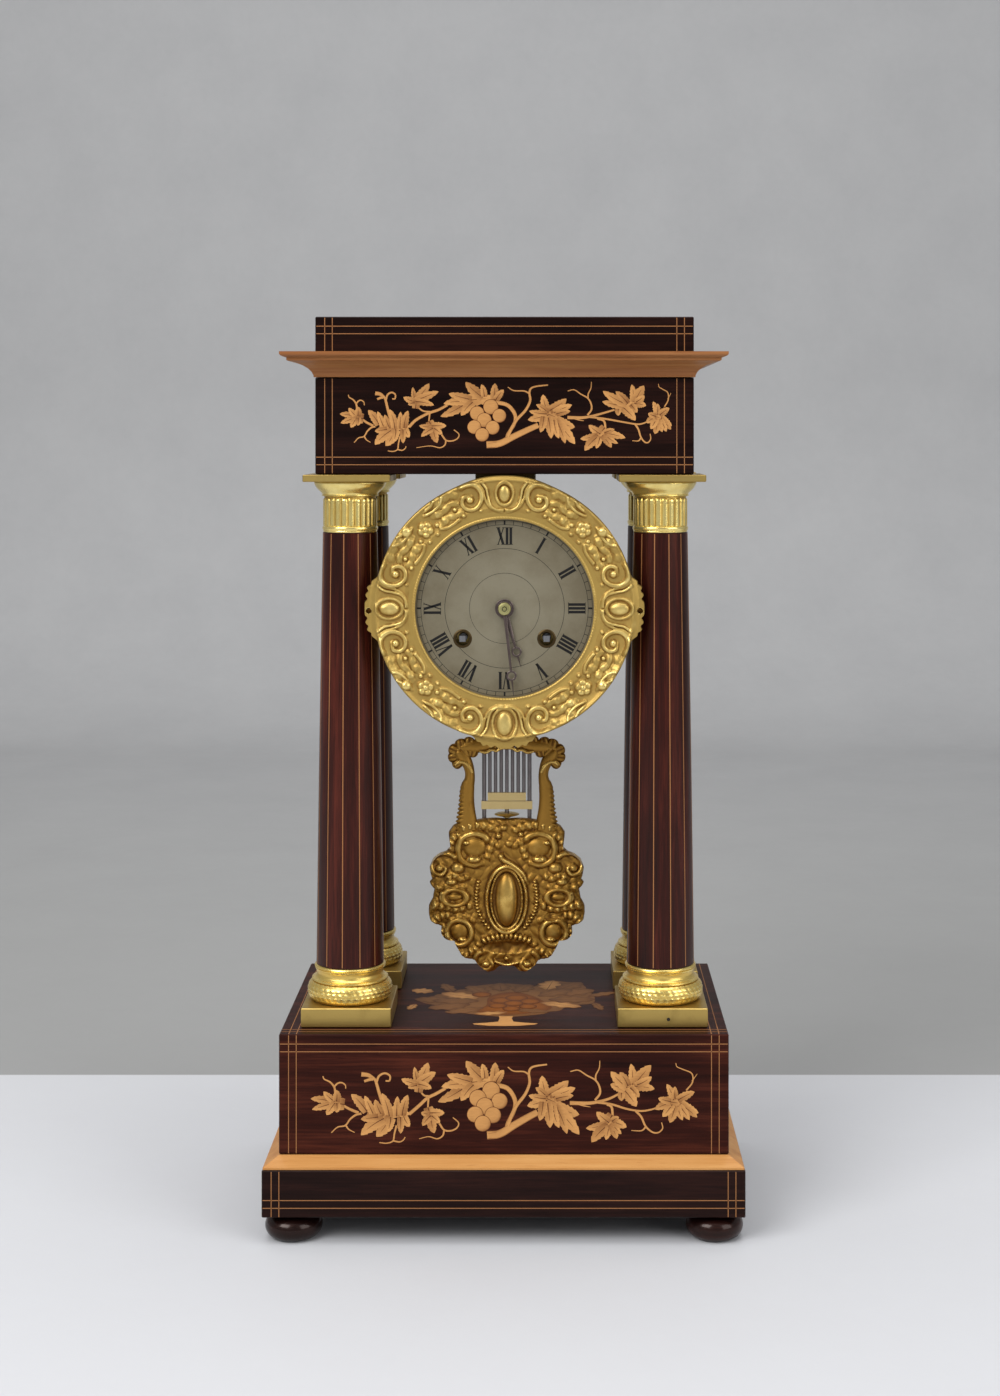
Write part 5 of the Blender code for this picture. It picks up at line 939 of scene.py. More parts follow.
@dataclass
class Bouquet:
    """The urn of leaves and fruit laid into the top of the base, in mm; its foot lies towards the front.

    A spray is a leaf's place, its half length and half width, and its heading in degrees; a fruit is its
    place and its radius.
    """

    panel: TopPanel
    mass: tuple[Spot, ...] = (
        (-50.2, -6.8), (-46.6, -0.8), (-41.7, -2.3), (-38.9, 4.6), (-30.9, 7.1), (-28.0, 13.8), (-23.2, 16.0),
        (-20.2, 21.2), (-12.2, 25.3), (-7.3, 26.9), (-0.8, 27.8), (6.6, 26.2), (14.0, 22.8), (16.6, 24.0),
        (18.9, 29.0), (25.4, 33.8), (33.6, 31.3), (40.2, 29.4), (44.1, 20.6), (44.4, 14.4), (47.1, 6.8),
        (48.7, -0.8), (47.5, -14.1), (38.0, -17.1), (33.2, -19.4), (29.3, -28.6), (23.8, -30.6), (20.7, -34.9),
        (13.0, -38.0), (4.5, -40.5), (-2.5, -40.5), (-11.8, -38.0), (-19.7, -34.9), (-26.0, -32.3),
        (-33.0, -31.5), (-29.4, -25.8), (-37.6, -18.5), (-44.2, -14.1))
    bowl: tuple[Spot, ...] = (
        (-13.5, -32.9), (-16.8, -27.2), (-10.9, -18.5), (-10.5, -3.8), (-6.7, 4.6), (1.2, 9.5), (9.3, 6.8),
        (15.8, -0.8), (20.6, -9.7), (24.6, -18.5), (24.2, -25.8), (17.6, -31.5), (9.8, -35.2), (2.1, -36.9),
        (-5.7, -35.7))
    foot: tuple[Spot, ...] = (
        (-17.0, -53.5), (-16.0, -55.6), (-8.0, -57.8), (0.0, -58.2), (8.0, -57.8), (16.0, -55.6), (17.6, -53.5),
        (11.0, -52.2), (4.6, -50.0), (3.6, -44.0), (4.2, -39.5), (-3.4, -39.5), (-3.0, -44.0), (-3.6, -50.0),
        (-10.0, -52.2))
    sprays: tuple[tuple[float, float, float, float, float], ...] = (
        (-47.4, 12.0, 6.6, 5.0, -70.0), (-33.4, 18.5, 9.6, 3.6, -20.0), (53.0, 5.0, 9.0, 3.4, 60.0),
        (50.2, -20.0, 8.0, 2.6, 165.0), (-51.2, -21.0, 6.0, 2.4, -165.0), (-40.0, -6.5, 11.0, 6.0, -84.0),
        (-31.0, -20.0, 12.0, 6.4, -110.0), (-22.0, -28.0, 11.0, 5.0, -118.0), (-26.0, 2.0, 12.0, 6.2, -62.0),
        (-17.0, 14.0, 10.5, 5.6, -30.0), (-28.0, -9.0, 13.0, 6.0, -88.0), (-4.0, 20.0, 9.0, 5.4, -5.0),
        (24.0, 24.0, 10.5, 6.4, 10.0), (35.0, 22.0, 11.0, 6.0, 38.0), (38.0, 9.0, 12.0, 6.6, 66.0),
        (36.0, -6.0, 13.0, 6.4, 88.0), (30.0, -17.0, 12.0, 5.0, 112.0), (27.0, 8.0, 12.0, 6.0, 52.0),
        (9.0, 17.0, 9.5, 5.4, 24.0), (14.0, -29.0, 10.0, 3.6, 104.0), (-8.0, -34.0, 9.0, 3.0, -98.0))
    fruit: tuple[Triple, ...] = (
        (-3.0, -8.0, 5.4), (5.5, -3.0, 5.8), (13.0, -10.0, 5.2), (4.0, -14.0, 5.0), (-4.5, -19.0, 4.6),
        (12.0, -20.5, 4.4), (3.0, -25.0, 4.4), (-14.0, 4.0, 5.0))
    rows: tuple[float, ...] = (0.0, 0.5, 0.8, 1.0)
    scorch: tuple[float, ...] = (0.08, 0.24, 0.8, 1.6)

    def build(self) -> None:
        """Lay the mass of leaves, the bowl before it, single leaves over both, fruit, and the pale foot."""
        amber, dun, pale, veins = Shell(), Shell(), Shell(), Shell()
        self._plate(dun, smooth_line(self.mass + self.mass[:1], 3)[:-1], (0.0, -6.0), 0.25, 1.0)
        self._plate(amber, smooth_line(self.bowl + self.bowl[:1], 5)[:-1], (4.0, -16.0), 0.5, 1.3)
        self._plate(pale, np.array(self.foot), (0.0, -53.0), 0.1, 1.1)
        for place, (x, y, long, wide, heading) in enumerate(self.sprays):
            level = 1.4 + 0.05 * place
            self._leaf(dun if place % 4 else pale, veins, (x, y), long, wide, math.radians(heading), level)
        turn = full_turn(48)
        ring = np.stack([np.sin(turn), np.cos(turn)], axis=1)
        for place, (x, y, size) in enumerate(self.fruit):
            for rim, tint, level in ((0.5, 1.0, 2.5), (0.0, 0.5, 2.55)):
                self._plate(amber, ring * (size + rim) + (x, y), (x, y), tint, level + 0.1 * place)
        for name, shell, finish in (("urn_marquetry", amber, AMBER_INLAY), ("leaf_marquetry", dun, DUN_INLAY),
                                    ("pale_marquetry", pale, MAPLE_INLAY), ("bouquet_veins", veins, VEIN_INLAY)):
            inlay_piece(name, shell, finish)

    def _plate(self, shell: Shell, outline: np.ndarray, middle: Spot, tint: float, level: float) -> None:
        """One flat plate, scorched towards its edge; the level counts in steps of a string's height."""
        marks = np.broadcast_to(np.array(self.scorch)[:, None] * tint, (len(self.rows), len(outline)))
        self.panel.disc(shell, outline * MM, np.array([middle]) * MM, marks, self.rows, PROUD * level)

    def _leaf(self, shell: Shell, veins: Shell, middle: Spot, long: float, wide: float, heading: float,
              level: float) -> None:
        """A pointed leaf: two arcs that meet in a tip, with small waves along its edge and a vein."""
        turn = full_turn(72)
        across = np.abs(np.sin(turn)) ** 1.4 * np.sign(np.sin(turn)) * (1.0 + 0.2 * np.cos(turn * 9.0)) * wide
        ahead = np.cos(turn) * long
        s, c = math.sin(heading), math.cos(heading)
        outline = np.stack([across * c + ahead * s, ahead * c - across * s], axis=1) + middle
        self._plate(shell, outline, middle, 0.5, level)
        line = smooth_line(np.array([(-1.0, -1.0), (0.0, 0.0), (0.8, 0.8)]) * (long * s, long * c) + middle, 4) * MM
        self.panel.ribbon(veins, line, np.linspace(0.5, 0.15, len(line)) * MM, 0.3, PROUD * (level + 0.03))


BASE_PROFILE = (
    (0.0, 1.0), (0.8, 1.0), (0.825, 0.985), (0.84, 0.955), (0.825, 0.925), (0.815, 0.91), (0.83, 0.9),
    (0.822, 0.875), (0.8, 0.82), (0.785, 0.75), (0.8, 0.68), (0.845, 0.63), (0.87, 0.62), (0.895, 0.605),
    (0.9, 0.575), (0.885, 0.55), (0.872, 0.54), (0.9, 0.53), (0.955, 0.475), (0.99, 0.37), (1.0, 0.27),
    (0.992, 0.16), (0.955, 0.06), (0.9, 0.0), (0.0, 0.0))
CAPITAL_BELL = (
    (0.0, 1.0), (0.985, 1.0), (1.0, 0.985), (1.0, 0.965), (0.985, 0.95), (0.965, 0.915), (0.93, 0.875),
    (0.87, 0.83), (0.81, 0.79), (0.782, 0.765), (0.775, 0.75), (0.79, 0.742), (0.79, 0.722), (0.765, 0.714),
    (0.728, 0.708))
CAPITAL_FOOT = (
    (0.73, 0.12), (0.755, 0.11), (0.768, 0.095), (0.768, 0.06), (0.755, 0.035), (0.745, 0.03), (0.752, 0.02),
    (0.742, 0.0), (0.0, 0.0))


@dataclass
class Columns:
    """Four columns: brass blocks and plates, gilt bases and capitals, veneered shafts with strings."""

    x: float = 83.25 * MM
    y: float = 38.75 * MM
    base_foot: float = 117.4 * MM
    base_height: float = 18.6 * MM
    base_radius: float = 22.6 * MM
    leaves: float = 20.0
    leaf_depth: float = 0.55 * MM
    shaft_foot: float = 136.3 * MM
    shaft_height: float = 230.2 * MM
    shaft_radii: Triple = (18.0 * MM, 16.496 * MM, 14.6 * MM)
    capital_foot: float = 366.8 * MM
    capital_height: float = 26.8 * MM
    bell_radius: float = 19.3 * MM
    neck: Triple = (0.728, 0.7, 0.13)
    flutes: float = 24.0
    flute_depth: float = 0.7 * MM
    strings: int = 12
    string_width: float = 0.5 * MM
    string_turns: Spot = (math.radians(-8.0), math.radians(15.0))
    hole_spot: Triple = (86.25 * MM, -62.5 * MM, 111.5 * MM)
    hole_spot_side: tuple[Spot, ...] = ((0.0, 0.35), (0.5, 0.3), (0.85, 0.1), (0.9, -0.4), (0.0, -0.4))
    turns: int = 240

    def build(self) -> None:
        """Dress the blocks and plates and turn the rest."""
        dress(DULL_BRASS, *[f"{part}_{corner}" for part in ("column_block", "capital_plate") for corner in CORNERS])
        strings = Shell()
        for corner, (sx, sy) in CORNERS.items():
            place = (sx * self.x, sy * self.y)
            self._base(corner, place)
            self._shaft(corner, place)
            self._capital(corner, place)
            self._column_strings(strings, place, self.string_turns[sx > 0.0])
        inlay_piece("column_strings", strings, STRING_INLAY)
        # A small dark button on the right front block stands for a hole: painted shade.
        hole_spot_grid = turned_grid(np.array(self.hole_spot_side) * MM, 24, self.hole_spot, along_y=True)
        hole_spot = Shell().net(hole_spot_grid, 0.2)
        make_piece("block_hole_shade", hole_spot, HOLE_SHADE_SPOT, "case")

    def _base(self, corner: str, place: Spot) -> None:
        """The gilt base: a flared top ring, a hollow, a bead and a big ring chased with leaves."""
        last = len(BASE_PROFILE) - 1
        steps = np.linspace(0.0, last, last * 4 + 1)
        profile = np.stack([np.interp(steps, range(last + 1), column) for column in zip(*BASE_PROFILE)], axis=1)
        radius, height = profile[:, :1], profile[:, 1:]
        ring = np.clip(1.0 - ((height - 0.28) / 0.27) ** 2, 0.0, 1.0) * (radius > 0.88)
        turn = full_turn(self.turns)
        leaf = np.abs(np.cos(turn * self.leaves + 9.0 * height)) ** 0.6 * (0.6 + 0.4 * np.cos(height * 60.0))
        grid = turned_grid(profile * (self.base_radius, self.base_height), self.turns, (*place, self.base_foot),
                           swell=(leaf - 0.55) * ring * self.leaf_depth)
        # Relief value: brighter on the leaf ridges, a painted highlight, and darker in the narrow groove and in the
        # hollow, painted shade.
        marks = np.clip(0.62 + 0.5 * (leaf - 0.6) * (ring > 0.05) - 0.45 * np.exp(-((height - 0.54) / 0.02) ** 2)
                        - 0.25 * np.exp(-((height - 0.75) / 0.07) ** 2), 0.0, 1.0)
        make_piece(f"gilt_base_{corner}", Shell().net(grid, marks), COLUMN_GILT, "case",
                   [f"column_base_{corner}"])

    def _radius(self, share: np.ndarray) -> np.ndarray:
        """The shaft's radius at a share of its height: the parabola through foot, middle and head."""
        foot, middle, head = self.shaft_radii
        slope, bend = 4.0 * middle - 3.0 * foot - head, 2.0 * foot + 2.0 * head - 4.0 * middle
        return foot + slope * share + bend * share ** 2

    def _shaft(self, corner: str, place: Spot) -> None:
        """The tapered shaft."""
        share = np.linspace(1.0, 0.0, 25)
        side = np.stack([self._radius(share), share * self.shaft_height], axis=1)
        profile = np.vstack([[(0.0, self.shaft_height)], side, [(0.0, 0.0)]])
        shell = Shell().net(turned_grid(profile, 96, (*place, self.shaft_foot)))
        make_piece(f"veneered_shaft_{corner}", shell, COLUMN_ROSEWOOD, "case",
                   [f"column_shaft_{corner}"])

    def _column_strings(self, shell: Shell, place: Spot, phase: float) -> None:
        """Strings up a shaft, evenly round it: each a thin strip that keeps just proud of the taper."""
        share = np.linspace(0.002, 0.998, 16)
        radius = self._radius(share)
        for turn in phase + full_turn(self.strings):
            corners = []
            for side, level in ((-1.0, PROUD), (1.0, PROUD), (1.0, SUNK), (-1.0, SUNK)):
                way = turn + side * self.string_width / 2.0 / radius
                reach = radius + level
                corners.append(np.stack([place[0] + reach * np.sin(way), place[1] - reach * np.cos(way),
                                         self.shaft_foot + share * self.shaft_height], axis=1))
            shell.tube(np.stack(corners, axis=1), 0.3)

    def _capital(self, corner: str, place: Spot) -> None:
        """The gilt capital: a bright foot ring, a fluted neck with round heads, and a flared bell."""
        neck_radius, neck_top, neck_foot = self.neck
        neck = [(neck_radius, level) for level in np.linspace(neck_top, neck_foot, 30)]
        profile = np.array([*CAPITAL_BELL, *neck, *CAPITAL_FOOT])
        radius, height = profile[:, :1], profile[:, 1:]
        inside = (height < neck_top + 0.005) & (height > neck_foot - 0.005) & (radius > 0.7)
        flute = np.abs(np.sin(full_turn(self.turns) * self.flutes / 2.0))
        head = np.sqrt(np.clip(1.0 - ((height - 0.61) / 0.07) ** 2 - ((1.0 - flute) / 0.75) ** 2, 0.0, 1.0))
        body = np.where(height < 0.58, flute ** 0.7, head)
        grid = turned_grid(profile * (self.bell_radius, self.capital_height), self.turns, (*place, self.capital_foot),
                           swell=np.where(inside, (body - 0.45) * self.flute_depth, 0.0))
        # Relief value: flute ridges and heads brighter, a painted highlight; grooves darker and a dark line under the
        # bell, painted shade.
        marks = np.where(inside, 0.2 + 0.6 * body, 0.75 - 0.45 * np.exp(-((height - 0.708) / 0.01) ** 2))
        make_piece(f"gilt_capital_{corner}", Shell().net(grid, marks), COLUMN_GILT, "case",
                   [f"capital_{corner}"])


class Relief:
    """A height field in mm over places (x, z) on which motifs are laid; the higher one wins where they meet."""

    def __init__(self, x: np.ndarray, z: np.ndarray) -> None:
        """Start level."""
        self.x, self.z = x, z
        self.height = np.zeros_like(x)

    def lay(self, height: np.ndarray) -> None:
        """Keep the higher of what is there and the new motif."""
        self.height = np.maximum(self.height, height)

    def local(self, x: float, z: float, heading: float = 0.0) -> tuple[np.ndarray, np.ndarray]:
        """Measures across and along a motif whose top points to the heading, clockwise from up."""
        s, c = math.sin(heading), math.cos(heading)
        dx, dz = self.x - x, self.z - z
        return dx * c - dz * s, dx * s + dz * c

    def egg(self, x: float, z: float, wide: float, long: float, heading: float = 0.0) -> np.ndarray:
        """Half an egg, one high: the root of one minus the squared distance from its middle."""
        across, ahead = self.local(x, z, heading)
        return np.sqrt(np.clip(1.0 - (across / wide) ** 2 - (ahead / long) ** 2, 0.0, 1.0))

    def boss(self, x: float, z: float, wide: float, long: float, high: float, heading: float = 0.0) -> None:
        """Lay half an egg."""
        self.lay(high * self.egg(x, z, wide, long, heading))

    def dent(self, x: float, z: float, wide: float, long: float, deep: float) -> None:
        """Press half an egg into the field."""
        self.height = self.height - deep * self.egg(x, z, wide, long)

    def ring(self, x: float, z: float, wide: float, long: float, band: float, high: float,
             heading: float = 0.0) -> None:
        """A half-round band along an oval."""
        across, ahead = self.local(x, z, heading)
        off = (np.hypot(across / wide, ahead / long) - 1.0) * min(wide, long)
        self.lay(high * np.sqrt(np.clip(1.0 - (off / band) ** 2, 0.0, 1.0)))

    def rosette(self, x: float, z: float, radius: float, high: float, petals: int, heading: float) -> None:
        """Petals round a button: each is an egg that swells with the cosine of the turn."""
        across, ahead = self.local(x, z, heading)
        far, turn = np.hypot(across, ahead) / radius, np.arctan2(across, ahead)
        swing = np.abs(np.cos(turn * petals / 2.0))
        edge, fold = 0.8 + 0.2 * swing ** 0.7, 0.62 + 0.38 * swing ** 0.5
        dish = np.clip(1.0 - (far / edge) ** 6, 0.0, 1.0) * fold * (0.5 + 0.5 * np.clip(far / 0.6, 0.0, 1.0))
        button = 0.26
        dome = 0.75 + 0.35 * np.sqrt(np.clip(1.0 - (far / button) ** 2, 0.0, 1.0))
        self.lay(high * np.where(far < button, dome, dish))

    def stroke(self, points: Union[np.ndarray, Sequence[Spot]], thick: float, thin: float, high: float,
               notches: float = 0.0, lobes: float = 7.0, veins: float = 0.0) -> None:
        """A raised band along a smooth line.

        Args:
            points: places along the line.
            thick: half its width where it starts.
            thin: half its width where it ends.
            high: its height.
            notches: how deep its edge is scalloped, as a share of its width; a leaf has about 0.4.
            lobes: how many scallops it has.
            veins: how deep the grooves towards each lobe are.
        """
        line = smooth_line(points, 7)
        reach = max(thick, thin) * 1.6
        near = ((self.x > line[:, 0].min() - reach) & (self.x < line[:, 0].max() + reach)
                & (self.z > line[:, 1].min() - reach) & (self.z < line[:, 1].max() + reach))
        if not near.any():
            return
        spots = np.stack([self.x[near], self.z[near]], axis=1)
        step = line[1:] - line[:-1]
        length = np.linalg.norm(step, axis=1) + 1e-12
        offset = spots[:, None, :] - line[None, :-1, :]
        part = np.clip((offset * step).sum(axis=2) / length ** 2, 0.0, 1.0)
        miss = np.linalg.norm(offset - part[..., None] * step, axis=2)
        best = miss.argmin(axis=1)
        rows = np.arange(len(spots))
        start = np.concatenate([[0.0], np.cumsum(length)])
        share = (start[best] + part[rows, best] * length[best]) / start[-1]
        far = miss[rows, best]
        width = thick + (thin - thick) * share
        wave = np.abs(np.sin(share * lobes * math.pi))
        width = width * (1.0 - notches * (1.0 - wave))
        rounded = np.sqrt(np.clip(1.0 - (far / width) ** 2, 0.0, 1.0))
        groove = veins * np.abs(np.sin((share * lobes - far / width * 0.5) * math.pi)) + (1.0 - veins)
        taper = np.clip(share / 0.06, 0.0, 1.0) ** 0.5 * (0.55 + 0.45 * np.clip((1.0 - share) / 0.1, 0.0, 1.0))
        made = np.zeros_like(self.x)
        made[near] = high * rounded * groove * np.clip(width / max(thick, thin), 0.45, 1.0) * taper
        self.lay(made)

    def marks(self) -> np.ndarray:
        """How proud each place is of its neighbours, nought to one: its height less a blurred copy of the field, with
        its height added. The gilding paints a highlight where this is high and shade where it is low.
        """
        blur = self.height.copy()
        for _ in range(6):
            blur = 0.5 * blur + 0.125 * (np.roll(blur, 1, 1) + np.roll(blur, -1, 1)
                                         + np.vstack([blur[:1], blur[:-1]]) + np.vstack([blur[1:], blur[-1:]]))
        proud = (self.height - blur) / (np.abs(self.height - blur).max() + 1e-12)
        return np.clip(0.34 + self.height / (self.height.max() + 1e-12) * 0.42 + proud * 1.1, 0.0, 1.0)


BEZEL_STROKES = (
    (((21.5, 67.4), (17.0, 68.0), (13.2, 66.4), (11.4, 62.2), (12.6, 57.6), (16.4, 54.9), (20.6, 56.0),
      (22.0, 59.4), (20.2, 62.4), (17.0, 61.8)), 1.5, 1.2, 1.8),
    (((22.5, 64.4), (26.0, 66.2), (30.0, 66.2), (34.0, 64.0)), 1.9, 3.0, 1.5, 0.32, 3.0, 0.25),
    (((23.0, 60.2), (27.6, 61.8), (32.6, 60.4), (37.6, 61.6)), 1.7, 2.5, 1.7, 0.3, 3.0, 0.2),
    (((22.5, 56.4), (27.0, 55.2), (31.6, 56.4), (36.0, 55.6)), 1.6, 2.6, 1.5, 0.3, 3.0, 0.2),
    (((26.0, 52.8), (31.0, 51.9), (35.5, 52.2), (38.4, 54.0), (36.8, 55.6)), 1.1, 0.9, 1.2),
    (((29.0, 68.0), (31.5, 65.0), (36.0, 63.6), (41.0, 64.6)), 1.1, 0.9, 1.8),
    (((33.0, 68.2), (35.6, 66.6), (39.6, 66.2)), 1.0, 0.8, 1.6))
BEZEL_BUDS = ((17.6, 60.2, 2.0, 2.4), (13.6, 53.0, 1.0, 0.9), (23.6, 53.4, 1.3, 1.5), (26.6, 58.4, 1.2, 1.6),
              (38.8, 56.6, 1.3, 1.5), (41.8, 52.6, 1.1, 1.2))


@dataclass
class Bezel:
    """The cast bezel, in mm: ground, bead, rim, cartouches and scrollwork, one height field round the dial.

    The tables hold places as (degrees from a cartouche, radius): a stroke's line, then its half widths, its
    height, its notches, lobes and veins; a bud's place, radius and height.
    """

    middle: Spot = (0.0, 327.0)
    back_y: float = -55.0
    rebate_y: float = -56.6
    bore: float = 47.2
    rebate: float = 48.8
    radius: float = 69.0
    lip: float = 4.1
    edge: float = 1.8
    bead: float = 48.0
    beads: float = 100.0
    band: Spot = (47.8, 53.4)
    rim: float = 67.9
    rise: float = 1.3
    lobe: float = 5.0
    spread: float = math.radians(12.5)
    notch: Spot = (1.3, 0.016)
    notches: Triple = (0.07, 0.128, 0.18)
    hole: Triple = (71.6, -1.2, 1.3)
    hole_floor: float = 0.4
    cabochons: tuple[float, ...] = (0.86, 1.0, 1.2, 1.0)
    turns: int = 900
    rows: int = 68

    def outline(self, turn: np.ndarray) -> np.ndarray:
        """A circle with notched ears at three, six and nine o'clock and a low rise at twelve."""
        deep, wide = self.notch
        radius = self.radius + self.rise * np.exp(-(np.abs((turn + math.pi) % TAU - math.pi) / 0.32) ** 4)
        for quarter in (1, 2, 3):
            off = np.abs((turn - quarter * TAU / 4.0 + math.pi) % TAU - math.pi)
            radius = radius + self.lobe * np.exp(-(off / self.spread) ** 8)
            for at in self.notches:
                radius = radius - deep * np.exp(-((off - at) / wide) ** 2)
        return radius

    def build(self) -> None:
        """Lay the motifs, then close the casting with its edge, its back and its rebate."""
        turn = full_turn(self.turns)
        outer = self.outline(turn)
        radius = self.bore + (outer - self.bore) * np.linspace(0.0, 1.0, self.rows)[:, None]
        relief = Relief(radius * np.sin(turn), radius * np.cos(turn))
        self._ornament(relief, radius, turn)
        x, z, size = self.hole
        drilled = np.hypot(np.abs(relief.x) - x, relief.z - z) < size
        thick = np.where(drilled, self.hole_floor, self._ground(radius) + relief.height)
        thick[0], thick[-1] = self.lip, self.edge
        relief.height = np.where(drilled, -3.0, relief.height)
        # The relief value paints a highlight on the heights and shade in the hollows; the drilled holes are marked
        # below nought, painted shade on their floors.
        marks = np.clip(relief.marks() + 0.14 * (radius < 51.0), 0.0, 1.0)
        marks = np.where(drilled, -0.4, np.where(radius > self.rim - 0.7, np.maximum(marks, 0.5), marks))
        grid = [self._lift(radius, turn, self.back_y - thick)]
        for reach, y in ((outer, self.back_y), (self.rebate, self.back_y), (self.rebate, self.rebate_y),
                         (self.bore, self.rebate_y)):
            grid.append(self._lift(reach, turn, y)[None])
        marks = np.concatenate([marks, np.full((4, self.turns), 0.35)])
        shell = Shell().net(np.concatenate(grid), marks, round_rows=True)
        make_piece("cast_bezel", shell, BEZEL_GILT, "case", ["bezel"], smooth=60.0)

    def _lift(self, radius: Union[float, np.ndarray], turn: np.ndarray, y: Union[float, np.ndarray]) -> np.ndarray:
        """Points in metres at a radius and a turn clockwise from twelve, at a depth y."""
        across = self.middle[0] + radius * np.sin(turn)
        up = self.middle[1] + radius * np.cos(turn)
        return np.stack(np.broadcast_arrays(across, y, up), axis=-1) * MM

    def _ground(self, radius: np.ndarray) -> np.ndarray:
        """The casting's own thickness: a bead line, a band that dips to the bore, a shallow valley and a rim."""
        start, end = self.band
        band = np.clip((radius - start) / (end - start), 0.0, 1.0)
        share = np.clip((radius - end) / 13.8, 0.0, 1.0)
        valley = 3.9 + 0.9 * band + 0.7 * share - 0.95 * np.sin(share * math.pi) ** 0.9
        rim = 0.75 * np.exp(-((radius - self.rim) / 0.75) ** 2)
        flange = 1.2 * np.clip((radius - self.radius) / 2.0, 0.0, 1.0)
        bead = 0.4 * np.exp(-((radius - self.bead) / 0.5) ** 2)
        return valley + rim - flange + bead

    def _ornament(self, relief: Relief, radius: np.ndarray, turn: np.ndarray) -> None:
        """Lay the beads, the four cartouches and, mirrored into eight half quarters, the scrollwork."""
        relief.lay(0.3 * np.abs(np.cos(turn * self.beads)) * np.exp(-((radius - self.bead) / 0.4) ** 2))
        for quarter, size in enumerate(self.cabochons):
            at = quarter * TAU / 4.0
            self._cartouche(relief, at, size)
            for hand in (1.0, -1.0):
                self._scrollwork(relief, at, hand)
                self._corner(relief, at + hand * TAU / 8.0, hand if quarter % 2 == 0 else 0.0)

    @staticmethod
    def _spots(at: float, hand: float, places: Sequence[Spot]) -> np.ndarray:
        """Places given as (degrees from the cartouche, radius) turned to x and z."""
        spots = np.asarray(places, dtype=float)
        way = at + hand * np.radians(spots[:, 0])
        return np.stack([spots[:, 1] * np.sin(way), spots[:, 1] * np.cos(way)], axis=1)

    def _cartouche(self, relief: Relief, at: float, size: float) -> None:
        """An oval cabochon in an oval frame, in an arch of two lines that opens outwards."""
        (x, z), = self._spots(at, 1.0, [(0.0, 60.6)])
        relief.boss(x, z, 3.6 * size, 5.2 * size, 2.3, at)
        relief.ring(x, z, 5.3 * size, 6.9 * size, 0.8, 1.0, at)
        for hand in (1.0, -1.0):
            for shift, high in ((0.0, 1.3), (1.8, 1.0)):
                arch = [(0.0, 52.0 - shift * 0.4), (4.6, 52.3 - shift * 0.3), (7.6 + shift * 0.6, 55.0),
                        (8.4 + shift, 60.0), (8.6 + shift, 64.0), (10.4 + shift, 68.0)]
                relief.stroke(self._spots(at, hand, arch), 0.8, 0.8, high)

    def _scrollwork(self, relief: Relief, at: float, hand: float) -> None:
        """Half a quarter: a big C-scroll by the cartouche, its volute, leaves towards the corner, and buds."""
        for places, *shape in BEZEL_STROKES:
            relief.stroke(self._spots(at, hand, places), *shape)
        for degrees, reach, size, high in BEZEL_BUDS:
            (x, z), = self._spots(at, hand, [(degrees, reach)])
            relief.boss(x, z, size, size, high)

    def _corner(self, relief: Relief, at: float, toward: float) -> None:
        """The middle of a quarter: a flower, and a round boss by the rim on the side of the ear."""
        (x, z), = self._spots(at, 1.0, [(0.0, 58.8)])
        relief.rosette(x, z, 4.7, 1.9, 5, at)
        if toward:
            (x, z), = self._spots(at, toward, [(7.0, 65.2)])
            relief.boss(x, z, 2.9, 2.6, 2.5, at)


LETTER_WIDTHS = {"I": 2.0, "V": 4.6, "X": 4.6}
LETTER_STROKES = {"I": [(1.0, 1.0, 1.4)], "V": [(0.95, 2.4, 1.4), (3.9, 2.4, 0.5)],
                  "X": [(0.9, 3.6, 1.4), (3.7, 0.9, 0.5)]}
COLLAR_PROFILE = ((3.35, -0.6), (3.35, 0.1), (3.5, 0.35), (4.1, 0.45), (4.7, 0.3), (4.95, 0.03), (4.4, -0.02),
                  (4.4, -0.6))


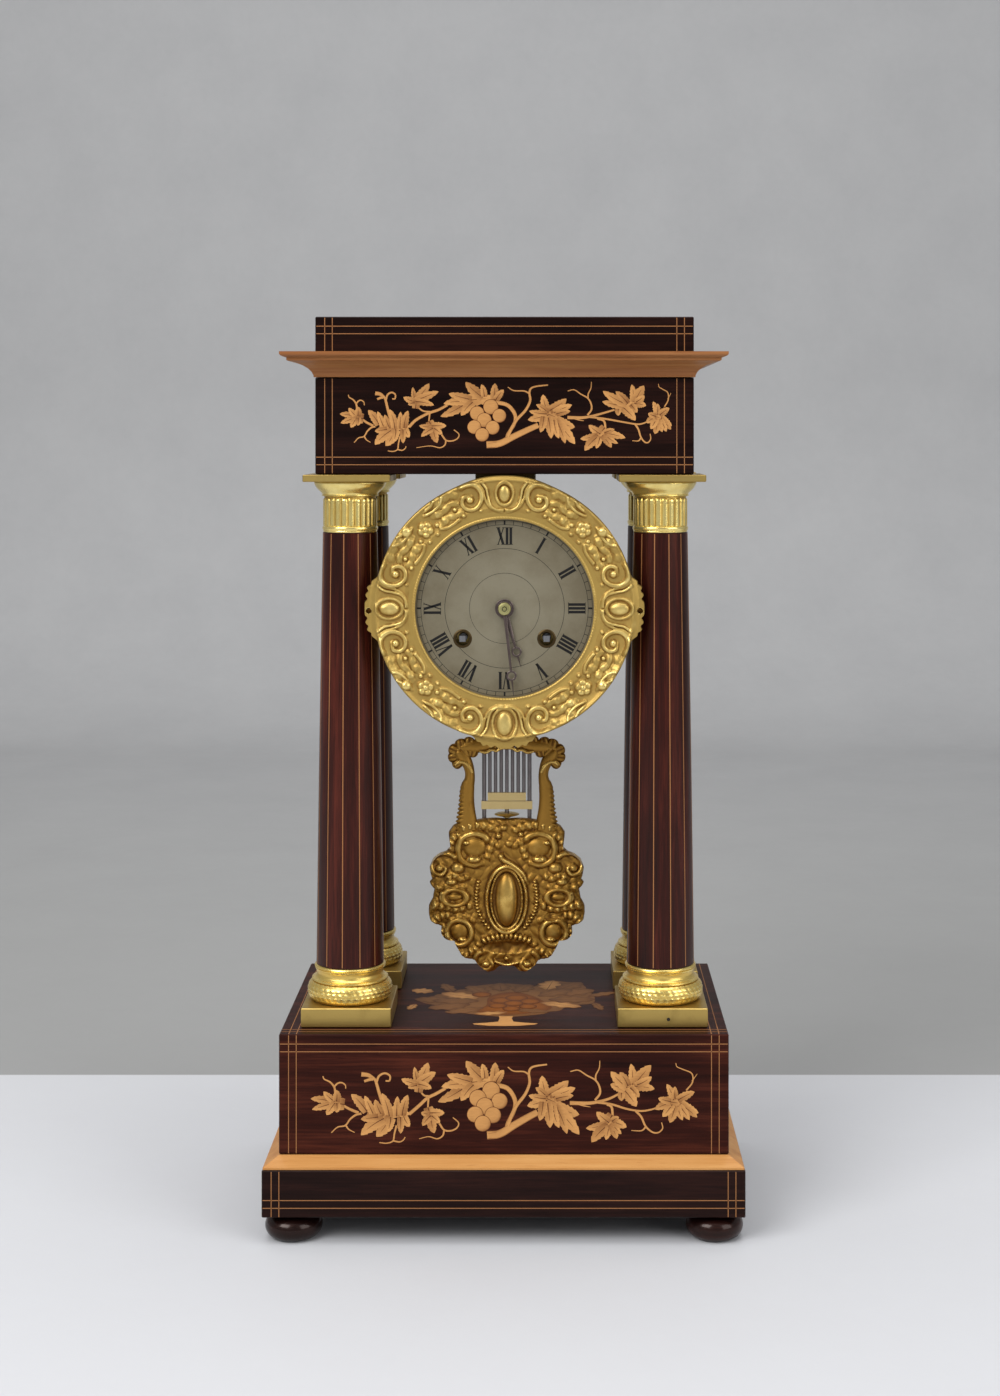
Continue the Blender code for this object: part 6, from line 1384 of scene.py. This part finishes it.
@dataclass
class Dial:
    """The silvered face, in mm: numerals, minute track, circles and collars round the winding holes."""

    middle: Triple = (0.0, -56.3, 327.0)
    numeral_ring: float = 38.2
    numeral_height: float = 8.9
    serif: Spot = (0.4, 0.14)
    track: Spot = (44.2, 46.4)
    ticks: Spot = (0.46, 0.14)
    circles: tuple[Spot, ...] = ((44.2, 0.22), (46.4, 0.2), (31.6, 0.22), (18.6, 0.18))
    winding: Spot = (22.2, -16.0)
    proud: float = 0.03
    deep: float = -0.1
    numerals: tuple[str, ...] = ("XII", "I", "II", "III", "IIII", "V", "VI", "VII", "VIII", "IX", "X", "XI")

    def build(self) -> None:
        """Dress the plate and lay the wax, the rings and the collars."""
        dress(DIAL_SILVER, "dial")
        wax = Shell()
        for turn, text in zip(full_turn(12), self.numerals):
            self._numeral(wax, text, turn)
        for radius, width in self.circles:
            inner, outer = radius - width / 2.0, radius + width / 2.0
            self._round(wax, [(inner, self.proud), (outer, self.proud), (outer, self.deep), (inner, self.deep)],
                        180, self.middle, 0.3)
        for minute, turn in enumerate(full_turn(60)):
            self._patch(wax, 0.0, 0.0, self.ticks[minute % 5 > 0], self.track, turn)
        make_piece("dial_markings", wax, DIAL_WAX, "case", mark="tint")
        collars = Shell()
        for side in (-1.0, 1.0):
            place = (side * self.winding[0], self.middle[1], self.middle[2] + self.winding[1])
            self._round(collars, COLLAR_PROFILE, 72, place, 0.4)
        make_piece("winding_collars", collars, COLLAR_BRASS, "case")

    @staticmethod
    def _round(shell: Shell, profile: Sequence[Spot], turns: int, place: Sequence[float], mark: float) -> None:
        """A turned ring that stands on the dial."""
        grid = turned_grid(np.array(profile) * (1.0, -1.0), turns, place, along_y=True)
        shell.net(grid * MM, mark, round_rows=True)

    def _patch(self, shell: Shell, foot: float, top: float, half: float, reach: Spot, turn: float) -> None:
        """A flat stroke of wax.

        Args:
            shell: where it goes.
            foot: how far across its inner end stands.
            top: how far across its outer end stands.
            half: half its width.
            reach: the distances of both ends from the dial's middle.
            turn: its place, clockwise from twelve.
        """
        s, c = math.sin(turn), math.cos(turn)
        low, high = reach
        across = np.array([foot - half, foot + half, top + half, top - half])
        out = np.array([low, low, high, high])
        rings = [np.stack([across * c + out * s, np.full(4, self.middle[1] - level),
                           out * c - across * s + self.middle[2]], axis=1) for level in (self.proud, self.deep)]
        shell.tube(np.stack(rings) * MM, 0.3)

    def _numeral(self, shell: Shell, text: str, turn: float) -> None:
        """A radial numeral: thick and thin strokes, each (x at top, x at foot, width), with serif lines."""
        low = self.numeral_ring - self.numeral_height / 2.0
        high = low + self.numeral_height
        past, thin = self.serif
        x = -sum(LETTER_WIDTHS[letter] for letter in text) / 2.0
        for letter in text:
            for top, foot, thick in LETTER_STROKES[letter]:
                top, foot, half = x + top, x + foot, thick / 2.0
                self._patch(shell, foot, top, half, (low, high), turn)
                if letter != "V":
                    self._patch(shell, foot, foot, half + past, (low - thin, low + thin), turn)
                self._patch(shell, top, top, half + past, (high - thin, high + thin), turn)
            x += LETTER_WIDTHS[letter]


@dataclass(frozen=True)
class Hand:
    """One hand in mm: its length, where its eye stands on it, its front, its turn, its root and its boss."""

    body: str
    length: float
    eye: float
    front: float
    turn: float
    root: float
    boss: float
    bore: float


@dataclass
class Hands:
    """Two blued hands with open eyes, and the brass dome that holds them, in mm."""

    middle: Spot = (0.0, 327.0)
    hands: tuple[Hand, ...] = (Hand("hour", 32.0, 0.74, -58.3, math.radians(164.5), 1.25, 5.0, 3.5),
                               Hand("minute", 45.5, 0.78, -59.8, math.radians(174.0), 1.0, 4.0, 2.3))
    thick: float = 0.7
    bar: tuple[Spot, ...] = ((-1.0, 1.0), (-0.45, 0.0), (0.45, 0.0), (1.0, 1.0), (1.0, 2.4), (-1.0, 2.4))
    eye: Spot = (2.7, 1.75)
    eye_gap: float = 2.3
    dome: tuple[Spot, ...] = ((1.35, -0.1), (3.4, -0.1), (3.4, 0.5), (3.1, 0.9), (2.2, 1.15), (1.35, 1.2))
    dome_y: float = -60.2

    def build(self) -> None:
        """Make both hands and the dome."""
        for hand in self.hands:
            shell = Shell()
            eye = hand.length * hand.eye
            self._bar(shell, hand, hand.boss * 0.8, eye - self.eye_gap, hand.root, 0.55)
            self._bar(shell, hand, eye + self.eye_gap, hand.length, 0.5, 0.12)
            self._ring(shell, hand, eye, *self.eye)
            self._ring(shell, hand, 0.0, hand.boss, hand.bore)
            make_piece(f"open_eye_{hand.body}", shell, BLUED_STEEL, f"{hand.body}_work",
                       [f"{hand.body}_hand"], smooth=30.0)
        place = (self.middle[0], self.dome_y, self.middle[1])
        grid = turned_grid(np.array(self.dome) * (1.0, -1.0), 72, place, along_y=True)
        make_piece("hand_dome", Shell().net(grid * MM, 0.7, round_rows=True), DOME_BRASS, "minute_work",
                   ["hand_collet"])
        dress(DOME_BRASS, "centre_arbor")

    def _turned(self, hand: Hand, across: np.ndarray, out: np.ndarray, level: float) -> np.ndarray:
        """Places across and along a hand, turned to the time, at a level that is nought in front and one behind."""
        s, c = math.sin(hand.turn), math.cos(hand.turn)
        return np.stack(np.broadcast_arrays(across * c + out * s, hand.front + self.thick * level,
                                            out * c - across * s + self.middle[1]), axis=-1) * MM

    def _bar(self, shell: Shell, hand: Hand, start: float, end: float, wide: float, narrow: float) -> None:
        """A tapered bar whose front is bevelled to a low ridge."""
        out = np.linspace(start, end, 10)
        half = np.linspace(wide, narrow, 10)
        rings = [self._turned(hand, half * side, out, level / 2.4) for side, level in self.bar]
        shell.tube(np.stack(rings, axis=1), 0.5)

    def _ring(self, shell: Shell, hand: Hand, out: float, outer: float, inner: float) -> None:
        """A flat ring with broken edges."""
        way = full_turn(64)
        section = ((inner, 0.15), (inner + 0.15, 0.0), (outer - 0.2, 0.0), (outer, 0.2), (outer, 1.0), (inner, 1.0))
        rings = [self._turned(hand, reach * np.sin(way), out + reach * np.cos(way), level)
                 for reach, level in section]
        shell.net(np.stack(rings), 0.5, round_rows=True)


BOB_OUTLINE = (
    (0.0, 43.0), (16.4, 45.0), (24.0, 46.2), (31.3, 48.8), (37.0, 49.4), (42.0, 48.2), (45.5, 44.6), (48.7, 41.7),
    (53.1, 42.0), (58.0, 44.6), (63.0, 46.0), (69.0, 45.8), (74.5, 43.6), (76.6, 42.4), (79.1, 43.6), (81.2, 42.6),
    (83.5, 40.3), (91.0, 41.0), (96.2, 43.4), (102.0, 44.2), (107.2, 44.4), (110.7, 42.0), (114.0, 39.6),
    (119.4, 41.8), (123.9, 41.6), (129.4, 37.9), (136.0, 39.5), (143.3, 41.1), (148.5, 40.4), (152.8, 38.9),
    (157.0, 40.8), (162.3, 41.9), (166.5, 43.0), (170.3, 41.6), (173.5, 38.8), (180.0, 38.0))
BOB_STROKES = (
    (((9.6, 30.4), (12.4, 34.2), (18.4, 35.6), (24.4, 33.0), (26.8, 27.2), (25.0, 21.2), (19.4, 18.2),
      (13.4, 19.4)), 2.1, 1.8, 2.5),
    (((2.6, 36.6), (9.0, 39.2), (17.0, 40.4), (26.0, 38.4)), 2.4, 3.6, 2.5, 0.35, 6.0, 0.35),
    (((25.0, 35.4), (30.0, 32.6), (33.0, 26.6)), 2.2, 3.0, 2.3, 0.35, 4.0, 0.35),
    (((3.4, 27.0), (7.0, 31.0), (9.2, 26.4), (11.0, 21.0)), 1.9, 2.4, 1.8, 0.35, 4.0, 0.3),
    (((27.0, 21.4), (31.4, 24.2), (37.4, 24.4), (41.6, 20.0), (40.6, 14.4), (36.2, 12.8), (33.8, 16.0),
      (36.4, 18.4)), 1.7, 1.2, 2.7),
    (((20.4, 13.0), (24.6, 10.4), (30.0, 12.6), (33.0, 10.0)), 2.0, 2.6, 2.1, 0.35, 4.0, 0.3),
    (((21.6, 7.0), (26.0, 5.4), (32.0, 6.4), (40.0, 5.0)), 1.8, 2.8, 2.0, 0.35, 4.0, 0.3),
    (((22.4, -5.6), (28.0, -6.4), (34.0, -5.2), (41.6, -4.0)), 2.0, 3.2, 2.8, 0.4, 5.0, 0.4),
    (((31.0, -9.6), (37.0, -10.4), (41.4, -14.2)), 2.4, 3.0, 2.3, 0.35, 4.0, 0.3),
    (((17.0, -14.0), (21.0, -10.8), (26.0, -10.6), (31.6, -14.0)), 1.7, 2.8, 2.0, 0.35, 4.0, 0.3),
    (((33.0, -15.4), (36.6, -19.6), (37.0, -24.8)), 2.4, 3.0, 2.2, 0.4, 4.0, 0.35),
    (((32.4, -25.0), (28.4, -29.6), (21.6, -33.6)), 2.4, 3.0, 2.2, 0.4, 5.0, 0.35),
    (((14.6, -24.4), (17.2, -28.6), (21.0, -30.4)), 1.9, 2.6, 2.0, 0.35, 3.0, 0.3),
    (((13.4, -29.0), (17.0, -32.4), (16.6, -37.6), (11.6, -40.0), (7.8, -37.2), (9.6, -34.2)), 1.7, 1.2, 2.5))
BOB_RINGS = ((28.8, 0.2, 6.6, 4.4, 1.4, 2.2, 0.0), (26.2, -19.2, 6.8, 7.0, 1.7, 2.4, 0.5))
BOB_BOSSES = (
    (17.8, 28.0, 6.4, 5.4, 2.1), (18.2, 21.4, 4.4, 2.4, 3.3), (27.0, 16.6, 3.8, 3.2, 2.8), (37.2, 16.4, 2.2, 2.0, 2.4),
    (30.6, 8.8, 3.2, 2.2, 3.0), (28.8, 0.4, 4.0, 2.0, 1.7), (26.0, -18.8, 4.6, 4.8, 2.0), (24.6, -23.0, 2.8, 1.5, 2.6),
    (11.4, -36.8, 2.4, 2.0, 2.7), (22.4, 30.6, 2.4, 1.6, 2.8), (35.6, 2.6, 1.3, 1.3, 2.2), (20.6, -4.6, 1.6, 2.4, 1.6))
BOB_BUDS = ((-4.5, 34.4, 1.8, 1.8, 2.6), (7.9, 35.3, 1.6, 1.6, 2.4), (1.6, 30.0, 2.6, 2.0, 1.8),
            (-1.6, 38.8, 2.6, 1.8, 2.0), (0.0, -33.4, 1.4, 1.3, 2.4))
BOB_HOLLOWS = ((0.2, -27.4, 13.6, 3.4, 1.6), (24.6, -10.4, 4.0, 2.4, 1.6))


@dataclass
class Bob:
    """The cast bob, in mm: a scalloped plate with shells, scrolls and a burnished oval, and its lyre.

    The outline table holds (degrees from the top, radius) of the right half. A stroke is its line, its half
    widths, its height, its notches, lobes and veins; a ring and a boss are a place, half width, half height,
    then band and height, or height. Strokes, rings and bosses lie on both sides, buds and hollows where they say.
    """

    middle: Spot = (0.0, 162.5)
    back_y: float = 1.2
    edge: float = 1.6
    ground: Spot = (2.6, 2.6)
    ripple: float = 0.4
    ripples: float = 30.0
    oval: Triple = (-0.8, 12.4, 19.4)
    spray: tuple[Spot, ...] = ((-3.5, 25.0), (-2.2, 21.5), (3.0, 18.6), (8.6, 14.0), (11.6, 8.0))
    foot_leaf: tuple[Spot, ...] = ((-7.0, -34.8), (0.0, -37.2), (7.0, -35.4))
    swag: Triple = (12.4, -20.8, 2.6)
    swag_beads: int = 11
    side_beads: int = 15
    turns: int = 720
    rows: int = 78

    def outline(self, turn: np.ndarray) -> np.ndarray:
        """The rim's distance from the middle, the same on the left as on the right."""
        off = np.degrees(np.abs((turn + math.pi) % TAU - math.pi))
        return np.interp(off, *zip(*BOB_OUTLINE))

    def build(self) -> None:
        """Make the casting and the lyre as one piece."""
        turn = full_turn(self.turns)
        outer = self.outline(turn)
        outer = (np.roll(outer, 1) + 2.0 * outer + np.roll(outer, -1)) / 4.0
        share = np.linspace(1.0, 0.0, self.rows)[:, None] ** 0.9
        relief = Relief(outer * share * np.sin(turn), outer * share * np.cos(turn))
        self._ornament(relief)
        flat, dome = self.ground
        ground = flat + dome * np.sqrt(np.clip(1.0 - share ** 4, 0.0, 1.0))
        ripple = self.ripple * np.clip((share - 0.8) / 0.2, 0.0, 1.0) * np.abs(np.sin(turn * self.ripples))
        thick = ground + relief.height + ripple
        thick[0] = self.edge
        x = np.concatenate([np.zeros((1, self.turns)), outer[None] * np.sin(turn), relief.x])
        z = np.concatenate([np.zeros((1, self.turns)), outer[None] * np.cos(turn), relief.z])
        y = self.back_y - np.concatenate([np.zeros((2, self.turns)), thick])
        points = np.stack([self.middle[0] + x, y, self.middle[1] + z], axis=-1)
        # The relief value gives the gilding its painted highlight on the heights and painted shade in the hollows.
        marks = np.concatenate([np.full((2, self.turns), 0.3), relief.marks()])
        shell = Shell().net(points * MM, marks)
        Lyre().build(shell)
        make_piece("cast_bob", shell, BOB_GILT, "bob", ["pendulum_bob"], smooth=60.0)

    def _ornament(self, relief: Relief) -> None:
        """Lay a leafy ground and the oval, then each motif on both sides, and press in the hollows."""
        x, z = relief.x, relief.z
        leafy = np.abs(np.sin(x * 0.62 + 1.6 * np.sin(z * 0.3))) * np.abs(np.sin(z * 0.52 + 1.3 * np.sin(x * 0.33)))
        middle, wide, long = self.oval
        relief.lay(0.7 * leafy)
        relief.height = relief.height * np.clip((np.hypot(x / wide, (z - middle) / long) - 1.0) * 8.0, 0.0, 1.0)
        relief.boss(0.0, middle, 6.0, 14.8, 4.2)
        relief.ring(0.0, middle, 8.6, 16.4, 0.6, 1.6)
        relief.ring(0.0, middle, 11.0, 18.2, 0.9, 2.4)
        relief.stroke(self.spray, 1.7, 1.1, 3.0)
        for hand in (-1.0, 1.0):
            self._half(relief, hand)
        for bud in BOB_BUDS:
            relief.boss(*bud)
        reach, level, drop = self.swag
        for place in np.linspace(-1.0, 1.0, self.swag_beads):
            relief.boss(place * reach, level - drop * place ** 2, 1.3, 2.1, 2.8, place * 0.6)
        relief.stroke(self.foot_leaf, 1.0, 1.0, 2.2)
        for hollow in BOB_HOLLOWS:
            relief.dent(*hollow)

    def _half(self, relief: Relief, hand: float) -> None:
        """One side: shells, scrolls and leaves, the rings, the bosses and the row of beads by the oval."""
        for points, *shape in BOB_STROKES:
            relief.stroke(np.array(points) * (hand, 1.0), *shape)
        for x, z, wide, long, band, high, lean in BOB_RINGS:
            relief.ring(hand * x, z, wide, long, band, high, hand * lean)
        for x, *shape in BOB_BOSSES:
            relief.boss(hand * x, *shape)
        for share in np.linspace(0.0, 1.0, self.side_beads):
            x, z = 15.6 + 1.6 * math.sin(share * math.pi) - 5.6 * share ** 3, 9.2 - 25.4 * share
            relief.boss(hand * x, z, 1.25, 0.9, 2.0)


@dataclass
class Lyre:
    """The lyre above the bob, in mm: two smooth arms that end in leafy heads, and the garland across them.

    A limb's table holds (x, z, half width) along it, and a leaflet is its place, its size and its lean in
    degrees. Each lies on both sides.
    """

    y: float = -1.9
    arm: tuple[Triple, ...] = (
        (21.0, 192.0, 6.4), (22.0, 199.0, 6.2), (22.2, 205.8, 5.6), (22.2, 210.4, 4.8), (22.2, 214.9, 4.3),
        (22.1, 219.4, 4.1), (21.6, 223.9, 3.8), (20.6, 227.4, 3.0), (20.4, 231.0, 2.7), (21.2, 235.0, 2.9),
        (23.0, 238.6, 3.4), (25.6, 241.4, 3.6), (27.4, 243.6, 2.4))
    garland: tuple[Triple, ...] = (
        (0.0, 249.2, 2.6), (5.0, 249.0, 2.8), (10.0, 247.2, 3.2), (16.0, 246.0, 3.6), (21.0, 246.0, 3.6),
        (25.0, 245.0, 2.6))
    ridge: tuple[Triple, ...] = (
        (28.6, 236.0, 0.6), (26.4, 237.6, 1.0), (23.4, 237.4, 1.1), (20.8, 235.2, 1.1), (19.0, 231.8, 0.8))
    lip: tuple[Triple, ...] = (
        (0.0, 245.4, 0.8), (3.4, 245.2, 0.9), (5.6, 243.8, 0.8), (8.4, 244.4, 0.8), (11.4, 243.0, 0.9),
        (15.0, 243.6, 0.7))
    leaflets: tuple[tuple[float, float, float, float], ...] = (
        (25.0, 246.0, 4.4, 12.0), (21.0, 247.6, 3.8, -12.0), (28.4, 243.8, 4.0, 68.0), (29.0, 240.2, 3.6, 100.0),
        (27.0, 236.8, 3.4, 130.0), (24.0, 242.4, 4.8, 40.0), (18.8, 243.6, 3.8, 165.0), (15.4, 248.6, 3.2, -20.0),
        (9.4, 249.8, 3.0, 15.0), (12.6, 244.8, 3.0, 165.0), (7.2, 246.2, 2.8, 190.0), (2.6, 247.2, 2.5, 175.0))
    bead: float = 2.3

    def build(self, shell: Shell) -> None:
        """Add the arms, the garland, the leafy heads and their edges, painted bright as a highlight, to a shell."""
        limbs = ((self.arm, 0.0, 2.9, 0.28), (self.garland, 0.0, 2.4, 0.1), (self.ridge, 2.4, 0.9, 0.0),
                 (self.lip, 1.9, 0.9, 0.0))
        for hand in (-1.0, 1.0):
            for places, ahead, deep, beads in limbs:
                self._limb(shell, places, hand, self.y - ahead, deep, beads)
            for x, z, size, lean in self.leaflets:
                self._leaflet(shell, hand * x, z, size, math.radians(hand * lean))

    def _limb(self, shell: Shell, places: Sequence[Triple], hand: float, y: float, deep: float,
              beads: float) -> None:
        """A limb along a line: an oval section, with slanting beads on the outer edge of its lower half.

        Args:
            shell: where it goes.
            places: x, z and half width along it.
            hand: one for the right side, minus one for the left.
            y: the depth of its middle.
            deep: its greatest half depth.
            beads: how far the beads stand out, as a share of its width.
        """
        path = smooth_line(np.array(places) * (hand, 1.0, 1.0), 9)
        line, size = path[:, :2], path[:, 2:]
        ahead = np.gradient(line, axis=0)
        ahead /= np.linalg.norm(ahead, axis=1)[:, None]
        side = np.stack([ahead[:, 1], -ahead[:, 0]], axis=1)
        turn = full_turn(40)
        length = np.concatenate([[0.0], np.cumsum(np.linalg.norm(np.diff(line, axis=0), axis=1))])[:, None]
        lower = np.clip(2.2 - 3.4 * length / length[-1], 0.0, 1.0)
        outer = np.clip(hand * np.cos(turn) * 2.2 - 0.6, 0.0, 1.0) * lower
        bead = np.abs(np.sin(length / self.bead * math.pi + np.sin(turn) * 0.9)) ** 0.7 * outer
        reach = 1.0 - beads * outer + beads * 1.3 * bead
        wide = reach * size * np.cos(turn)
        out = reach * np.minimum(size, deep) * np.sin(turn)
        x, z = line[:, :1] + side[:, :1] * wide, line[:, 1:] + side[:, 1:] * wide
        rings = np.stack([x, y + out * 0.95, z], axis=-1)
        thin = 0.35 if deep < 1.0 else 0.0
        # Bead crests and the thin ridge and lip are painted bright, a painted highlight; between the beads and towards
        # both sides of the limb they are darker, painted shade.
        marks = 0.42 + thin + 0.4 * bead - 0.25 * outer - 0.12 * np.abs(np.cos(turn)) ** 3
        shell.tube(rings * MM, np.clip(marks, 0.0, 1.0))

    def _leaflet(self, shell: Shell, x: float, z: float, size: float, lean: float) -> None:
        """A small cupped leaf: an egg with six folds, pointed at the top."""
        up, turn = np.meshgrid(np.linspace(0.0, math.pi, 13), full_turn(24), indexing="ij")
        fold = np.cos(turn * 6.0)
        swell = np.sin(up) * (1.25 - 0.6 * up / math.pi) * (1.0 + 0.12 * fold * np.sin(up)) * size
        across, deep = swell * np.cos(turn) * 0.8, swell * np.sin(turn) * 0.5
        ahead = (-np.cos(up) + 0.35 * np.sin(up) ** 2) * size
        s, c = math.sin(lean), math.cos(lean)
        points = np.stack([x + across * c + ahead * s, self.y + deep, z + ahead * c - across * s], axis=-1)
        # The folds' ridges are painted lighter and their valleys darker: painted highlight and shade.
        shell.net(points * MM, np.clip(0.3 + 0.3 * fold, 0.0, 1.0))


WORKS_FINISHES = (
    (CLEAN_BRASS, ("movement_drum", "back_door", "front_plate", "back_plate", "strike_barrel", "going_barrel",
                   "hour_wheel", "minute_wheel", "escape_wheel", "back_cock")),
    (HANGER_BRASS, ("drum_hanger",)),
    (CORE_BARS, ("gridiron_core",)),
    (FRAME_BARS, ("gridiron_frame",)),
    (DARK_STEEL, ("pendulum_rod", "suspension_spring", "anchor_and_crutch")),
    (BRIGHT_STEEL, ("cannon_pinion", "strike_winding_arbor", "going_winding_arbor", "bell_stand", "strike_hammer")),
    (BELL_BRONZE, ("bell",)))


@dataclass
class Works:
    """The drum, the movement in it and the gridiron, frame nodes with their own finishes, and the rating nut.

    The nut's profile counts in its radius and its height.
    """

    nut_radius: float = 7.0 * MM
    nut_height: float = 2.0 * MM
    nut_bore: float = 1.5 * MM
    nut_place: Triple = (0.0, 3.0 * MM, 206.6 * MM)
    nut_side: tuple[Spot, ...] = ((0.4, 1.0), (0.75, 0.84), (0.95, 0.62), (1.0, 0.5), (0.95, 0.38), (0.75, 0.16),
                                  (0.4, 0.0), (0.3, 0.0), (0.3, -0.38))
    nut_turns: int = 144
    knurls: float = 72.0
    knurl_depth: float = 0.12 * MM

    def build(self) -> None:
        """Dress each node by what it is made of and turn the rating nut."""
        for finish, nodes in WORKS_FINISHES:
            dress(finish, *nodes)
        bore = self.nut_bore / self.nut_radius
        profile = np.vstack([[(bore, self.nut_side[0][1])], self.nut_side, [(bore, self.nut_side[-1][1])]])
        ridge = np.abs(np.cos(full_turn(self.nut_turns) * self.knurls / 2.0))
        knurl = np.where(profile[:, :1] > 0.94, -self.knurl_depth * ridge, 0.0)
        grid = turned_grid(profile * (self.nut_radius, self.nut_height), self.nut_turns, self.nut_place,
                           swell=knurl)
        make_piece("knurled_nut", Shell().net(grid, 0.5, round_rows=True), DULL_BRASS, "rating",
                   ["rating_nut"])


@dataclass
class Studio:
    """A pale floor with a grey wall tone behind it, soft lamps and the camera of the photograph."""

    eye: Triple = (0.024, -1.172, 0.4186)
    focal_px: float = 2111.0
    centre_px: Spot = (550.0, 435.0)
    image: tuple[int, int] = (1000, 1396)
    sensor: float = 36.0
    clip: Spot = (0.01, 50.0)
    wall_line: float = 0.209
    bend: Triple = (1.6, 2.1, 0.5)
    half_width: float = 3.5
    front: float = -3.0
    height: float = 3.0
    sky: Colour = (0.95, 0.97, 1.0, 1.0)
    sky_strength: float = 0.36
    lamps: tuple[tuple[str, Triple, Spot, float], ...] = (
        ("key_lamp", (-1.3, -1.6, 1.7), (1.5, 1.2), 48.0), ("fill_lamp", (1.6, -1.3, 1.1), (1.4, 1.4), 19.0),
        ("top_lamp", (0.0, -0.1, 2.0), (1.8, 1.6), 27.0))
    target: Triple = (0.0, 0.0, 0.25)

    def build(self) -> None:
        """Set up floor, world, lamps and camera."""
        self._ground()
        self._world()
        for lamp in self.lamps:
            self._lamp(*lamp)
        self._camera()
        bpy.context.scene.view_settings.view_transform = "Standard"

    def _ground(self) -> None:
        """A floor that curves up into a backdrop far behind the clock."""
        start, end, radius = self.bend
        turn = np.linspace(0.0, math.pi / 2.0, 24)
        bend = np.stack([start + radius * np.sin(turn), radius - radius * np.cos(turn)], axis=1)
        side = np.vstack([[(self.front, 0.0)], bend, [(end, self.height)]])
        grid = np.stack([np.insert(side, 0, x, axis=1) for x in (-self.half_width, self.half_width)], axis=1)
        mesh = bpy.data.meshes.new("floor_and_backdrop")
        mesh.from_pydata(grid.reshape(-1, 3).tolist(), [], grid_faces(len(side), 2).tolist())
        mesh.polygons.foreach_set("use_smooth", np.ones(len(mesh.polygons), dtype=bool))
        mesh.materials.append(Ground("ground", self.wall_line, end).material())
        made = bpy.data.objects.new("floor_and_backdrop", mesh)
        bpy.context.scene.collection.objects.link(made)

    def _world(self) -> None:
        """Even light from all round."""
        world = bpy.data.worlds.new("soft_room")
        bpy.context.scene.world = world
        world.use_nodes = True
        back = world.node_tree.nodes["Background"]
        back.inputs[0].default_value = self.sky
        back.inputs[1].default_value = self.sky_strength

    def _lamp(self, name: str, place: Triple, size: Spot, power: float) -> None:
        """A rectangular lamp that faces the clock."""
        light = bpy.data.lights.new(name, "AREA")
        light.shape, light.size, light.size_y, light.energy = "RECTANGLE", size[0], size[1], power
        made = bpy.data.objects.new(name, light)
        made.location = place
        made.rotation_mode = "QUATERNION"
        made.rotation_quaternion = (Vector(self.target) - Vector(place)).to_track_quat("-Z", "Y")
        bpy.context.scene.collection.objects.link(made)

    def _camera(self) -> None:
        """A level camera whose shift puts the vanishing point where the photograph has it."""
        data = bpy.data.cameras.new("camera")
        data.sensor_fit = "VERTICAL"
        data.sensor_height = data.sensor_width = self.sensor
        wide, tall = self.image
        data.lens = self.focal_px / tall * data.sensor_height
        data.shift_x = (wide / 2.0 - self.centre_px[0]) / tall
        data.shift_y = (self.centre_px[1] - tall / 2.0) / tall
        data.clip_start, data.clip_end = self.clip
        made = bpy.data.objects.new("camera", data)
        made.location = self.eye
        made.rotation_euler = (math.pi / 2.0, 0.0, 0.0)
        bpy.context.scene.collection.objects.link(made)
        bpy.context.scene.camera = made


def main() -> None:
    """Build every sub-assembly in order."""
    logging.basicConfig(level=logging.INFO, format="%(name)s %(message)s")
    for part in (Studio(), Case(), Columns(), Bezel(), Dial(), Hands(), Bob(), Works()):
        LOG.info("%s", type(part).__name__)
        part.build()


if __name__ == "__main__":
    main()
